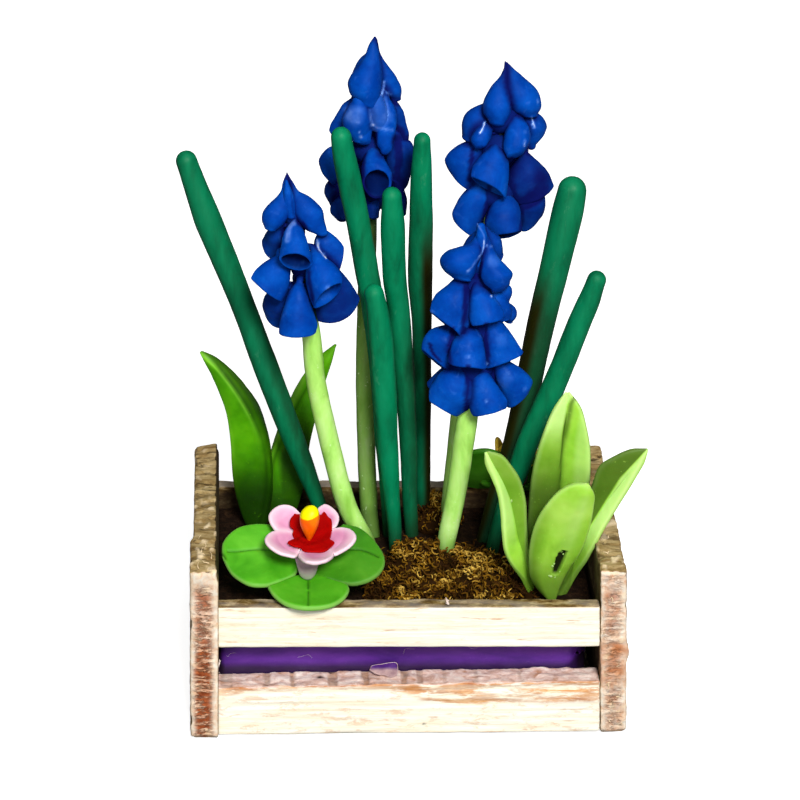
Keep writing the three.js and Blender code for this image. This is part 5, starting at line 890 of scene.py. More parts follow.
def end_board(name, x0, seed, right):
    lo, hi = (x0, FRONT, 0.0), (x0 + BOARD, REAR, H)
    P, faces, N = block((lo[0], hi[0]), (lo[1], hi[1]), (lo[2], hi[2]), 0.16)
    P, N = rounded(P, N, lo, hi, 0.22)
    x, y, z = P.T
    mid = x0 + BOARD / 2
    # a worn rear top corner and a rounded front foot
    for cy, cz, r, oy, oz in ((REAR - 0.5, H - 0.5, 0.5, 1, 1), (FRONT + 0.75, 0.75, 0.75, -1, -1), (REAR - 0.6, 0.6, 0.6, 1, -1), (FRONT + 0.42, H - 0.42, 0.42, -1, 1)):
        dy, dz = (y - cy) * oy, (z - cz) * oz
        inside = (dy > 0) & (dz > 0)
        d = np.maximum(dy, dz)
        q = np.hypot(dy, dz)
        s = np.where(inside & (q > 1e-6), d / np.maximum(q, 1e-6), 1.0)
        y = np.where(inside, cy + dy * s * oy, y)
        z = np.where(inside, cz + dz * s * oz, z)
    out = (x - x0 - BOARD / 2) * (1 if right else -1)
    dx, dz = out - (BOARD / 2 - 0.5), 0.5 - z
    inside = (dx > 0) & (dz > 0)
    s = np.where(inside, np.maximum(dx, dz) / np.maximum(np.hypot(dx, dz), 1e-6), 1.0)
    x = np.where(inside, x + (dx * s - dx) * (1 if right else -1), x)
    z = np.where(inside, 0.5 - dz * s, z)
    Q = np.c_[x, y, z]
    front = (N[:, 1] < -0.5) * 1.0
    top = (N[:, 2] > 0.5) * 1.0
    outer = (N[:, 0] * (1 if right else -1) > 0.5) * 1.0
    inner = (N[:, 0] * (-1 if right else 1) > 0.5) * 1.0
    centre = np.exp(-((x - mid) / 0.62) ** 2)
    body = 0.05 * fbm(Q, 0.55, 3, seed) + 0.035 * fbm(Q, 1.9, 3, seed + 2)
    # cross cracks and pits down the middle of the front edge
    cross = noise(Q * [0.9, 1.1, 2.6], 1.35, seed + 4)
    pit = smooth(-0.12, 0.3, cross + 0.5 * noise(Q * [1, 1, 1.6], 2.9, seed + 6)) * centre * front
    low = smooth(12.8, 10.2, z) if not right else smooth(14.6, 13.4, z) * (0.45 + 0.55 * np.abs(np.sin(z * 1.1)))
    pit = pit * (0.35 + 0.65 * low)
    # broken ridges across the top
    rung = noise(Q * [0.25, 1.0, 0.25], 0.95, seed + 8) + 0.3 * noise(Q, 1.7, seed + 9)
    rung = rung + 0.35 * noise(Q * [0.8, 1.6, 1], 2.2, seed + 10)
    chip = smooth(0.1, 0.3, rung) * top
    curl = smooth(0.30, 0.5, noise(Q * [1.6, 0.9, 1.0], 0.9, seed + 12)) * top * smooth(3.0, -1.0, y)
    dent = smooth(0.3, 0.55, noise(Q, 0.7, seed + 14)) * outer
    d = body + 0.05 * noise(Q * [1, 1, 2.2], 3.0, seed + 33) * front - 0.09 * pit - 0.15 * chip + 0.1 * curl - 0.14 * dent - 0.03 * inner
    if not right:
        d = d + inner * (0.16 - body) * smooth(14.4, 13.8, z)
    Q = Q + N * d[:, None]
    if not right:
        Q[:, 1] -= 0.78 * (1 - z / H) * smooth(2.0, FRONT, y)
    Q[:, 2] += smooth(8.5, 11.4, y) * smooth(2.0, 13.0, z) * (0.3 if right else 0.12 + 0.42 * (x - x0) / BOARD)
    crack = np.zeros(len(Q))
    if not right:
        step = smooth(-5.6, -5.1, Q[:, 1]) * smooth(mid, mid - 0.7, x)
        Q[:, 0] += 0.24 * step
        crack = np.maximum(crack, np.exp(-((Q[:, 1] - 10.2 - 0.25 * noise(Q, 1.2, 3)) / 0.09) ** 2) * top * 0.9)
        crack = np.maximum(crack, np.exp(-(((Q[:, 1] + 8.6) / 0.12) ** 2) - ((x - x0 - BOARD) / 0.35) ** 2) * (top + inner))
        orange = np.zeros(len(Q))
    else:
        Q[:, 0] += right_inner(Q[:, 2]) - x0
        orange = front * smooth(4.2, 5.2, z) * smooth(9.0, 8.0, z) * (0.45 + 0.4 * noise(Q, 1.2, 7))
        Q[:, 0] += 0.22 * np.exp(-((z - 7.6) / 0.7) ** 2) * outer
    # the front face is painted paler, less so near the top: partly the wood's colour, partly painted light
    face = front * (0.82 + 0.18 * smooth(-0.2, 0.4, noise(Q, 0.8, seed + 20)))
    if not right:
        face = face * (0.8 + 0.2 * smooth(13.2, 11.0, z))
    # painted shade on the inner face below the top
    inside = inner * smooth(9.8, 10.6, z) * smooth(FRONT + 0.4, FRONT + 1.6, y) * (0.55 if right else 0.95) + inner * smooth(10.4, 9.6, z) * 0.9 * smooth(FRONT + 1.3, FRONT + 1.7, y)
    wide = np.exp(-((x - mid + 0.15 * noise(Q, 0.5, seed + 3)) / (0.78 if right else 0.7)) ** 4)
    col = front * wide * (smooth(14.2, 12.6, z) * (0.75 + 0.35 * smooth(10.0, 7.0, z)) if not right else smooth(14.8, 14.2, z) * (0.35 + 0.3 * noise(Q, 0.7, 4)))
    # painted shade along the front face's rounded rims
    rimdark = front * smooth(0.35, 0.62, np.abs(x - x0 - (BOARD + 0.12 if right else -0.12)) * -1 + 0.8) * (smooth(-0.3, 0.2, noise(Q, 0.9, seed + 5)) * 0.5 + 0.5) * (0.35 if right else 1.0)
    s = Shape().add(Q, faces, front=face, col=np.clip(col, 0, 1), topf=top, rimdark=np.clip(rimdark, 0, 1), pit=np.clip(pit * 0.7, 0, 1), crack=np.clip(crack + 0.4 * chip * smooth(0.26, 0.5, rung) + 0.1 * pit * smooth(0.3, 0.6, cross), 0, 1),
                    fleck=np.clip(curl + 0.5 * smooth(0.38, 0.6, noise(Q, 1.5, seed + 30)) * (top + front), 0, 1) * 0.8, orange=np.clip(orange, 0, 1), inside=inside)
    # torn fibres curling off the edges
    rs = np.random.RandomState(seed + 40)
    for k in range(16):
        zz = rs.uniform(1.0, 13.8)
        on_top = rs.rand() < 0.4
        base = np.array([mid + rs.uniform(-0.8, 0.8), rs.uniform(-11.2, -2.0), H + 0.02]) if on_top else np.array([mid + (-1 if right else 1) * rs.uniform(-0.75, 0.8), FRONT - 0.02, zz])
        if right:
            base[0] += right_inner(base[2]) - x0
        way = unit(rs.normal(size=3)) * 0.35
        way = way + (np.array([0, 0, 0.2]) if on_top else np.array([0, -0.12, 0.0]))
        t = np.linspace(0, 1, 9)[:, None]
        curlv = np.c_[np.sin(t * 5 + k), np.cos(t * 4 + k), np.sin(t * 3 + 2 * k)] * 0.09
        path = base - way * 0.15 + way * t * rs.uniform(0.8, 1.6) + curlv * t
        path[:, 1] = np.maximum(path[:, 1], FRONT - 0.22)
        T, S, B = frames(path, (0.3, 0.2, 1))
        th = np.linspace(0, 2 * np.pi, 6, endpoint=False)
        r = 0.035 * (1 - 0.8 * t)
        rings = path[:, None] + r[:, None] * (np.cos(th)[None, :, None] * S[:, None] * 1.6 + np.sin(th)[None, :, None] * B[:, None])
        V, F = loft(rings)
        s.add(V, F, fleck=0.9)
    return s.build(name + "_wood", BOARD_WOOD, "board_wood", name)


def slat(name, y0, y1, z0, z1, seed, torn=0.0, front=True, band=False, extra=None):
    x0, x1 = -15.3, 15.16
    P, faces, N = block((x0, x1), (y0, y1), (z0, z1), (0.16, 0.13, 0.12))
    P, N = rounded(P, N, (x0, y0, z0), (x1, y1, z1), 0.12)
    x, y, z = P.T
    top, face = (N[:, 2] > 0.5) * 1.0, (N[:, 1] < -0.5) * 1.0
    # the edges wander a little, as split wood does
    z = z + np.where(N[:, 2] > 0.3, 0.05 * noise(np.c_[x, 0 * x, 0 * x], 0.45, seed), 0) + np.where(N[:, 2] < -0.3, 0.04 * noise(np.c_[x, 0 * x, 0 * x], 0.5, seed + 1), 0)
    Q = np.c_[x, y, z]
    grain = fbm(Q * [0.07, 1.0, 1.0], 2.2, 3, seed + 2)
    groove = smooth(0.28, 0.55, noise(Q * [0.06, 1.0, 1.6], 1.4, seed + 3))
    d = 0.022 * grain - 0.05 * groove * face
    rough_top = fbm(Q * [0.7, 1.0, 1.0], 1.1, 4, seed + 5)
    d = d + top * (0.035 + 0.075 * torn) * rough_top
    dark = np.zeros(len(Q)); stain = (0.35 if not band else 0.9) * np.ones(len(Q))
    notch = np.zeros(len(Q)); speck = np.zeros(len(Q)); bandv = np.zeros(len(Q)); grime = np.zeros(len(Q))
    if band:
        for cx, w, a in ((-14.6, 0.5, 0.5), (-11.35, 0.24, 0.7), (-9.25, 0.18, 0.9), (-6.0, 0.36, 0.9), (-3.35, 0.28, 0.95), (-0.2, 0.26, 0.9), (1.05, 0.22, 0.7), (3.1, 0.16, 0.4), (5.6, 0.2, 0.5), (9.2, 0.16, 0.4)):
            notch = np.maximum(notch, a * smooth(w + 0.08, w - 0.05, np.abs(x - cx + 0.12 * noise(Q, 1.1, 9))) * top * smooth(y0 + 0.1, y0 + 0.35, y))
        d = d - 0.16 * notch
        low_z = z1 - 0.35 - 1.45 * smooth(-2.5, 3.5, x) - 0.3 * smooth(-12.0, -14.5, x)
        edge_z = smooth(low_z - 0.12, low_z + 0.2, z + 0.14 * noise(Q * [0.3, 1, 1], 0.9, 4))
        bandv = face * edge_z * (0.75 + 0.4 * noise(Q * [0.15, 1, 1.2], 1.6, 8)) + top * smooth(y0 + 0.5, y0 + 0.1, y) * (0.5 + 0.5 * smooth(-10.0, -13.0, x))
        bandv = np.clip(bandv, 0, 1)
        lip = smooth(z1 - 0.95, z1 - 0.6, z) * smooth(z1 - 0.05, z1 - 0.4, z) * face
        d = d + 0.06 * lip * noise(Q * [0.2, 1, 1], 1.3, 6) - 0.05 * lip
        speck = np.exp(-((x - 1.42) / 0.13) ** 2 - ((z - 0.92) / 0.08) ** 2) * face + 1.6 * np.exp(-((x + 7.0) / 0.22) ** 2 - ((y - y0 - 1.5) / 0.22) ** 2) * top
    else:
        # painted shade: front slats' tops greyer where the light grazes, their inner faces dark
        grime = top * (0.82 + 0.18 * smooth(-0.2, 0.3, noise(Q * [0.35, 1, 1], 1.0, seed + 9))) if front else np.full(len(Q), 0.25)
        if front:
            grime = grime + (N[:, 1] > 0.5) * 0.9
    # rear slats: painted shade over all, darkest on the face towards the inside and low down
    if not front:
        grime = grime + (N[:, 1] < -0.5) * 1.0 + top * 0.35
        dark = (N[:, 1] < -0.5) * smooth(11.9, 10.9, z) * 0.85 + top * 0.35 * smooth(-13.0, -11.0, x)
    Q = Q + N * d[:, None]
    if band:
        Q[:, 2] += (x - x0) / (x1 - x0) * (0.22 + 0.3 * z / z1)
    Q[:, 0] = np.where(x > 14.5, Q[:, 0] + (right_inner(Q[:, 2]) - 0.04 - x1) * smooth(14.0, x1, x), Q[:, 0])
    s = Shape().add(Q, faces, torn=np.clip(top * torn, 0, 1), band=bandv, notch=np.clip(notch * 0.75, 0, 1), speck=np.clip(speck, 0, 1), grime=np.clip(grime, 0, 1), dark=np.clip(dark, 0, 1), stain=stain)
    mats = [SLAT_WOOD] + (extra(s) if extra else [])
    return s.build(name + "_wood", mats, "slat_wood", name)


def upper_lint(s):
    """A curl of white lint on the top edge."""
    a = from_pixel(446.3, 603.5, FRONT + 0.3)
    for k in range(4):
        t = np.linspace(0, 1, 14)[:, None]
        path = a + np.c_[0.05 * k + 0.09 * np.sin(4 * t + k), 0.07 * np.cos(3 * t + k), -0.04 + (0.62 - 0.1 * k) * t]
        strand(s, path, 0.075, 0.03, 8, 1)
    return [LINT]


def lower_tag(s):
    """A drop of clear glue that hangs from the upper slat onto the lower one, and a curl of lint on its left end."""
    px = [(369.5, 670), (372, 665.5), (381, 664), (390, 662.5), (396.5, 662.8), (397.8, 668), (397, 675), (391, 677.5), (383, 675), (376, 674)]
    P = np.array([from_pixel(x, y, FRONT + 2.45 - 0.11 * max(0, y - 666)) for x, y in px])
    strand(s, spline(P[:7], 60) + [0, -0.04, 0.0], 0.012, 0.018, 6, 2)
    c = P.mean(0)
    rings = []
    for q, h in ((0.15, 0.035), (0.45, 0.033), (0.75, 0.03), (0.95, 0.02), (1.0, 0.0), (0.95, -0.02), (0.5, -0.03), (0.15, -0.03)):
        out = spline(np.r_[P, P[:1]], 41)[:-1]
        rings.append(c + (out - c) * q + np.array([0, -h, 0.1 * h]))
    V, F = loft(rings)
    V = wobble(V, 0.9, 0.04, 4)
    s.add(V, F, 1, low=smooth(667.0, 671.0, project(V)[:, 1]))
    a = from_pixel(217, 660, FRONT + 0.1)
    for k in range(3):
        t = np.linspace(0, 1, 30)[:, None]
        path = a + np.c_[0.16 * np.sin(5 * t + k), -0.12 * np.sin(3 * t) ** 2, -1.15 * t + 0.1 * np.cos(9 * t + k)] + [0.06 * k, 0, 0]
        strand(s, path, 0.03, 0.014, 6, 2)
    return [FILM, LINT]


end_board("end_board_left", LEFT_OUTER, 3, False)
end_board("end_board_right", INNER_TOP, 17, True)
slat("front_slat_upper", FRONT, FRONT + 1.42, 8.08, 11.72, 21, torn=0.35, extra=upper_lint)
slat("front_slat_lower", FRONT, FRONT + 2.62, 0.08, 4.4, 22, torn=1.0, band=True, extra=lower_tag)
slat("rear_slat_upper", REAR - 1.42, REAR, 8.08, 11.72, 23, torn=0.35, front=False)
slat("rear_slat_lower", REAR - 2.62, REAR, 0.08, 4.4, 24, torn=0.6, front=False)
slat("floor_board", -9.04, 9.34, 0.0, 1.2, 25, torn=0.2, front=False)


# ------------------------------------------------------------------ clay block, soil
def purple_clay():
    m = Nodes("purple_clay")
    base = m.ramp(m.noise(0.5, 4, 0.6, vec=m.stretch((0.4, 1, 1)), warp=0.3), [(0.3, srgb(72, 26, 128)), (0.5, srgb(90, 36, 150)), (0.72, srgb(112, 52, 172))])
    base = m.mix(m.ramp(m.noise(2.6, 4, 0.7, warp=0.8), [(0.64, 0.0), (0.74, 0.35)]), base, srgb(150, 104, 196))
    # painted shade, deep violet
    base = m.mix(m.attr("deep"), base, srgb(26, 8, 34))
    m.color(base)
    m.rough(m.ramp(m.noise(1.2, 4, 0.6), [(0.3, 0.38), (0.7, 0.6)]))
    m.set(Specular_IOR_Level=0.4, Coat_Weight=0.08, Coat_Roughness=0.3)
    m.bump((m.noise(0.7, 3, 0.5, vec=m.stretch((0.4, 1, 1))), 0.06), (m.noise(4.5, 4, 0.6), 0.012))
    return m.mat


def soil_mat():
    m = Nodes("soil")
    base = m.ramp(m.noise(1.6, 5, 0.7), [(0.3, srgb(14, 7, 2)), (0.52, srgb(34, 20, 10)), (0.74, srgb(62, 42, 24))])
    m.color(base)
    m.rough(m.ramp(m.noise(3.0, 3, 0.6), [(0.3, 0.8), (0.7, 1.0)]))
    m.set(Specular_IOR_Level=0.1)
    m.bump((m.noise(1.5, 5, 0.7), 0.16), (m.noise(6, 4, 0.7), 0.05))
    return m.mat


def clay_block():
    lo, hi = (-15.25, -9.05, 1.235), (14.75, 9.35, 8.9)
    P, faces, N = block((lo[0], hi[0]), (lo[1], hi[1]), (lo[2], hi[2]), (0.3, 0.34, 0.2))
    P, N = rounded(P, N, lo, hi, 0.5)
    x, y, z = P.T
    # a rolled right end: the front face falls back there
    d = 0.05 * fbm(P * [0.3, 1, 1], 0.8, 3, 50) + 0.02 * fbm(P, 2.2, 2, 53)
    lump = 0.1 * np.sin(z * 0.9 + 0.6 * noise(P, 0.3, 5)) * (N[:, 1] < -0.5)
    P = P + N * (d + lump)[:, None]
    turn = smooth(12.6, 14.8, x)
    P[:, 1] += np.where(y < 0, turn ** 2 * 1.6, 0)
    P[:, 2] += turn ** 2 * np.where(z < 5.5, 0.9, -0.4)
    # painted shade at both ends and along the bottom where the block meets the slat
    end_and_bottom_shade = smooth(-14.8, -15.2, x) + smooth(14.0, 14.7, x) * 0.8 + smooth(5.7, 4.7, z) * 0.9
    s = Shape().add(P, faces, 0, deep=np.clip(end_and_bottom_shade, 0, 1))
    rs = np.random.RandomState(8)
    for k in range(7):
        a = np.array([rs.uniform(-15.0, 13.0), -9.12, rs.uniform(4.7, 7.9)])
        t = np.linspace(0, 1, 10)[:, None]
        w = rs.uniform(0.4, 1.3)
        path = a + np.c_[w * t, 0 * t, 0.3 * rs.normal() * t] + np.c_[0.12 * np.sin(6 * t + k), -0.03 - 0.03 * np.sin(9 * t + k), 0.15 * np.cos(5 * t + 2 * k)]
        strand(s, path, 0.009, 0.005, 5, 1)
    s.build("clay_block_fill", [purple_clay(), LINT], "purple_clay", "clay_block")


def soil():
    lo, hi = (-15.25, -10.25, 8.935), (15.1, 10.55, 9.85)
    P, faces, N = block((lo[0], hi[0]), (lo[1], hi[1]), (lo[2], hi[2]), (0.24, 0.24, 0.2))
    P, N = rounded(P, N, lo, hi, 0.15)
    top = N[:, 2] > 0.3
    P[:, 2] += np.where(top, 0.17 * fbm(P, 0.8, 4, 61) + 0.05 * fbm(P, 3.0, 2, 66), 0)
    s = Shape().add(P, faces)
    rs = np.random.RandomState(12)
    ico = np.array([[0, 0, 1], [0.894, 0, 0.447], [0.276, 0.851, 0.447], [-0.724, 0.526, 0.447], [-0.724, -0.526, 0.447], [0.276, -0.851, 0.447],
                    [0.724, 0.526, -0.447], [-0.276, 0.851, -0.447], [-0.894, 0, -0.447], [-0.276, -0.851, -0.447], [0.724, -0.526, -0.447], [0, 0, -1]])
    tri = np.array([[0, 1, 2], [0, 2, 3], [0, 3, 4], [0, 4, 5], [0, 5, 1], [1, 6, 2], [2, 7, 3], [3, 8, 4], [4, 9, 5], [5, 10, 1],
                    [2, 6, 7], [3, 7, 8], [4, 8, 9], [5, 9, 10], [1, 10, 6], [6, 11, 7], [7, 11, 8], [8, 11, 9], [9, 11, 10], [10, 11, 6]])
    # one split of the icosahedron for rounder crumbs
    edge, verts, faces2 = {}, list(ico), []
    def middle(a, b):
        k = (min(a, b), max(a, b))
        if k not in edge:
            edge[k] = len(verts); verts.append(unit(verts[a] + verts[b]))
        return edge[k]
    for a, b, c in tri:
        ab, bc, ca = middle(a, b), middle(b, c), middle(c, a)
        faces2 += [[a, ab, ca], [b, bc, ab], [c, ca, bc], [ab, bc, ca]]
    ball, ftri = np.array(verts), np.array(faces2)
    for k in range(420):
        c = np.array([rs.uniform(-15.0, 14.9), rs.uniform(-10.0, 10.3), 9.86])
        r = rs.uniform(0.09, 0.3) * (0.6 if rs.rand() < 0.6 else 1.0)
        V = ball * r * rs.uniform(0.7, 1.3, 3)
        V = V * (1 + 0.35 * noise(ball * 1.3 + k, 1.0, k % 7))[:, None] + c
        s.add(V, [ftri])
    s.build("soil_fill", soil_mat(), "soil", "soil")


clay_block()
soil()


# ------------------------------------------------------------------ moss
def moss_mat():
    m = Nodes("moss")
    # tone runs from dark brown to golden: partly random tone, partly painted light on the higher curls
    base = m.ramp(m.attr("tone"), [(0.0, srgb(52, 26, 2)), (0.3, srgb(90, 56, 8)), (0.6, srgb(146, 104, 22)), (1.0, srgb(222, 182, 84))])
    base = m.mix(m.ramp(m.noise(2.4, 4, 0.6), [(0.45, 0.0), (0.7, 0.5)]), base, srgb(92, 74, 16))
    # painted shade in the gaps and under the curls
    base = m.mix(m.attr("deep"), base, srgb(38, 20, 2))
    m.color(base)
    m.rough(m.ramp(m.noise(2.0, 3, 0.6), [(0.3, 0.65), (0.7, 0.95)]))
    m.set(Specular_IOR_Level=0.08)
    m.bump((m.noise(5.0, 4, 0.6), 0.03))
    return m.mat


MOSS = moss_mat()


def moss(name, cx, cy, reach, height, count, seed, floor=9.94):
    n = len(reach)
    ang = np.arange(n) / n * 2 * np.pi - np.pi / 2
    def reach_at(a):
        return np.interp((a + np.pi / 2) % (2 * np.pi), np.r_[ang + np.pi / 2, 2 * np.pi], np.r_[reach, reach[0]])
    def top_at(x, y):
        a, q = np.arctan2(y - cy, x - cx), np.hypot(x - cx, y - cy)
        k = np.clip(q / reach_at(a), 0, 1)
        P = np.c_[x, y, 0 * x]
        h = height(x, y) if callable(height) else height
        return floor + h * np.sqrt(np.clip(1 - k ** 2.2, 0, 1)) * (1 + 0.26 * noise(P, 0.45, seed) + 0.2 * noise(P, 1.1, seed + 1))
    cols, rows = 120, 30
    th = np.linspace(0, 2 * np.pi, cols, endpoint=False)
    rings = []
    for q in np.r_[0.03, np.linspace(0.08, 1, rows) ** 0.9]:
        x, y = cx + np.cos(th) * reach_at(th) * q * 0.95, cy + np.sin(th) * reach_at(th) * q * 0.95
        rings.append(np.c_[x, y, top_at(x, y) - 0.2])
    rings.append(np.c_[x, y, np.full(cols, floor - 0.25)])
    rings = np.array(rings)
    rings = rings + 0.12 * np.stack([noise(rings.reshape(-1, 3), 2.2, seed + k).reshape(rings.shape[:2]) for k in (3, 5, 7)], -1)
    rings[-1, :, 2] = floor - 0.25
    V, F = loft(rings)
    # the mound under the curls is painted dark, as shade
    s = Shape().add(V, F, tone=0.1, deep=0.95)
    rs = np.random.RandomState(seed)
    sides = 4
    th = np.linspace(0, 2 * np.pi, sides, endpoint=False)
    for k in range(count):
        a, q = rs.uniform(0, 2 * np.pi), np.sqrt(rs.uniform(0, 1))
        x, y = cx + np.cos(a) * reach_at(a) * q, cy + np.sin(a) * reach_at(a) * q
        z = top_at(np.array([x]), np.array([y]))[0]
        lift = rs.uniform(-0.35, 0.3)
        patch = noise(np.array([[x, y, 0.0]]), 0.5, seed + 9)[0] + 0.5 * noise(np.array([[x, y, 0.0]]), 1.3, seed + 4)[0]
        if patch < -0.25 and rs.rand() < 0.5:
            lift -= 0.25
        m_ = 11
        t = np.linspace(0, 1, m_)
        L = rs.uniform(0.5, 1.25)
        way = unit(np.array([rs.normal(), rs.normal(), rs.normal() * 0.55 + 0.25]))
        u = unit(np.cross(way, rs.normal(size=3))); v = np.cross(way, u)
        turns, rad, ph = rs.uniform(4.5, 10.5), rs.uniform(0.09, 0.22), rs.uniform(0, 6.28)
        grow = smooth(0, 0.25, t)
        path = (np.array([x, y, z + lift]) + way * ((t - 0.3) * L)[:, None]
                + rad * grow[:, None] * (np.cos(turns * t + ph)[:, None] * u + np.sin(turns * t + ph)[:, None] * v))
        path[:, 1] = np.maximum(path[:, 1], -10.9)
        path[:, 2] = np.maximum(path[:, 2], floor - 0.1)
        T, S, B = frames(path, (0.37, 0.21, 0.9))
        r = rs.uniform(0.042, 0.072) * (1 - 0.55 * np.abs(2 * t - 1) ** 2.5)
        rings = path[:, None] + r[:, None, None] * (1.5 * np.cos(th)[None, :, None] * S[:, None] + 0.8 * np.sin(th)[None, :, None] * B[:, None])
        V, F = loft(rings)
        # higher curls are painted lighter and lower ones darker, painted light and shade, besides a random tone and
        # patches
        tone = np.clip(rs.normal(0.27, 0.22) + 0.8 * patch + 0.4 * lift, 0, 1)
        s.add(V, F, tone=tone, deep=float(np.clip(0.3 - 1.3 * lift - 1.3 * patch, 0, 0.9)) * rs.uniform(0.4, 1.0))
    return s.build(name + "_curls", MOSS, "moss", name)


moss("moss_front", 3.2, -4.4, [6.3, 6.5, 7.6, 7.9, 6.6, 6.5, 6.6, 7.2, 6.9, 6.6, 6.8, 6.9, 6.9, 6.4],
     lambda x, y: 0.95 + 1.9 * np.exp(-((x - 0.7) / 2.2) ** 2 - ((y + 1.8) / 3.0) ** 2) + 0.5 * np.exp(-((x - 6.9) / 1.7) ** 2), 1500, 71)
moss("moss_rear", 3.0, 7.6, [2.6, 2.2, 2.4, 2.2, 2.6, 2.4, 2.2, 2.5], 1.7, 260, 81)


# ------------------------------------------------------------------ stems and tubular leaves
def rod_rings(at, r, rows, cols, seed, tip_rows=7, amount=0.035):
    path = spline(at, rows)
    d = np.r_[0, np.cumsum(np.linalg.norm(np.diff(np.array(at), axis=0), axis=1))]
    rad = np.interp(np.linspace(0, d[-1], rows), d, r)
    rad = np.convolve(np.r_[[rad[0]] * 4, rad, [rad[-1]] * 4], np.ones(9) / 9, "valid")
    if tip_rows:
        # the last point is the very tip
        far = d[-1] - 0.92 * rad[-1]
        long_ = np.r_[0, np.cumsum(np.linalg.norm(np.diff(path, axis=0), axis=1))]
        path = np.stack([np.interp(np.linspace(0, far, rows), long_, path[:, i]) for i in range(3)], 1)
    T, S, B = frames(path, (0, 1, 0.05))
    if tip_rows:
        a = np.linspace(0, np.pi / 2, tip_rows + 1)[1:-1]
        back = path[-1] - T[-1] * rad[-1] * 0.0
        path = np.r_[path, back + T[-1] * (rad[-1] * np.sin(a))[:, None]]
        S, B = np.r_[S, np.repeat(S[-1:], len(a), 0)], np.r_[B, np.repeat(B[-1:], len(a), 0)]
        rad = np.r_[rad, rad[-1] * np.cos(a)]
        end = back + T[-1] * rad[rows - 1]
    else:
        end = None
    th = np.linspace(0, 2 * np.pi, cols, endpoint=False)
    rings = path[:, None] + rad[:, None, None] * (np.cos(th)[None, :, None] * S[:, None] + np.sin(th)[None, :, None] * B[:, None])
    shape = rings.shape
    flat = rings.reshape(-1, 3)
    away = unit(flat - np.repeat(path, cols, 0))
    flat = flat + away * (amount * fbm(flat * [1, 1, 0.5], 0.55, 3, seed))[:, None]
    return flat.reshape(shape), end


TUBE_CLAY, STEM_CLAY, BLUE_CLAY = tube_clay(), stem_clay(), blue_clay()
# how far each rod's clay stands off its CAD line: sideways, up, in radius, for the points from the foot up
WANDER = {
    "tube_leaf_right_tall": ([0, 0.1, 0.15, 0.17, 0.17, 0.08, 0, 0, 0], [0, 0, 0, 0, 0, 0, 0, 0.25, 0.35], [0, 0, 0, 0, 0.02, 0.05, 0.2, 0.34, 0.36]),
    "tube_leaf_right_short": ([0, 0.05, 0.12, 0.22, 0.5, 0.3, 0.24, 0.14], [0, 0, 0, 0, 0, 0, 0.1, 0.12], [0, 0, 0.02, 0.03, 0.05, 0.05, 0.06, 0.06]),
    "tube_leaf_far_left": ([0, 0.1, 0.16, 0.2, 0.02, 0, 0], [0, 0, 0, 0, 0, 0, 0], [0, 0, 0.06, 0.15, 0.08, 0.28, 0.16]),
    "tube_leaf_mid_tall": ([0, 0, 0, 0, 0, 0, 0, -0.08, -0.1], [0] * 9, [0, 0, 0, 0, 0, 0, 0, 0.05, 0.06]),
    "front_spike_stem": ([0, 0, 0.02, 0.1, 0.2, 0.22, 0.22, 0.22, 0.1, 0, 0], [0] * 11, [0] * 11),
}
for name, (dx, dz, dr) in WANDER.items():
    row = (TUBES if name in TUBES else STEMS)[name]
    row["at"] = [[p[0] + a, p[1], p[2] + b] for p, a, b in zip(row["at"], dx, dz)]
    row["r"] = [r + c for r, c in zip(row["r"], dr)]
for k, (name, row) in enumerate(STEMS.items()):
    rings, end = rod_rings(row["at"], row["r"], 130, 32, 100 + k, tip_rows=0)
    V, F = loft(rings, None, end)
    low = {"left": 30.6, "rear": 41.0, "right": 40.0, "front": 26.6}[name.split("_")[0]]
    # painted shade towards the foot
    deep = smooth(13.5, 10.0, V[:, 2])
    # painted near black where the stem runs up among the florets
    inner = smooth(low, low + 0.9, V[:, 2])
    axis = np.c_[np.interp(V[:, 2], np.array(row["at"])[:, 2], np.array(row["at"])[:, 0]), np.interp(V[:, 2], np.array(row["at"])[:, 2], np.array(row["at"])[:, 1])]
    V[:, :2] = axis + (V[:, :2] - axis) * (1 - 0.35 * smooth(low + 1.5, low + 6.0, V[:, 2]))[:, None]
    # the rear stem is painted dark all along, as it stands in shade
    if name.startswith("rear"):
        deep = np.maximum(smooth(15.5, 12.0, V[:, 2]), 0.8 + 0.15 * smooth(30, 40, V[:, 2]))
    Shape().add(V, F, deep=deep, inner=inner).build(name + "_rod", STEM_CLAY, "stem_clay", name)
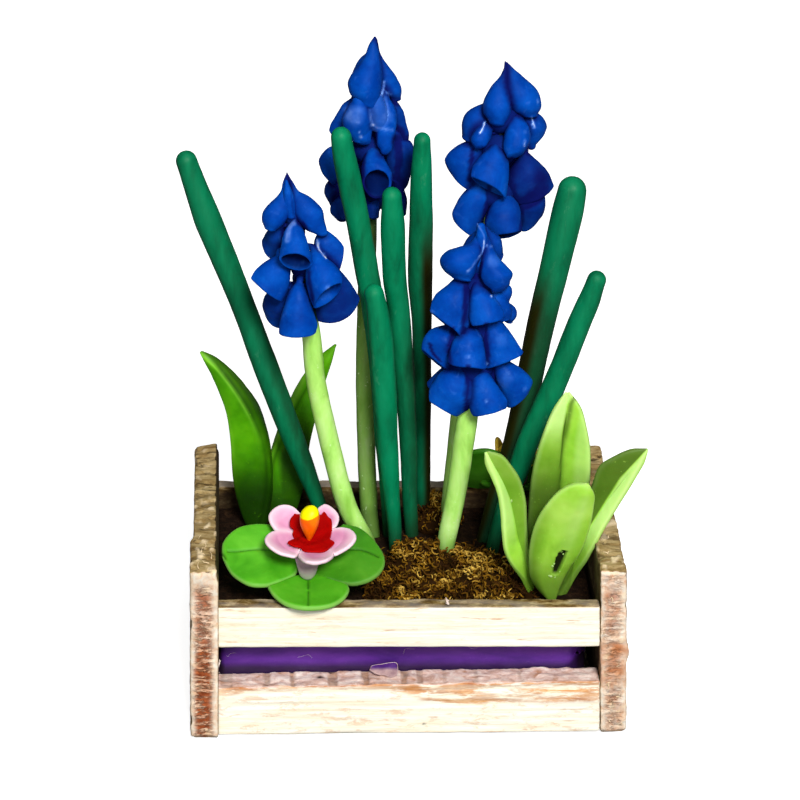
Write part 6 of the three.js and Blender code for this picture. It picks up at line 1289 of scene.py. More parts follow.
for k, (name, row) in enumerate(TUBES.items()):
    rings, end = rod_rings(row["at"], row["r"], 140, 32, 120 + k)
    V, F = loft(rings, None, end)
    # painted shade towards the foot, over whole tubes that stand in shade, and on given stretches
    deep = smooth(15.0, 9.5, V[:, 2])
    deep = np.maximum(deep, {"tube_leaf_far_left": 0.22, "tube_leaf_right_tall": 0.22, "tube_leaf_right_short": 0.15}.get(name, 0.0))
    shadow = {"tube_leaf_right_tall": (37, 28, 0.9), "tube_leaf_mid_right": (43, 36, 0.3), "tube_leaf_mid_short": (34, 24, 0.3)}.get(name)
    if shadow:
        deep = np.maximum(deep, shadow[2] * smooth(shadow[0], shadow[1], V[:, 2]))
    # painted shade: olive down one side of a tube, below a given image row
    olive = np.zeros(len(V))
    side, y0, y1, a = {"tube_leaf_right_tall": (-1, 258, 315, 1.0), "tube_leaf_mid_right": (1, 205, 270, 1.0), "tube_leaf_far_left": (1, 200, 420, 0.35), "tube_leaf_mid_tall": (1, 150, 330, 0.3), "tube_leaf_mid_short": (1, 240, 400, 0.3)}.get(name, (1, 0, 1, 0.0))
    q, c = project(V), project(np.array(row["at"]))[::-1]
    across = (q[:, 0] - np.interp(q[:, 1], c[:, 1], c[:, 0])) / (12.2 * np.mean(row["r"])) * side
    olive = a * smooth(-0.2, 0.55, across) * smooth(y0, y1, q[:, 1])
    Shape().add(V, F, deep=deep, olive=olive).build(name + "_rod", TUBE_CLAY, "dark_leaf_clay", name)


# ------------------------------------------------------------------ flower spikes
def resample(points, n):
    return spline(points, n)


def stem_at(name, z):
    P = np.array(STEMS[name + "_stem"]["at"])
    return np.array([np.interp(z, P[:, 2], P[:, 0]), np.interp(z, P[:, 2], P[:, 1])]).T


def floret(L, R, kind, seed, bottom=None, f=0.2, b=0.2, tk=0.56, tip=None, out=None, ext=(0, 0), neck=None, neck_r=0.6):
    """One pressed clay bell or bud, from its two side outlines. Returns the vertices, faces and the painted shade
    inside the hollow.
    """
    rows = 30
    L, R = resample(L, rows), resample(R, rows)
    wide = (R - L) / 2 * np.interp(np.linspace(0, 1, rows), [0, 0.15, 0.85, 1], [0.6, 1, 1, 0.9])[:, None]
    L, R = L - wide * ext[0], R + wide * ext[1]
    C, Hh = (L + R) / 2, (R - L) / 2
    w = np.linalg.norm(Hh, axis=1)
    A = unit(np.gradient(C, axis=0))
    for _ in range(5):
        A = unit(np.r_[A[:1], (A[:-2] + A[1:-1] * 2 + A[2:]) / 4, A[-1:]])
    face = BACK if out is None else unit(out)
    Hd = unit(Hh)
    N = np.cross(A, Hd)
    N = unit(N * np.sign((N * face).sum(1))[:, None])
    u = np.linspace(0, 1, rows)
    cols = 44
    th = np.linspace(0, 2 * np.pi, cols, endpoint=False)
    if kind == "bell":
        k = 0.95 + (tk - 0.95) * smooth(0.2, 1.0, u)
        pinch = 1 + 0.55 * smooth(0.45, 1.0, u)
    else:
        k = np.full(rows, 0.92)
        pinch = np.ones(rows)
    t = w * k
    c, s = np.cos(th), np.sin(th)
    sp = np.sign(s)[None] * np.abs(s)[None] ** pinch[:, None]
    rings = C[:, None] + Hh[:, None] * c[None, :, None] + N[:, None] * (t[:, None] * sp)[..., None]
    w0 = w[0]
    pre_a = np.linspace(0, np.pi / 2, 6)[1:-1]
    pre = np.array([C[0] - A[0] * w0 * 0.8 * np.cos(a) + (rings[0] - C[0]) * np.sin(a) for a in pre_a])
    start = C[0] - A[0] * w0 * 0.8
    if neck is not None:
        # the neck runs up to the stem under the florets above
        neck = np.array(neck, float)
        bend = C[0] - A[0] * 0.55 * np.linalg.norm(neck - C[0])
        pre = []
        for q in np.linspace(0, 1, 10)[:-1]:
            c0 = neck * (1 - q) ** 2 + bend * 2 * q * (1 - q) + C[0] * q * q
            pre.append(c0 + (rings[0] - C[0]) * (neck_r / max(w0, 0.3) * (1 - q) + q))
        pre, start = np.array(pre), neck
    if kind == "bell":
        e = np.where(s > 0, f * s, b * np.abs(s))
        if tip is not None:
            pos, high = tip
            e = e + np.where(s > -0.2, high * np.exp(-(((c + 1) / 2 - pos) / 0.15) ** 2), 0)
        m = smooth(0.5, 1.0, u)
        rings = rings + A[:, None] * (m[:, None] * e[None])[..., None]
        out_w = rings[-1]
        # the thick rim, rounded over, then the hollow
        wall = min(0.2, 0.2 * w[-1])
        inner = C[-1] + Hh[-1] * (1 - wall / w[-1]) * c[:, None] + N[-1] * (np.maximum(t[-1] - wall, 0.12) * np.sign(s) * np.abs(s) ** 1.5)[:, None] + A[-1] * e[:, None]
        lip = [(out_w * (1 - q) + inner * q) + A[-1] * (0.42 * wall * np.sin(np.pi * q)) for q in (0.2, 0.4, 0.6, 0.8)]
        depth = 0.5 * np.linalg.norm(C[-1] - C[0])
        hollow = []
        for q in np.linspace(0, 1, 9)[1:]:
            scale = np.sqrt(1 - (q * 0.97) ** 2)
            hollow.append(C[-1] - A[-1] * depth * q + (inner - C[-1] - A[-1] * e[:, None]) * scale + A[-1] * e[:, None] * (1 - q))
        rings = np.concatenate([pre, rings, np.array(lip), [inner], np.array(hollow)])
        # painted shade: from the lip down into the hollow
        cav = np.r_[np.zeros(len(pre) + rows), 0.0, 0.0, 0.05, 0.15, 0.5, np.linspace(0.85, 1.0, len(hollow))]
        end = C[-1] - A[-1] * depth * 1.02
    else:
        B = np.array(bottom, float)
        post = []
        for a in np.linspace(0, np.pi / 2, 8)[1:-1]:
            post.append(C[-1] + (B - C[-1]) * np.sin(a) + (rings[-1] - C[-1]) * np.cos(a))
        rings = np.concatenate([pre, rings, np.array(post)])
        cav = np.zeros(len(rings))
        end = B
    n = rings.shape[1]
    V, F = loft(rings, start, end)
    cav = np.r_[np.repeat(cav, n), 0.0, 1.0 if kind == "bell" else 0.0]
    V = wobble(V, 0.55, 0.05, seed) + wobble(V, 2.0, 0.014, seed + 5) - V
    return V, F, cav


# patches of dried glaze with painted glints and highlights, and strokes of painted shade: centre, radius, strength
def glaze_glint_and_shade_at(V, spots, streaks, behind=False):
    g, q = np.zeros(len(V)), project(V)
    rough = noise(V, 1.5, 3)
    for p, r, a in spots:
        g = np.maximum(g, a * smooth(r, r * 0.3, np.linalg.norm(q - p, axis=1) + 0.3 * r * rough))
    for pts, r, a in streaks:
        line = spline(pts, 40)
        d = np.min(np.linalg.norm(q[:, None] - line[None], axis=2), axis=1)
        g = np.maximum(g, a * smooth(r, r * 0.3, d + 0.25 * r * rough))
    return g if behind else g * smooth(-0.4, 0.2, (V - V.mean(0)) @ BACK)


def seams(shells, near=0.12, far=0.65):
    """How close each vertex of every shell lies to the other shells: 1 where they touch."""
    pts = [V[::3].tolist() for V in shells]
    out = []
    for i, V in enumerate(shells):
        lo, hi = V.min(0) - far, V.max(0) + far
        others = [p for j, ps in enumerate(pts) if j != i for p in ps if lo[0] < p[0] < hi[0] and lo[1] < p[1] < hi[1] and lo[2] < p[2] < hi[2]]
        if not others:
            out.append(np.zeros(len(V))); continue
        tree = KDTree(len(others))
        for k, p in enumerate(others):
            tree.insert(p, k)
        tree.balance()
        d = np.array([tree.find(p)[2] for p in V.tolist()])
        out.append(smooth(far, near, d))
    return out


def spike(name, tiers, hidden, spots, streaks, seed, dim=(), webs=(), shade_strokes=(), shut=()):
    dim = dict(dim)
    made, shapes = [], []
    for k, florets in enumerate(tiers):
        s = Shape()
        for j, row in enumerate(florets):
            kw = dict(f=row.get("f", 0.2), b=row.get("b", 0.2), tk=row.get("tk", 0.78 if row.get("open") else 0.56), tip=row.get("tip"))
            me = np.concatenate([np.array(row["L"]), np.array(row["R"])]).mean(0)
            ext = [0.0, 0.0]
            for other in [o for t in (k - 1, k) if t >= 0 for o in tiers[t] if o is not row]:
                d = np.concatenate([np.array(other["L"]), np.array(other["R"])]).mean(0) - me
                dx, up, near = d @ RIGHT, d @ UP, d @ BACK
                if near > 0.3 and 0.3 < abs(dx) < 3.4 and abs(up) < 2.0:
                    ext[1 if dx > 0 else 0] = 0.6
            kw["ext"] = row.get("ext", ext)
            if k:
                zt = me[2] * 0 + max(row["L"][0][2], row["R"][0][2]) + (0.3 if name == "left_spike" else 0.9)
                ax = stem_at(name, zt)
                kw["neck"], kw["neck_r"] = [ax[0], ax[1], zt], (0.4 if name == "left_spike" else 0.6)
            V, F, cav = floret(row["L"], row["R"], row["k"], seed + 10 * k + j, row.get("B"), **kw)
            # florets given in shut get less painted shade in their hollow
            for p, factor in shut:
                if np.linalg.norm(project(me) - p) < 12:
                    cav = cav * factor
            axis = stem_at(name, V[:, 2])
            dist = np.linalg.norm(V[:, :2] - axis, axis=1)
            top = max(np.max(np.array(row["L"])[:, 2]), np.max(np.array(row["R"])[:, 2]))
            # painted shade: navy near the stem, on the side away from the camera, on florets given in dim and along the
            # shade strokes
            deep = smooth(2.1, 0.8, dist) * (0.25 if k == 0 else 0.85)
            back = smooth(0.3, -1.6, (V - np.c_[axis, V[:, 2]]) @ BACK)
            deep = np.clip(deep + 0.6 * back, 0, 1)
            deep = np.maximum(deep, dim.get((k, j), 0.0) * (0.75 + 0.35 * noise(V, 0.6, seed + j)))
            deep = np.maximum(deep, glaze_glint_and_shade_at(V, (), shade_strokes, True))
            made.append((s, V, F, cav, np.clip(deep, 0, 1), glaze_glint_and_shade_at(V, spots, streaks)))
        for tier, left, right, depth, shine in webs:
            if tier == k:
                # clay smeared from one floret to the next
                L = [from_pixel(x, y, depth) for x, y in left]
                R = [from_pixel(x, y, depth) for x, y in right]
                V, F, cav = floret(L, R, "bud", seed + 77, (np.array(L[-1]) + R[-1]) / 2 - [0, 0, 0.25])
                # webs: painted shade from the strokes, and glaze with a painted sheen of at least shine
                made.append((s, V, F, cav, glaze_glint_and_shade_at(V, (), shade_strokes, True), np.maximum(glaze_glint_and_shade_at(V, spots, streaks), shine), "web"))
        for j, (kind, P0, P1, rad) in enumerate(hidden[k]):
            P0, P1 = np.array(P0, float), np.array(P1, float)
            if k:
                ax = stem_at(name, P0[2])
                P0 = np.array([P0[0] * 0.45 + ax[0] * 0.55, P0[1] * 0.45 + ax[1] * 0.55, P0[2] + 0.25])
            A = unit(P1 - P0)
            ax = stem_at(name, (P0[2] + P1[2]) / 2)
            mid = (P0 + P1) / 2
            out = unit(np.array([mid[0] - ax[0], mid[1] - ax[1], 0.0]) + [0, 0.001, 0])
            side = unit(np.cross(A, out))
            n = 10
            u = np.linspace(0, 1, n)
            wid = rad * (np.interp(u, [0, 0.2, 0.45, 0.7, 1], [0.3, 0.72, 0.95, 1.0, 0.97]) if kind == "bell" else np.interp(u, [0, 0.15, 0.4, 0.7, 0.9, 1], [0.08, 0.4, 0.8, 1.0, 0.82, 0.55]))
            end = P1 if kind == "bell" else P1 - A * 0.3 * rad
            line = P0 + (end - P0) * u[:, None] + out * (0.18 * np.sin(np.pi * u) * rad)[:, None]
            V, F, cav = floret(line - side * wid[:, None], line + side * wid[:, None], kind, seed + 200 + 10 * k + j, P1 + A * 0.05, f=0.3, b=0.25, tk=0.72, out=out)
            axis = stem_at(name, V[:, 2])
            dist = np.linalg.norm(V[:, :2] - axis, axis=1)
            # hidden florets are painted in shade
            made.append((s, V, F, cav, np.maximum(smooth(2.0, 0.8, dist) * (0.25 if k == 0 else 0.8), 0.3), np.zeros(len(V))))
        if k:
            # the sleeve of clay round the stem that the florets are pressed onto
            tops = [max(np.max(np.array(r["L"])[:, 2]), np.max(np.array(r["R"])[:, 2])) for r in florets]
            slim = name == "left_spike"
            z1, z0 = max(tops) + (-0.35 if slim else 0.3), min(min(tops), max(tops) - 1.0) - (0.7 if slim else 0.9)
            z = np.linspace(z0, z1, 14)
            c = np.c_[stem_at(name, z), z]
            st = STEMS[name + "_stem"]
            sr = np.interp(z, np.array(st["at"])[:, 2], st["r"]) + (0.3 if slim else 1.05) * np.sin(np.linspace(0.15, np.pi - 0.15, 14)) ** 0.6
            th = np.linspace(0, 2 * np.pi, 28, endpoint=False)
            rings = c[:, None] + sr[:, None, None] * np.stack([np.cos(th), np.sin(th), 0 * th], -1)[None]
            V, F = loft(rings)
            # the sleeve is painted dark, as the shade between the florets
            s.add(wobble(V, 0.8, 0.05, seed + k), F, 0, deep=0.9)
        else:
            # the clay inside the tip, where the buds are pinched together
            top = max(max(r["L"][0][2], r["R"][0][2]) for r in florets)
            z = np.linspace(top - 4.4, top - 0.8, 20)
            apex = np.mean([r["L"][0] for r in florets], axis=0) + [0, 0.35, 0]
            a = stem_at(name, z)
            w = smooth(top - 3.6, top - 0.8, z)[:, None]
            c = np.c_[a * (1 - w) + apex[:2] * w, z]
            r = np.interp(z, [top - 4.4, top - 3.4, top - 2.4, top - 0.8], [0.55, 0.95, 0.75, 0.14])
            th = np.linspace(0, 2 * np.pi, 28, endpoint=False)
            rings = c[:, None] + r[:, None, None] * np.stack([np.cos(th), np.sin(th), 0 * th], -1)[None]
            V, F = loft(rings)
            # painted dark, as shade
            s.add(wobble(V, 0.8, 0.05, seed + k), F, 0, deep=0.65)
        shapes.append(s)
    touch = seams([m[1] if len(m) < 7 else m[1] + 99.0 for m in made])
    # painted shade where the florets touch, less under glaze
    for (s, V, F, cav, deep, g, *_), t in zip(made, touch):
        s.add(V, F, 0, cav=cav, deep=np.clip(deep + 0.75 * t * (1 - 0.8 * g), 0, 1), glaze=g)
    for k, s in enumerate(shapes):
        s.build(f"{name}_buds_clay" if k == 0 else f"{name}_florets_{k}_clay", BLUE_CLAY, "blue_clay", f"{name}_buds" if k == 0 else f"{name}_florets_{k}")


FLORETS["left_spike"][1][2]["ext"] = [0.35, 0.0]
FLORETS["left_spike"][2][1]["ext"] = [0.28, 0.12]
FLORETS["front_spike"][4][2]["ext"] = [0.4, 0.0]
HIDDEN["rear_spike"][3].append(["bell", list(from_pixel(384, 176, 7.4)), list(from_pixel(388, 202, 9.0)), 1.1])
HIDDEN["rear_spike"][2].append(["bell", list(from_pixel(364, 158, 6.8)), list(from_pixel(361, 184, 8.2)), 1.0])
HIDDEN["front_spike"][4].append(["bell", list(from_pixel(489, 358, -0.6)), list(from_pixel(492, 384, 0.4)), 1.0])
FLORETS["front_spike"][4][0]["f"] = 0.06
for end, share in ((-1, 1.0), (-2, 0.75), (-3, 0.4)):
    R = FLORETS["front_spike"][4][0]["R"]
    R[end] = [float(c) for c in np.array(R[end]) + (UP * 0.3 - RIGHT * 0.5) * share]
HIDDEN["left_spike"][1] = [["bell", [-9.5, 1.2, 39.38], [-9.7, 3.0, 36.3], 0.95]]
HIDDEN["left_spike"][2] = [["bell", [-8.4, 1.2, 35.85], [-7.95, 3.3, 32.6], 1.1]]
HIDDEN["left_spike"][3] = [["bell", [-8.3, 1.3, 33.4], [-8.3, 3.1, 30.9], 1.0]]
# Each spike: glaze patches and streaks with painted glints and highlights, florets painted darker as shade, smears,
# strokes of painted shade, hollows with less painted shade.
spike("left_spike", FLORETS["left_spike"], HIDDEN["left_spike"],
      [((317.5, 243.0), 2.6, 0.8), ((324.0, 254.0), 2.2, 0.5), ((328.0, 289.0), 4.5, 0.55), ((294.0, 224.0), 4.0, 0.5)],
      [([(293.5, 219.5), (289.5, 228.0), (287.0, 240.0)], 4.0, 0.55), ([(317.0, 240.0), (319.0, 249.0), (326.0, 258.0)], 1.6, 0.9), ([(297.0, 267.0), (300.5, 263.5), (303.5, 262.5)], 1.2, 0.5)], 300,
      {(1, 1): 0.6, (1, 2): 0.2, (2, 2): 0.75, (3, 1): 0.6}, [(0, [(285.5, 181), (283, 192), (283, 205), (286.5, 216)], [(288.0, 181), (292.5, 192), (295.5, 205), (295.5, 216)], -0.45, 0.0)],
      [([(309.0, 272.0), (310.0, 285.0), (313.0, 300.0)], 3.0, 0.9), ([(291.4, 190.0), (291.8, 200.0), (293.5, 214.0)], 1.5, 0.35), ([(303.0, 223.0), (307.0, 231.0)], 2.4, 0.7)], [((326.0, 274.0), 0.12)])
spike("rear_spike", FLORETS["rear_spike"], HIDDEN["rear_spike"],
      [((354.0, 116.0), 14.0, 0.42), ((386.0, 118.0), 9.0, 0.32), ((361.0, 137.0), 3.2, 0.8), ((373.0, 125.0), 3.4, 0.95), ((359.5, 132.0), 2.2, 0.7), ((358.0, 122.0), 4.0, 0.45)],
      [([(384.0, 82.0), (383.5, 88.0), (381.5, 95.0)], 1.8, 0.9), ([(386.0, 92.0), (391.0, 95.0)], 1.6, 0.6), ([(370.0, 110.0), (371.0, 120.0), (376.0, 127.0), (392.0, 130.0)], 2.4, 0.45), ([(385.0, 98.0), (387.0, 108.0), (390.0, 120.0)], 3.2, 0.3)], 340,
      {(0, 1): 0.12, (1, 2): 0.35, (1, 3): 0.5, (2, 0): 0.2, (2, 1): 0.15, (2, 2): 0.85, (3, 0): 0.5, (3, 1): 0.5, (3, 2): 0.85, (3, 3): 0.95},
      [(1, [(352, 101), (346, 110), (342.5, 120), (344, 130), (350, 138)], [(366, 101), (371, 108), (374, 117), (372, 128), (368, 140)], 4.9, 0.0),
       (1, [(364, 104), (363, 112), (365, 120), (369, 128)], [(383, 98), (388, 108), (391, 118), (388, 130)], 5.3, 0.2)],
      [([(375.0, 132.0), (375.5, 139.0), (374.0, 146.0)], 3.4, 0.95), ([(364.0, 152.0), (362.0, 165.0), (362.0, 178.0), (366.0, 190.0), (374.0, 197.0), (386.0, 197.0)], 5.0, 1.0), ([(397.0, 138.0), (398.5, 160.0), (396.0, 184.0)], 7.5, 1.0)])
spike("right_spike", FLORETS["right_spike"], HIDDEN["right_spike"],
      [((482.0, 129.0), 1.8, 0.9), ((533.0, 124.0), 1.8, 0.9), ((524.5, 143.0), 2.0, 0.9), ((538.0, 101.0), 1.8, 0.55), ((528.0, 103.0), 2.4, 0.35), ((525.0, 132.0), 2.4, 0.3)],
      [([(484.5, 122.5), (483.0, 128.0), (480.0, 133.0)], 1.7, 0.95), ([(531.5, 117.0), (533.5, 123.0), (534.0, 128.0)], 1.4, 0.8), ([(525.0, 140.0), (524.5, 146.0)], 1.5, 0.9)], 380,
      {(1, 0): 0.25, (1, 3): 0.2, (2, 0): 0.15, (2, 2): 1.0, (3, 0): 0.2, (3, 1): 0.35, (3, 2): 0.75}, (),
      [([(472.5, 150.0), (471.0, 162.0), (469.0, 180.0)], 3.2, 0.9), ([(512.0, 160.0), (513.0, 175.0), (513.5, 192.0)], 4.0, 0.95), ([(489.0, 188.0), (488.0, 200.0), (484.0, 225.0)], 4.2, 0.9), ([(522.0, 196.0), (523.0, 215.0), (520.0, 230.0)], 3.5, 0.9),
       ([(506.0, 70.0), (507.0, 82.0), (510.0, 95.0), (512.0, 106.0)], 1.6, 0.6), ([(494.5, 129.0), (495.0, 134.0), (492.0, 141.0)], 2.4, 0.8), ([(500.0, 128.0), (501.0, 134.0), (500.0, 142.0)], 2.6, 0.8)], [((487.0, 172.0), 0.3)])
spike("front_spike", FLORETS["front_spike"], HIDDEN["front_spike"],
      [((491.5, 296.0), 2.0, 0.9), ((487.0, 401.0), 2.4, 0.8), ((468.0, 270.5), 2.4, 0.7), ((487.0, 363.5), 1.8, 0.7), ((493.0, 262.0), 9.0, 0.3), ((505.0, 380.0), 10.0, 0.22), ((502.0, 340.0), 8.0, 0.2), ((468.0, 357.0), 3.2, 0.4), ((525.0, 389.0), 3.0, 0.4), ((432.0, 312.0), 3.0, 0.3)],
      [([(477.0, 224.0), (484.0, 236.0), (482.0, 252.0), (474.0, 264.0), (468.0, 272.0)], 1.5, 0.5), ([(486.0, 246.0), (492.0, 246.0)], 1.2, 0.4), ([(484.0, 240.0), (483.0, 250.0), (479.0, 257.0)], 1.2, 0.85)], 420,
      {(0, 2): 0.3, (1, 0): 0.3, (2, 2): 0.35, (4, 2): 0.1},
      [(0, [(477.5, 226), (475, 240), (473, 252), (474, 264)], [(485, 226), (488, 240), (487, 252), (484, 264)], -1.25, 0.0),
       (2, [(488, 288), (486, 300), (489, 312), (494, 318)], [(500, 290), (508, 300), (512, 310), (511, 317)], -1.2, 0.0)],
      [([(465.5, 287.0), (464.5, 300.0), (464.0, 318.0), (463.0, 332.0)], 3.8, 0.95), ([(453.0, 328.0), (449.5, 345.0), (450.0, 364.0)], 3.0, 0.9), ([(486.0, 325.0), (487.0, 345.0), (488.0, 364.0)], 3.6, 0.9), ([(468.0, 366.0), (467.0, 385.0), (466.0, 410.0)], 3.4, 0.95),
       ([(482.5, 262.0), (480.5, 272.0), (478.0, 283.0)], 2.0, 0.7), ([(430.0, 344.0), (433.0, 353.0), (440.0, 361.0)], 2.4, 1.0)])


# ------------------------------------------------------------------ flat leaves
GREEN = leaf_clay("leaf_clay", srgb(58, 136, 0), srgb(78, 164, 2), srgb(102, 186, 12), srgb(142, 220, 56))
PALE = leaf_clay("pale_leaf_clay", srgb(138, 202, 48), srgb(162, 222, 68), srgb(184, 234, 96), srgb(214, 252, 156))
ROUND = leaf_clay("round_leaf_clay", srgb(58, 146, 14), srgb(82, 172, 28), srgb(106, 192, 46), srgb(158, 214, 108), 0.04)


def sheet_leaf(name, mat, slot, row, seed, dark_half=0, dark=0.5, extra=None, crease=0.9, recess=None, size=(130, 170), paint=None):
    m, cols = size
    L, M, R = (resample(row[k], m) for k in "LMR")
    # the base goes on down into the clay
    foot = max(0.3, (L[-1][2] + R[-1][2]) / 2 - 8.3)
    def reach(P, C):
        d = unit(P[-1] - P[-4])
        d = d / max(0.5, abs(d[2])) * foot
        t = np.linspace(0, 1, 9)[1:, None]
        end = P[-1] + d
        return np.r_[P, P[-1] + (end - P[-1]) * t + (C - P[-1]) * 0.35 * t]
    C = M[-1]
    L, M, R = reach(L, C), reach(M, C), reach(R, C)
    m = len(L)
    u = np.linspace(0, 1, m)
    T = row["t"] / 2 * smooth(-0.02, 0.09, u) ** 0.6
    eps = 0.012
    def at(v):
        r_ = np.sqrt(v * v + eps)
        return M[:, None] + (R - M)[:, None] * ((r_ + v) / 2)[None, :, None] + (L - M)[:, None] * ((r_ - v) / 2)[None, :, None]
    ph = np.linspace(0, 2 * np.pi, cols, endpoint=False) + np.pi / cols
    v = np.sign(np.cos(ph)) * np.abs(np.cos(ph)) ** 0.8
    h = np.sign(np.sin(ph)) * np.abs(np.sin(ph)) ** 0.55
    v = v / np.max(np.abs(v))
    S = at(v)
    dv = at(np.clip(v + 0.02, -1.1, 1.1)) - at(np.clip(v - 0.02, -1.1, 1.1))
    du = np.gradient(S, axis=0)
    N = unit(np.cross(du, dv))
    N = N * np.sign((N @ BACK).mean() or 1)
    flat = S.reshape(-1, 3)
    bulge = 0.05 * noise(flat, 0.5, seed) + 0.02 * noise(flat, 1.4, seed + 2)
    # pinched groove at the hinge on the side that is seen
    groove = 0.13 * crease * np.exp(-(v / 0.07) ** 2) * (h > 0)
    V = S + N * ((T[:, None] * h[None]) - groove[None] * smooth(0.02, 0.15, u)[:, None])[..., None]
    V = V + (N * bulge.reshape(m, cols)[..., None])
    hole = np.zeros((m, cols))
    if recess is not None:
        inside = inside_px(V.reshape(-1, 3), recess).reshape(m, cols) * (h > 0)[None]
        V = V - N * (0.5 * smooth(-0.2, 0.5, inside))[..., None]
        # the recess is painted near black, as shade
        hole = smooth(-0.1, 0.5, inside)
    vv = np.repeat(v[None], m, 0)
    uu = np.repeat(u[:, None], cols, 1)
    # lighter rims and tip: partly the clay's paler rim, partly a painted rim highlight
    edge = np.clip(smooth(0.8, 1.02, np.abs(vv)) * 0.5 + smooth(0.06, 0.0, uu) * 0.4, 0, 1) * smooth(1.0, 0.55, uu)
    fold = np.maximum(np.exp(-(vv / 0.045) ** 2), 0.5 * np.exp(-(vv / 0.17) ** 2)) * smooth(0.03, 0.18, uu) * crease * (h > 0)[None]
    # painted shade on one half of the leaf and towards the foot inside the crate
    shade = (smooth(0.0, 0.12, vv * dark_half) if dark_half else 0 * vv) * dark
    shade = np.maximum(shade, (0.95 * smooth(16.5, 11.0, V[..., 2])) if name.startswith("flat") else 0.75 * smooth(11.8, 9.8, V[..., 2]))
    light = 0 * vv
    # paint gives painted shade (dim) and painted highlights (light)
    if paint:
        dim, light = paint(vv, uu, V)
        shade = np.maximum(shade, dim)
    light = light * (h > 0)[None]
    verts, faces = loft(V)
    tail = lambda a: np.r_[a.ravel(), 0.0, 0.5]
    s = Shape().add(verts, faces, 0, edge=tail(edge), fold=tail(fold), shade=tail(shade), hole=tail(hole), light=tail(light))
    mats = [mat]
    if extra:
        mats += extra(s)
    return s.build(name + "_sheet", mats, slot, name)


def beyond(V, line):
    """How many pixels to the right of a line drawn from top to bottom each point's image falls, and its row."""
    q, L = project(V.reshape(-1, 3)).reshape(V.shape[:-1] + (2,)), np.array(line, float)
    return q[..., 0] - np.interp(q[..., 1], L[:, 1], L[:, 0]), q[..., 1]


# The paint functions give each leaf painted shade (dim) and painted highlights, drawn from lines in the camera's image.
def outer_paint(v, u, V):
    s, y = beyond(V, [(200, 353), (222, 372), (240, 396), (254.6, 422), (265, 446), (268.7, 461), (272, 520)])
    dim = np.maximum(0.62 * smooth(-0.3, 1.8, s) + 0.15 * smooth(4, 10, s), 0.97 * smooth(436, 500, y))
    return dim, 0.55 * np.exp(-((s + 1.8) / 2.2) ** 2) * smooth(450, 400, y) + 0.35 * smooth(-5, -1, s) * smooth(430, 380, y)


def inner_paint(v, u, V):
    s, y = beyond(V, [(335.5, 344.4), (325, 357.6), (303, 378), (294.3, 398.8), (278.7, 431), (269.3, 457.6), (268.4, 504.7)])
    return np.maximum(0.85 * smooth(4.5, 15, s) * (0.35 + 0.65 * smooth(395, 440, y)), 0.95 * smooth(462, 512, y)), 0.6 * smooth(5.5, 1.0, s) * smooth(345, 375, y)


def back_paint(v, u, V):
    s, y = beyond(V, [(576, 391), (568.6, 403.6), (563, 435.6), (560.3, 463.3), (560.3, 520)])
    left = smooth(1.0, -1.5, s)
    dim = left * (0.5 * smooth(420, 462, y) + 0.42 * smooth(455, 498, y)) + (1 - left) * (0.7 * np.exp(-((s - 2.5) / 3.0) ** 2) * smooth(452, 428, y) + 0.5 * smooth(450, 495, y))
    dim = np.maximum(dim, 0.85 * np.exp(-(s / 1.1) ** 2) * smooth(405, 425, y))
    return dim, 0.8 * smooth(0, -3, s) * smooth(452, 415, y) + 0.35 * smooth(10, 18, s)


def front_paint(v, u, V):
    s, y = beyond(V, [(585, 484), (560, 560), (550, 600)])
    return np.clip(0.14 + 0.5 * smooth(548, 590, y) + 0.35 * smooth(-0.45, -0.9, v) * smooth(0.15, 0.5, u), 0, 1), 0.3 * np.exp(-((v - 0.15) / 0.3) ** 2) * smooth(0.02, 0.15, u) * smooth(0.75, 0.3, u)


def right_paint(v, u, V):
    s, y = beyond(V, [(647, 449), (620, 478), (606, 500), (590, 526), (575, 560), (570, 590)])
    return np.maximum(0.84 * smooth(0.8, -0.8, s), 0.7 * smooth(528, 575, y)), 0.75 * smooth(0.0, 2.5, s) * smooth(560, 520, y)


def left_paint(v, u, V):
    s, y = beyond(V, [(480, 450), (530, 590)])
    return np.maximum(0.5 * smooth(0.05, 0.2, v), 0.6 * smooth(545, 588, y)), 0.6 * smooth(-0.1, -0.4, v) * smooth(0.7, 0.4, u)


sheet_leaf("flat_leaf_left_outer", GREEN, "leaf_clay", LEAVES["flat_leaf_left_outer"], 501, paint=outer_paint)
sheet_leaf("flat_leaf_left_inner", GREEN, "leaf_clay", LEAVES["flat_leaf_left_inner"], 502, paint=inner_paint)
sheet_leaf("pale_leaf_back", PALE, "pale_leaf_clay", LEAVES["pale_leaf_back"], 503, crease=1.0, paint=back_paint)
SLOT = [(470 + a / 5, 380 + b / 5) for a, b in ((445, 865), (468, 852), (490, 858), (479, 890), (470, 915), (456, 945), (441, 971), (424, 978), (411, 970), (415, 945), (421, 918), (432, 888))]


def slot_crumbs(s):
    """Crumbs of glue round the slot."""
    rs = np.random.RandomState(3)
    for a, b, r in ((458, 862, 0.11), (466, 874, 0.08), (421, 922, 0.1), (413, 934, 0.12), (431, 968, 0.1), (404, 984, 0.13), (393, 981, 0.09), (446, 958, 0.06), (425, 990, 0.07)):
        px, py = 470 + a / 5, 380 + b / 5
        c = nearest(s, px, py)
        bead(s, c, r, 1, int(rs.randint(99)), (1.0, 0.7, 0.9))
    return [GLUE]


def leaf_drop(s):
    """A drop of glue run down the hinge."""
    for px, py, r in ((511.3, 501.0, 0.1),):
        bead(s, nearest(s, px, py), r, 1, 3, (0.8, 0.6, 1.4))
    return [GLUE]


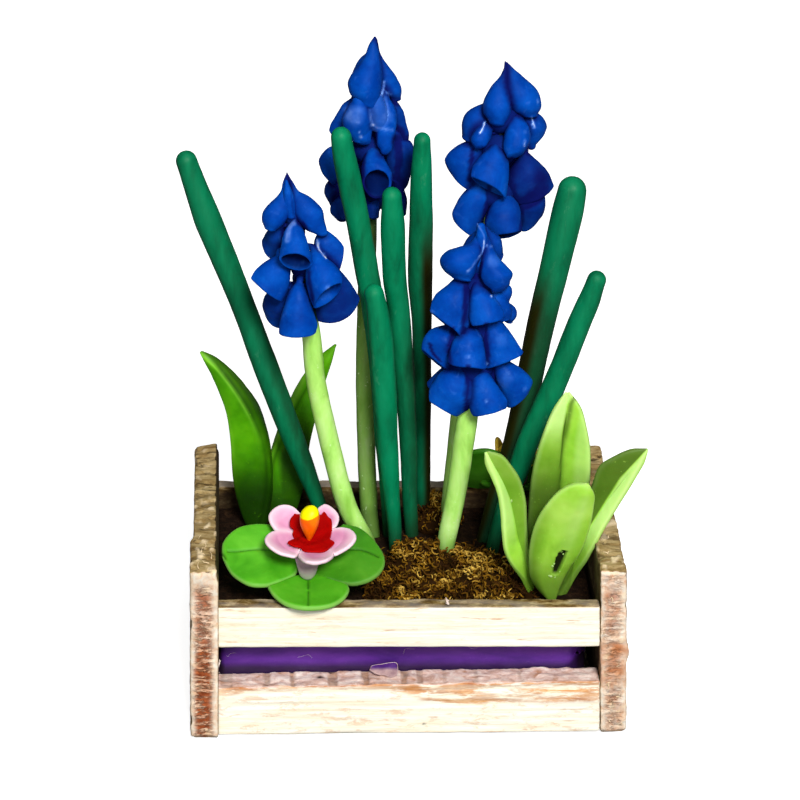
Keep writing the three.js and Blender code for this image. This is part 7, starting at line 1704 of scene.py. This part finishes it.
sheet_leaf("pale_leaf_front", PALE, "pale_leaf_clay", LEAVES["pale_leaf_front"], 504, crease=0.15, recess=SLOT, size=(260, 220), extra=slot_crumbs, paint=front_paint)
sheet_leaf("pale_leaf_left", PALE, "pale_leaf_clay", LEAVES["pale_leaf_left"], 505, crease=1.0, extra=leaf_drop, paint=left_paint)
sheet_leaf("pale_leaf_right", PALE, "pale_leaf_clay", LEAVES["pale_leaf_right"], 506, crease=1.0, paint=right_paint)



# ------------------------------------------------------------------ open blossoms
PINK = leaf_clay("pink_clay", srgb(212, 136, 176), srgb(230, 162, 198), srgb(242, 190, 216), srgb(255, 232, 240), 0.04)
YELLOW = leaf_clay("yellow_clay", srgb(190, 158, 14), srgb(216, 186, 30), srgb(232, 206, 56), srgb(230, 194, 70), 0.03)


def plain_clay(name, dark, mid, light, rough=(0.4, 0.6), veins=0.03, tip=None, spec=0.2):
    m = Nodes(name)
    base = m.ramp(m.noise(0.7, 4, 0.6, warp=0.4), [(0.3, dark), (0.5, mid), (0.72, light)])
    # painted shade
    base = m.mix(m.math("MULTIPLY", m.attr("shade"), 0.8), base, tuple(c * 0.4 for c in dark))
    if tip is not None:
        base = m.mix(m.attr("tip"), base, tip)
    m.color(base)
    m.rough(m.ramp(m.noise(1.3, 4, 0.6), [(0.3, rough[0]), (0.7, rough[1])]))
    m.set(Specular_IOR_Level=spec, Subsurface_Weight=0.06, Subsurface_Scale=0.0005)
    m.bump((m.noise(0.9, 3, 0.5), veins), (m.noise(5.0, 4, 0.6), 0.01))
    return m.mat


RED = plain_clay("red_clay", srgb(150, 0, 0), srgb(168, 0, 0), srgb(178, 2, 2), (0.6, 0.8), spec=0.06)
MAROON = plain_clay("maroon_clay", srgb(74, 4, 10), srgb(96, 8, 14), srgb(120, 16, 20), (0.3, 0.5))
ORANGE = plain_clay("orange_clay", srgb(255, 84, 0), srgb(255, 110, 0), srgb(255, 136, 0), (0.3, 0.5), 0.03, srgb(255, 244, 0))
CALYX = plain_clay("calyx_clay", srgb(176, 138, 164), srgb(206, 168, 190), srgb(224, 196, 212), (0.4, 0.6), 0.03, srgb(96, 130, 78))


class Facing:
    """A tilted frame: x to the right, y along the tilt, z along the normal."""

    def __init__(self, origin, rx=0.0, ry=0.0, turn=0.0):
        cx, sx, cy, sy, cz, sz = np.cos(rx), np.sin(rx), np.cos(ry), np.sin(ry), np.cos(turn), np.sin(turn)
        X = np.array([[1, 0, 0], [0, cx, -sx], [0, sx, cx]])
        Y = np.array([[cy, 0, sy], [0, 1, 0], [-sy, 0, cy]])
        Z = np.array([[cz, -sz, 0], [sz, cz, 0], [0, 0, 1]])
        self.m, self.o = Z @ Y @ X, np.array(origin, float)

    def world(self, P):
        return np.asarray(P) @ self.m.T + self.o

    def drape(self, px, height):
        """Where the camera's rays through these pixels meet the surface z = height(x, y) of the frame."""
        px = np.atleast_2d(px)
        d = -BACK + RIGHT * ((px[:, :1] - 400) / FOCAL_PX) - UP * ((px[:, 1:] - 400) / FOCAL_PX)
        e, v = (EYE - self.o) @ self.m, d @ self.m
        z = np.zeros(len(px))
        for _ in range(24):
            t = (z - e[2]) / v[:, 2]
            q = e + v * t[:, None]
            z = z + 0.7 * (height(q[:, 0], q[:, 1]) - z)
        t = (z - e[2]) / v[:, 2]
        return self.world(e + v * t[:, None])


def pad(s, outline, half, place, mat=0, seed=0, grooves=(), rim=(0.78, 0.97), groove_depth=0.12, n=150, rows=34, **attrs):
    """A pressed disc of clay with rounded rims. outline: closed points of the plane; place maps them to the surface."""
    out = spline(np.r_[outline, outline[:1]], n + 1)[:-1]
    c = out.mean(0)
    q = np.linspace(0.04, 1, rows) ** 0.75
    P = np.array([place(c + (out - c) * k) for k in q])
    size = np.linalg.norm(P[-1] - P[0].mean(0), axis=1).mean()
    dq = np.gradient(P, axis=0)
    dt = np.roll(P, -1, 1) - np.roll(P, 1, 1)
    N = unit(np.cross(dq, dt))
    N[0] = unit(N[0].mean(0))
    ref = N[: rows // 2].mean((0, 1))
    N = N * (1 if ref @ np.array([0, -0.2, 1.0]) > 0 else -1)
    for _ in range(3):
        N = unit(N + np.roll(N, 1, 1) + np.roll(N, -1, 1))
    q0 = 1 - half / size
    a = np.clip((q - q0) / (1 - q0), 0, 1)
    h = half * np.sqrt(np.clip(1 - a * a, 0, 1))
    low = 0.04 * noise(P.reshape(-1, 3), 0.55, seed).reshape(P.shape[:2]) * (1 - a)[:, None]
    fold = np.zeros(P.shape[:2])
    for g in grooves:
        line = place(spline(g, 40))
        d = np.min(np.linalg.norm(P.reshape(-1, 1, 3) - line[None], axis=2), axis=1).reshape(P.shape[:2])
        fold = np.maximum(fold, np.exp(-(d / 0.13) ** 2))
    top = P + N * (h[:, None] + low - groove_depth * fold)[..., None]
    bottom = P - N * (h[:, None] - low)[..., None]
    rings = np.concatenate([top, bottom[-2::-1]])
    V, F = loft(rings)
    # lighter rim: partly the clay's paler rim, partly a painted rim highlight
    edge = np.repeat(smooth(rim[0], rim[1], q)[:, None], n, 1)
    col = lambda x, y: np.r_[x.ravel(), y[-2::-1].ravel(), x[0, 0], y[0, 0]]
    # the underside is painted in shade
    vals = dict(edge=col(edge, edge), fold=col(np.exp(-(np.sqrt(-np.log(np.maximum(fold, 1e-9))) * 0.13 / 0.07) ** 2) if len(grooves) else fold, 0 * fold), shade=col(0 * fold, 0.35 + 0 * fold))
    for k, x in attrs.items():
        vals[k] = x(V) if callable(x) else x
    s.add(V, F, mat, **vals)
    return V


def crop(points, x0=210, y0=490, k=6):
    return np.array([(x0 + a / k, y0 + b / k) for a, b in points])


# the open one in front
HOME = np.array([-7.95, -6.0, 12.55])
HEAD = Facing(HOME + [0.1, -0.1, 2.55], 0.3)


def petal_height(x, y):
    return np.interp(np.hypot(x, y), [0.0, 0.4, 1.5, 2.8, 3.75, 4.6], [-0.05, 0.0, 0.12, 0.4, 0.85, 1.35])


PETALS = [
    [(542, 142), (505, 106), (462, 90), (412, 94), (372, 120), (351, 155), (358, 195), (378, 228), (400, 252), (470, 262), (560, 285), (585, 240), (570, 180)],
    [(652, 104), (690, 85), (732, 104), (765, 138), (775, 168), (766, 208), (738, 238), (690, 262), (610, 290), (590, 240), (620, 160)],
    [(404, 246), (365, 254), (336, 276), (328, 302), (345, 334), (378, 362), (422, 386), (470, 398), (514, 403), (542, 372), (598, 305), (530, 262), (462, 248)],
    [(716, 242), (780, 228), (832, 233), (866, 254), (878, 285), (862, 320), (830, 350), (790, 374), (744, 393), (700, 372), (620, 308), (640, 268)],
    [(548, 360), (528, 394), (545, 420), (576, 437), (626, 448), (680, 437), (722, 416), (744, 392), (735, 372), (690, 330), (610, 296), (570, 322)],
]
s = Shape()
for k, line in enumerate(PETALS):
    lift = (0.0, 0.02, 0.14, 0.16, 0.3)[k]
    middle = crop([(600, 292)])[0]
    out = crop(line)
    far = out[np.argmax(np.linalg.norm(out - middle, axis=1))]
    grooves = []
    pad(s, out, 0.17, lambda p, lift=lift: HEAD.drape(p, lambda x, y: petal_height(x, y) + lift * (0.35 + 0.65 * smooth(0.5, 2.5, np.hypot(x, y)))), 0, 600 + k, grooves, rim=(0.5, 1.05), light=0.0)
s.build("front_blossom_petals_pads", PINK, "pink_clay", "front_blossom_petals")

THROAT = [(506, 143), (482, 176), (480, 216), (500, 236), (496, 262), (508, 290), (522, 306), (500, 320), (468, 312), (466, 320), (500, 338), (543, 348), (562, 368), (620, 374), (676, 372), (712, 356), (748, 317), (722, 298),
          (728, 262), (733, 222), (728, 178), (708, 158), (686, 130), (668, 148), (640, 140), (600, 132), (560, 138), (534, 146)]
s = Shape()
RADIAL = [[(600, 290), (640, 220), (686, 140)], [(600, 295), (680, 270), (730, 240)], [(598, 300), (660, 330), (715, 348)], [(598, 300), (605, 340), (620, 372)], [(590, 295), (530, 250), (482, 216)], [(592, 290), (550, 200), (520, 150)], [(592, 300), (545, 322), (500, 330)]]
pad(s, crop(THROAT), 0.09, lambda p: HEAD.drape(p, lambda x, y: petal_height(x, y) + 0.36 + 0.25 * smooth(0.9, 1.9, np.hypot(x, y))), 0, 620, [crop(g) for g in RADIAL], groove_depth=0.02, n=200, rows=40)
s.build("front_blossom_throat_cup", RED, "red_clay", "front_blossom_throat")


def pistil(name, frame, profile, cols, slot, top=None):
    th = np.linspace(0, 2 * np.pi, cols, endpoint=False)
    prof = spline(profile, 60)
    rings = []
    for r, z in prof:
        bend = 0.05 * (z / 3.3) ** 2
        lean = (-0.72 * (1 - z / 3.35) if top else 0.0)
        slant = (0.16 * r * np.cos(th) * smooth(2.2, 3.0, z) if top else 0.0)
        rings.append(frame.world(np.c_[r * np.cos(th) + bend - 0.1 * (top is not None), r * np.sin(th) + lean, z + slant + np.zeros(cols)]))
    V, F = loft(rings)
    local = (V - frame.o) @ frame.m
    tip = smooth(2.48, 2.6, local[:, 2] + 0.1 * noise(V, 1.0, 5) - 0.16 * local[:, 0] + 0.1 * local[:, 1])
    if top:
        tip = smooth(-0.5, 0.5, inside_px(V, top)) * smooth(1.4, 1.8, local[:, 2])
    lit = Shape().add(wobble(V, 0.8, 0.03, 9), F, 0, tip=tip, shade=0.0)
    return lit.build(name, ORANGE, slot, name.replace("_cone", ""))


YELLOW_TOP = [(292 + a / 14, 498 + b / 14) for a, b in ((112, 240), (120, 200), (155, 148), (205, 106), (270, 80), (330, 86), (364, 130), (378, 190), (374, 240), (332, 265), (280, 300), (215, 318), (150, 302), (118, 275))]
pistil("front_blossom_pistil_cone", HEAD, [(0.05, 0.2), (0.15, 0.42), (0.36, 0.85), (0.58, 1.4), (0.74, 1.9), (0.79, 2.3), (0.78, 2.65), (0.7, 2.95), (0.5, 3.2), (0.26, 3.32), (0.04, 3.35)], 48, "orange_clay", YELLOW_TOP)


def calyx(name, frame, foot, foot_z, wide, fore=None):
    th = np.linspace(0, 2 * np.pi, 48, endpoint=False)
    s = Shape()
    prof = spline([(0.2, -2.5), (0.5, -2.42), (0.58, -2.2), (0.66, -1.4), (0.9, -0.8), (1.5 * wide, -0.32), (1.42 * wide, -0.16), (0.8 * wide, -0.1), (0.2, -0.08)], 50)
    rings = [frame.world(np.c_[r * np.cos(th), r * np.sin(th), np.full(48, z)]) for r, z in prof]
    V, F = loft(rings)
    # painted shade towards the foot
    s.add(wobble(V, 0.7, 0.05, 11), F, 0, shade=smooth(13.4, 12.2, V[:, 2]))
    if fore is not None:
        # the funnel that runs down in front, where the leaves are pressed together
        u = np.linspace(0, 1, 24)
        top = frame.o - frame.m[:, 2] * 0.25 + np.array([-0.2, -0.35, 0])
        line = top + (fore - top) * u[:, None] + np.array([0, -0.25, 0.1]) * np.sin(np.pi * u)[:, None]
        r = np.interp(u, [0, 0.2, 0.45, 0.7, 0.9, 1.0], [1.6, 1.36, 1.04, 0.82, 0.66, 0.42])
        rings = line[:, None] + r[:, None, None] * np.stack([np.cos(th), 0.62 * np.sin(th), 0.25 * np.sin(th)], -1)[None]
        V, F = loft(rings)
        s.add(wobble(V, 0.8, 0.05, 14), F, 0, shade=0.0, tip=smooth(0.4, 0.95, np.r_[np.repeat(u, 48), 0, 1]) * 0.85)
    z = np.linspace(foot_z - 2.55, foot_z + 2.5, 30)
    r = 0.47 + 0.03 * np.sin(z * 2.0)
    rings = np.stack([foot[0] + r[:, None] * np.cos(th), foot[1] + r[:, None] * np.sin(th), np.repeat(z[:, None], 48, 1)], -1)
    V, F = loft(rings)
    # painted shade towards the foot
    s.add(wobble(V, 0.7, 0.04, 12), F, 0, shade=smooth(13.0, 10.5, V[:, 2]))
    # the rear calyx is painted in shade all over
    if fore is None:
        s.a["shade"] = [np.maximum(v, 0.7) for v in s.a["shade"]]
    return s.build(name + "_funnel", CALYX, "calyx_clay", name)


FOOT = Facing([0, 0, 12.95]).drape(np.array([(307.5, 577.5)]), lambda x, y: 0 * x)[0]
calyx("front_blossom_calyx", HEAD, HOME + [0.1, 0.9, 0], HOME[2] - 2.35, 1.0, FOOT)


def round_leaf(name, frame, half, bowl, outline, grooves, seed, thick=0.27, dim=0.0, lit=0.0):
    s = Shape()
    # dim gives painted shade and lit a painted highlight over the whole leaf
    pad(s, crop(outline), thick, lambda p: frame.drape(p, lambda x, y: bowl * np.minimum((x / half[0]) ** 2 + (y / half[1]) ** 2, 1.6)), 0, seed, [crop(g) for g in grooves], rim=(0.93, 1.03), n=180, rows=44, light=lambda V: lit * np.ones(len(V)), shade=lambda V: dim * np.ones(len(V)))
    return s.build(name + "_pad", ROUND, "round_leaf_clay", name)


round_leaf("front_blossom_leaf_left", Facing(HOME + [-3.75, -0.3, 1.1], 0.55, 0.02), (3.6, 3.3), 0.25,
           [(70, 362), (73, 328), (92, 292), (128, 254), (176, 225), (236, 210), (300, 206), (362, 212), (425, 250), (480, 320), (520, 400), (534, 462), (514, 510), (476, 538), (425, 558), (360, 578), (300, 583), (240, 577), (180, 548), (126, 505), (92, 450), (74, 402)],
           [[(105, 380), (160, 378), (220, 370), (280, 365), (330, 367), (390, 374)], [(72, 385), (84, 404), (92, 422)]], 640)
# the right leaf is painted darker, as shade
round_leaf("front_blossom_leaf_right", Facing(HOME + [3.05, -0.4, 1.0], 0.52, -0.05), (3.3, 3.25), 0.25,
           [(800, 206), (850, 214), (902, 232), (952, 268), (1000, 322), (1034, 372), (1049, 418), (1044, 466), (1014, 510), (960, 548), (902, 567), (850, 573), (780, 565), (718, 548), (660, 536), (628, 512), (622, 470), (650, 410), (700, 320), (748, 248)],
           [[(820, 366), (870, 365), (910, 369), (960, 385), (1010, 410)]], 641, dim=0.42)
round_leaf("front_blossom_leaf_front", Facing(HOME + [-0.1, -3.2, -0.05], 0.18), (3.35, 3.1), 0.2,
           [(345, 586), (400, 566), (450, 545), (520, 520), (590, 512), (660, 518), (735, 545), (800, 566), (832, 582), (834, 612), (808, 652), (758, 686), (700, 706), (620, 716), (540, 713), (470, 696), (410, 663), (370, 625)],
           [[(588, 558), (589, 620), (588, 704)]], 642, lit=0.0)

# the one at the back, less open and turned away
HOME2 = np.array([9.9, 7.7, 12.3])


def back_place(p, rx=0.0, ry=0.0):
    return HOME2 + np.array([-p[0], -p[1], p[2]])


HEAD2 = Facing(HOME2 + [0, 0, 2.4], 0.15, 0.0, np.pi)
s = Shape()
for k in range(5):
    a = k / 5 * 2 * np.pi - np.pi / 2
    c_, s_ = np.cos(a), np.sin(a)

    high = 1.0 if k in (0, 1, 2) else 0.62

    def place(p, c_=c_, s_=s_, high=high):
        p = np.atleast_2d(p)
        d = np.interp(p[:, 0], [0, 0.8, 2.1, 3.55], [0.19, 1.0, 1.6, 1.8])
        z = np.interp(p[:, 0], [0, 0.8, 2.1, 3.55], [0.0, 0.3, 1.4, 2.75]) * high
        cup = 0.16 * p[:, 1] ** 2
        d = d - cup * np.interp(p[:, 0], [0, 1.2, 3.5], [0.0, 1.0, 1.0])
        return HEAD2.world(np.c_[c_ * d - s_ * p[:, 1], s_ * d + c_ * p[:, 1], z])

    t = np.linspace(0, 2 * np.pi, 28, endpoint=False)
    along = 1.78 - 1.78 * np.cos(t)
    wide = 0.98 * np.sin(t) * np.interp(along, [0, 1.2, 2.4, 3.56], [0.7, 0.85, 1.05, 1.0])
    pad(s, np.c_[along, wide], 0.16, place, 0, 660 + k, rim=(0.8, 0.97), n=90, rows=26, shade=0.0)
s.build("rear_blossom_petals_pads", YELLOW, "yellow_clay", "rear_blossom_petals")
s = Shape()
t = np.linspace(0, 2 * np.pi, 60, endpoint=False)
r = 1.15 + 0.12 * np.cos(5 * t)
pad(s, np.c_[r * np.cos(t), r * np.sin(t)], 0.16, lambda p: HEAD2.world(np.c_[p, 0.45 + 0.3 * (np.hypot(*np.atleast_2d(p).T) / 1.2) ** 2]), 0, 670, n=100, rows=24)
s.build("rear_blossom_throat_cup", MAROON, "maroon_clay", "rear_blossom_throat")
pistil("rear_blossom_pistil_cone", HEAD2, [(0.05, 0.4), (0.16, 0.6), (0.34, 1.1), (0.5, 1.75), (0.62, 2.4), (0.67, 2.75), (0.6, 3.05), (0.42, 3.26), (0.2, 3.36), (0.04, 3.38)], 48, "orange_clay")
calyx("rear_blossom_calyx", HEAD2, HOME2 + [0, -0.2, 0], HOME2[2] - 2.1, 0.66)


def back_leaf(name, at, half, rx, ry, bowl, seed):
    frame = Facing(HOME2 + [-at[0], -at[1], at[2]], rx, ry, np.pi)
    t = np.linspace(0, 2 * np.pi, 64, endpoint=False)
    r = 1 + 0.03 * np.cos(3 * t + seed) + 0.02 * np.sin(5 * t)
    out = np.c_[half[0] * np.cos(t) * r, half[1] * np.sin(t) * r]
    s = Shape()
    lift = lambda p: frame.world(np.c_[np.atleast_2d(p), bowl * ((np.atleast_2d(p)[:, 0] / half[0]) ** 2 + (np.atleast_2d(p)[:, 1] / half[1]) ** 2)])
    pad(s, out, 0.27, lift, 0, seed, [[(-0.1 * half[0], -0.1 * half[1]), (0.0, -0.5 * half[1]), (0.02, -0.9 * half[1])]], rim=(0.98, 1.06), n=140, rows=36)
    # the rear leaves are painted in shade
    s.a["shade"] = [np.maximum(v, 0.62) for v in s.a["shade"]]
    return s.build(name + "_pad", ROUND, "round_leaf_clay", name)


back_leaf("rear_blossom_leaf_left", (-2.8, -0.2, 2.25), (2.7, 2.7), 0.95, 0.45, 0.25, 681)
back_leaf("rear_blossom_leaf_right", (2.75, -0.35, 2.15), (2.7, 3.2), 0.95, -0.1, 0.25, 682)
back_leaf("rear_blossom_leaf_front", (0, -1.8, 0.4), (3.0, 2.8), 0.2, 0.0, 0.2, 683)
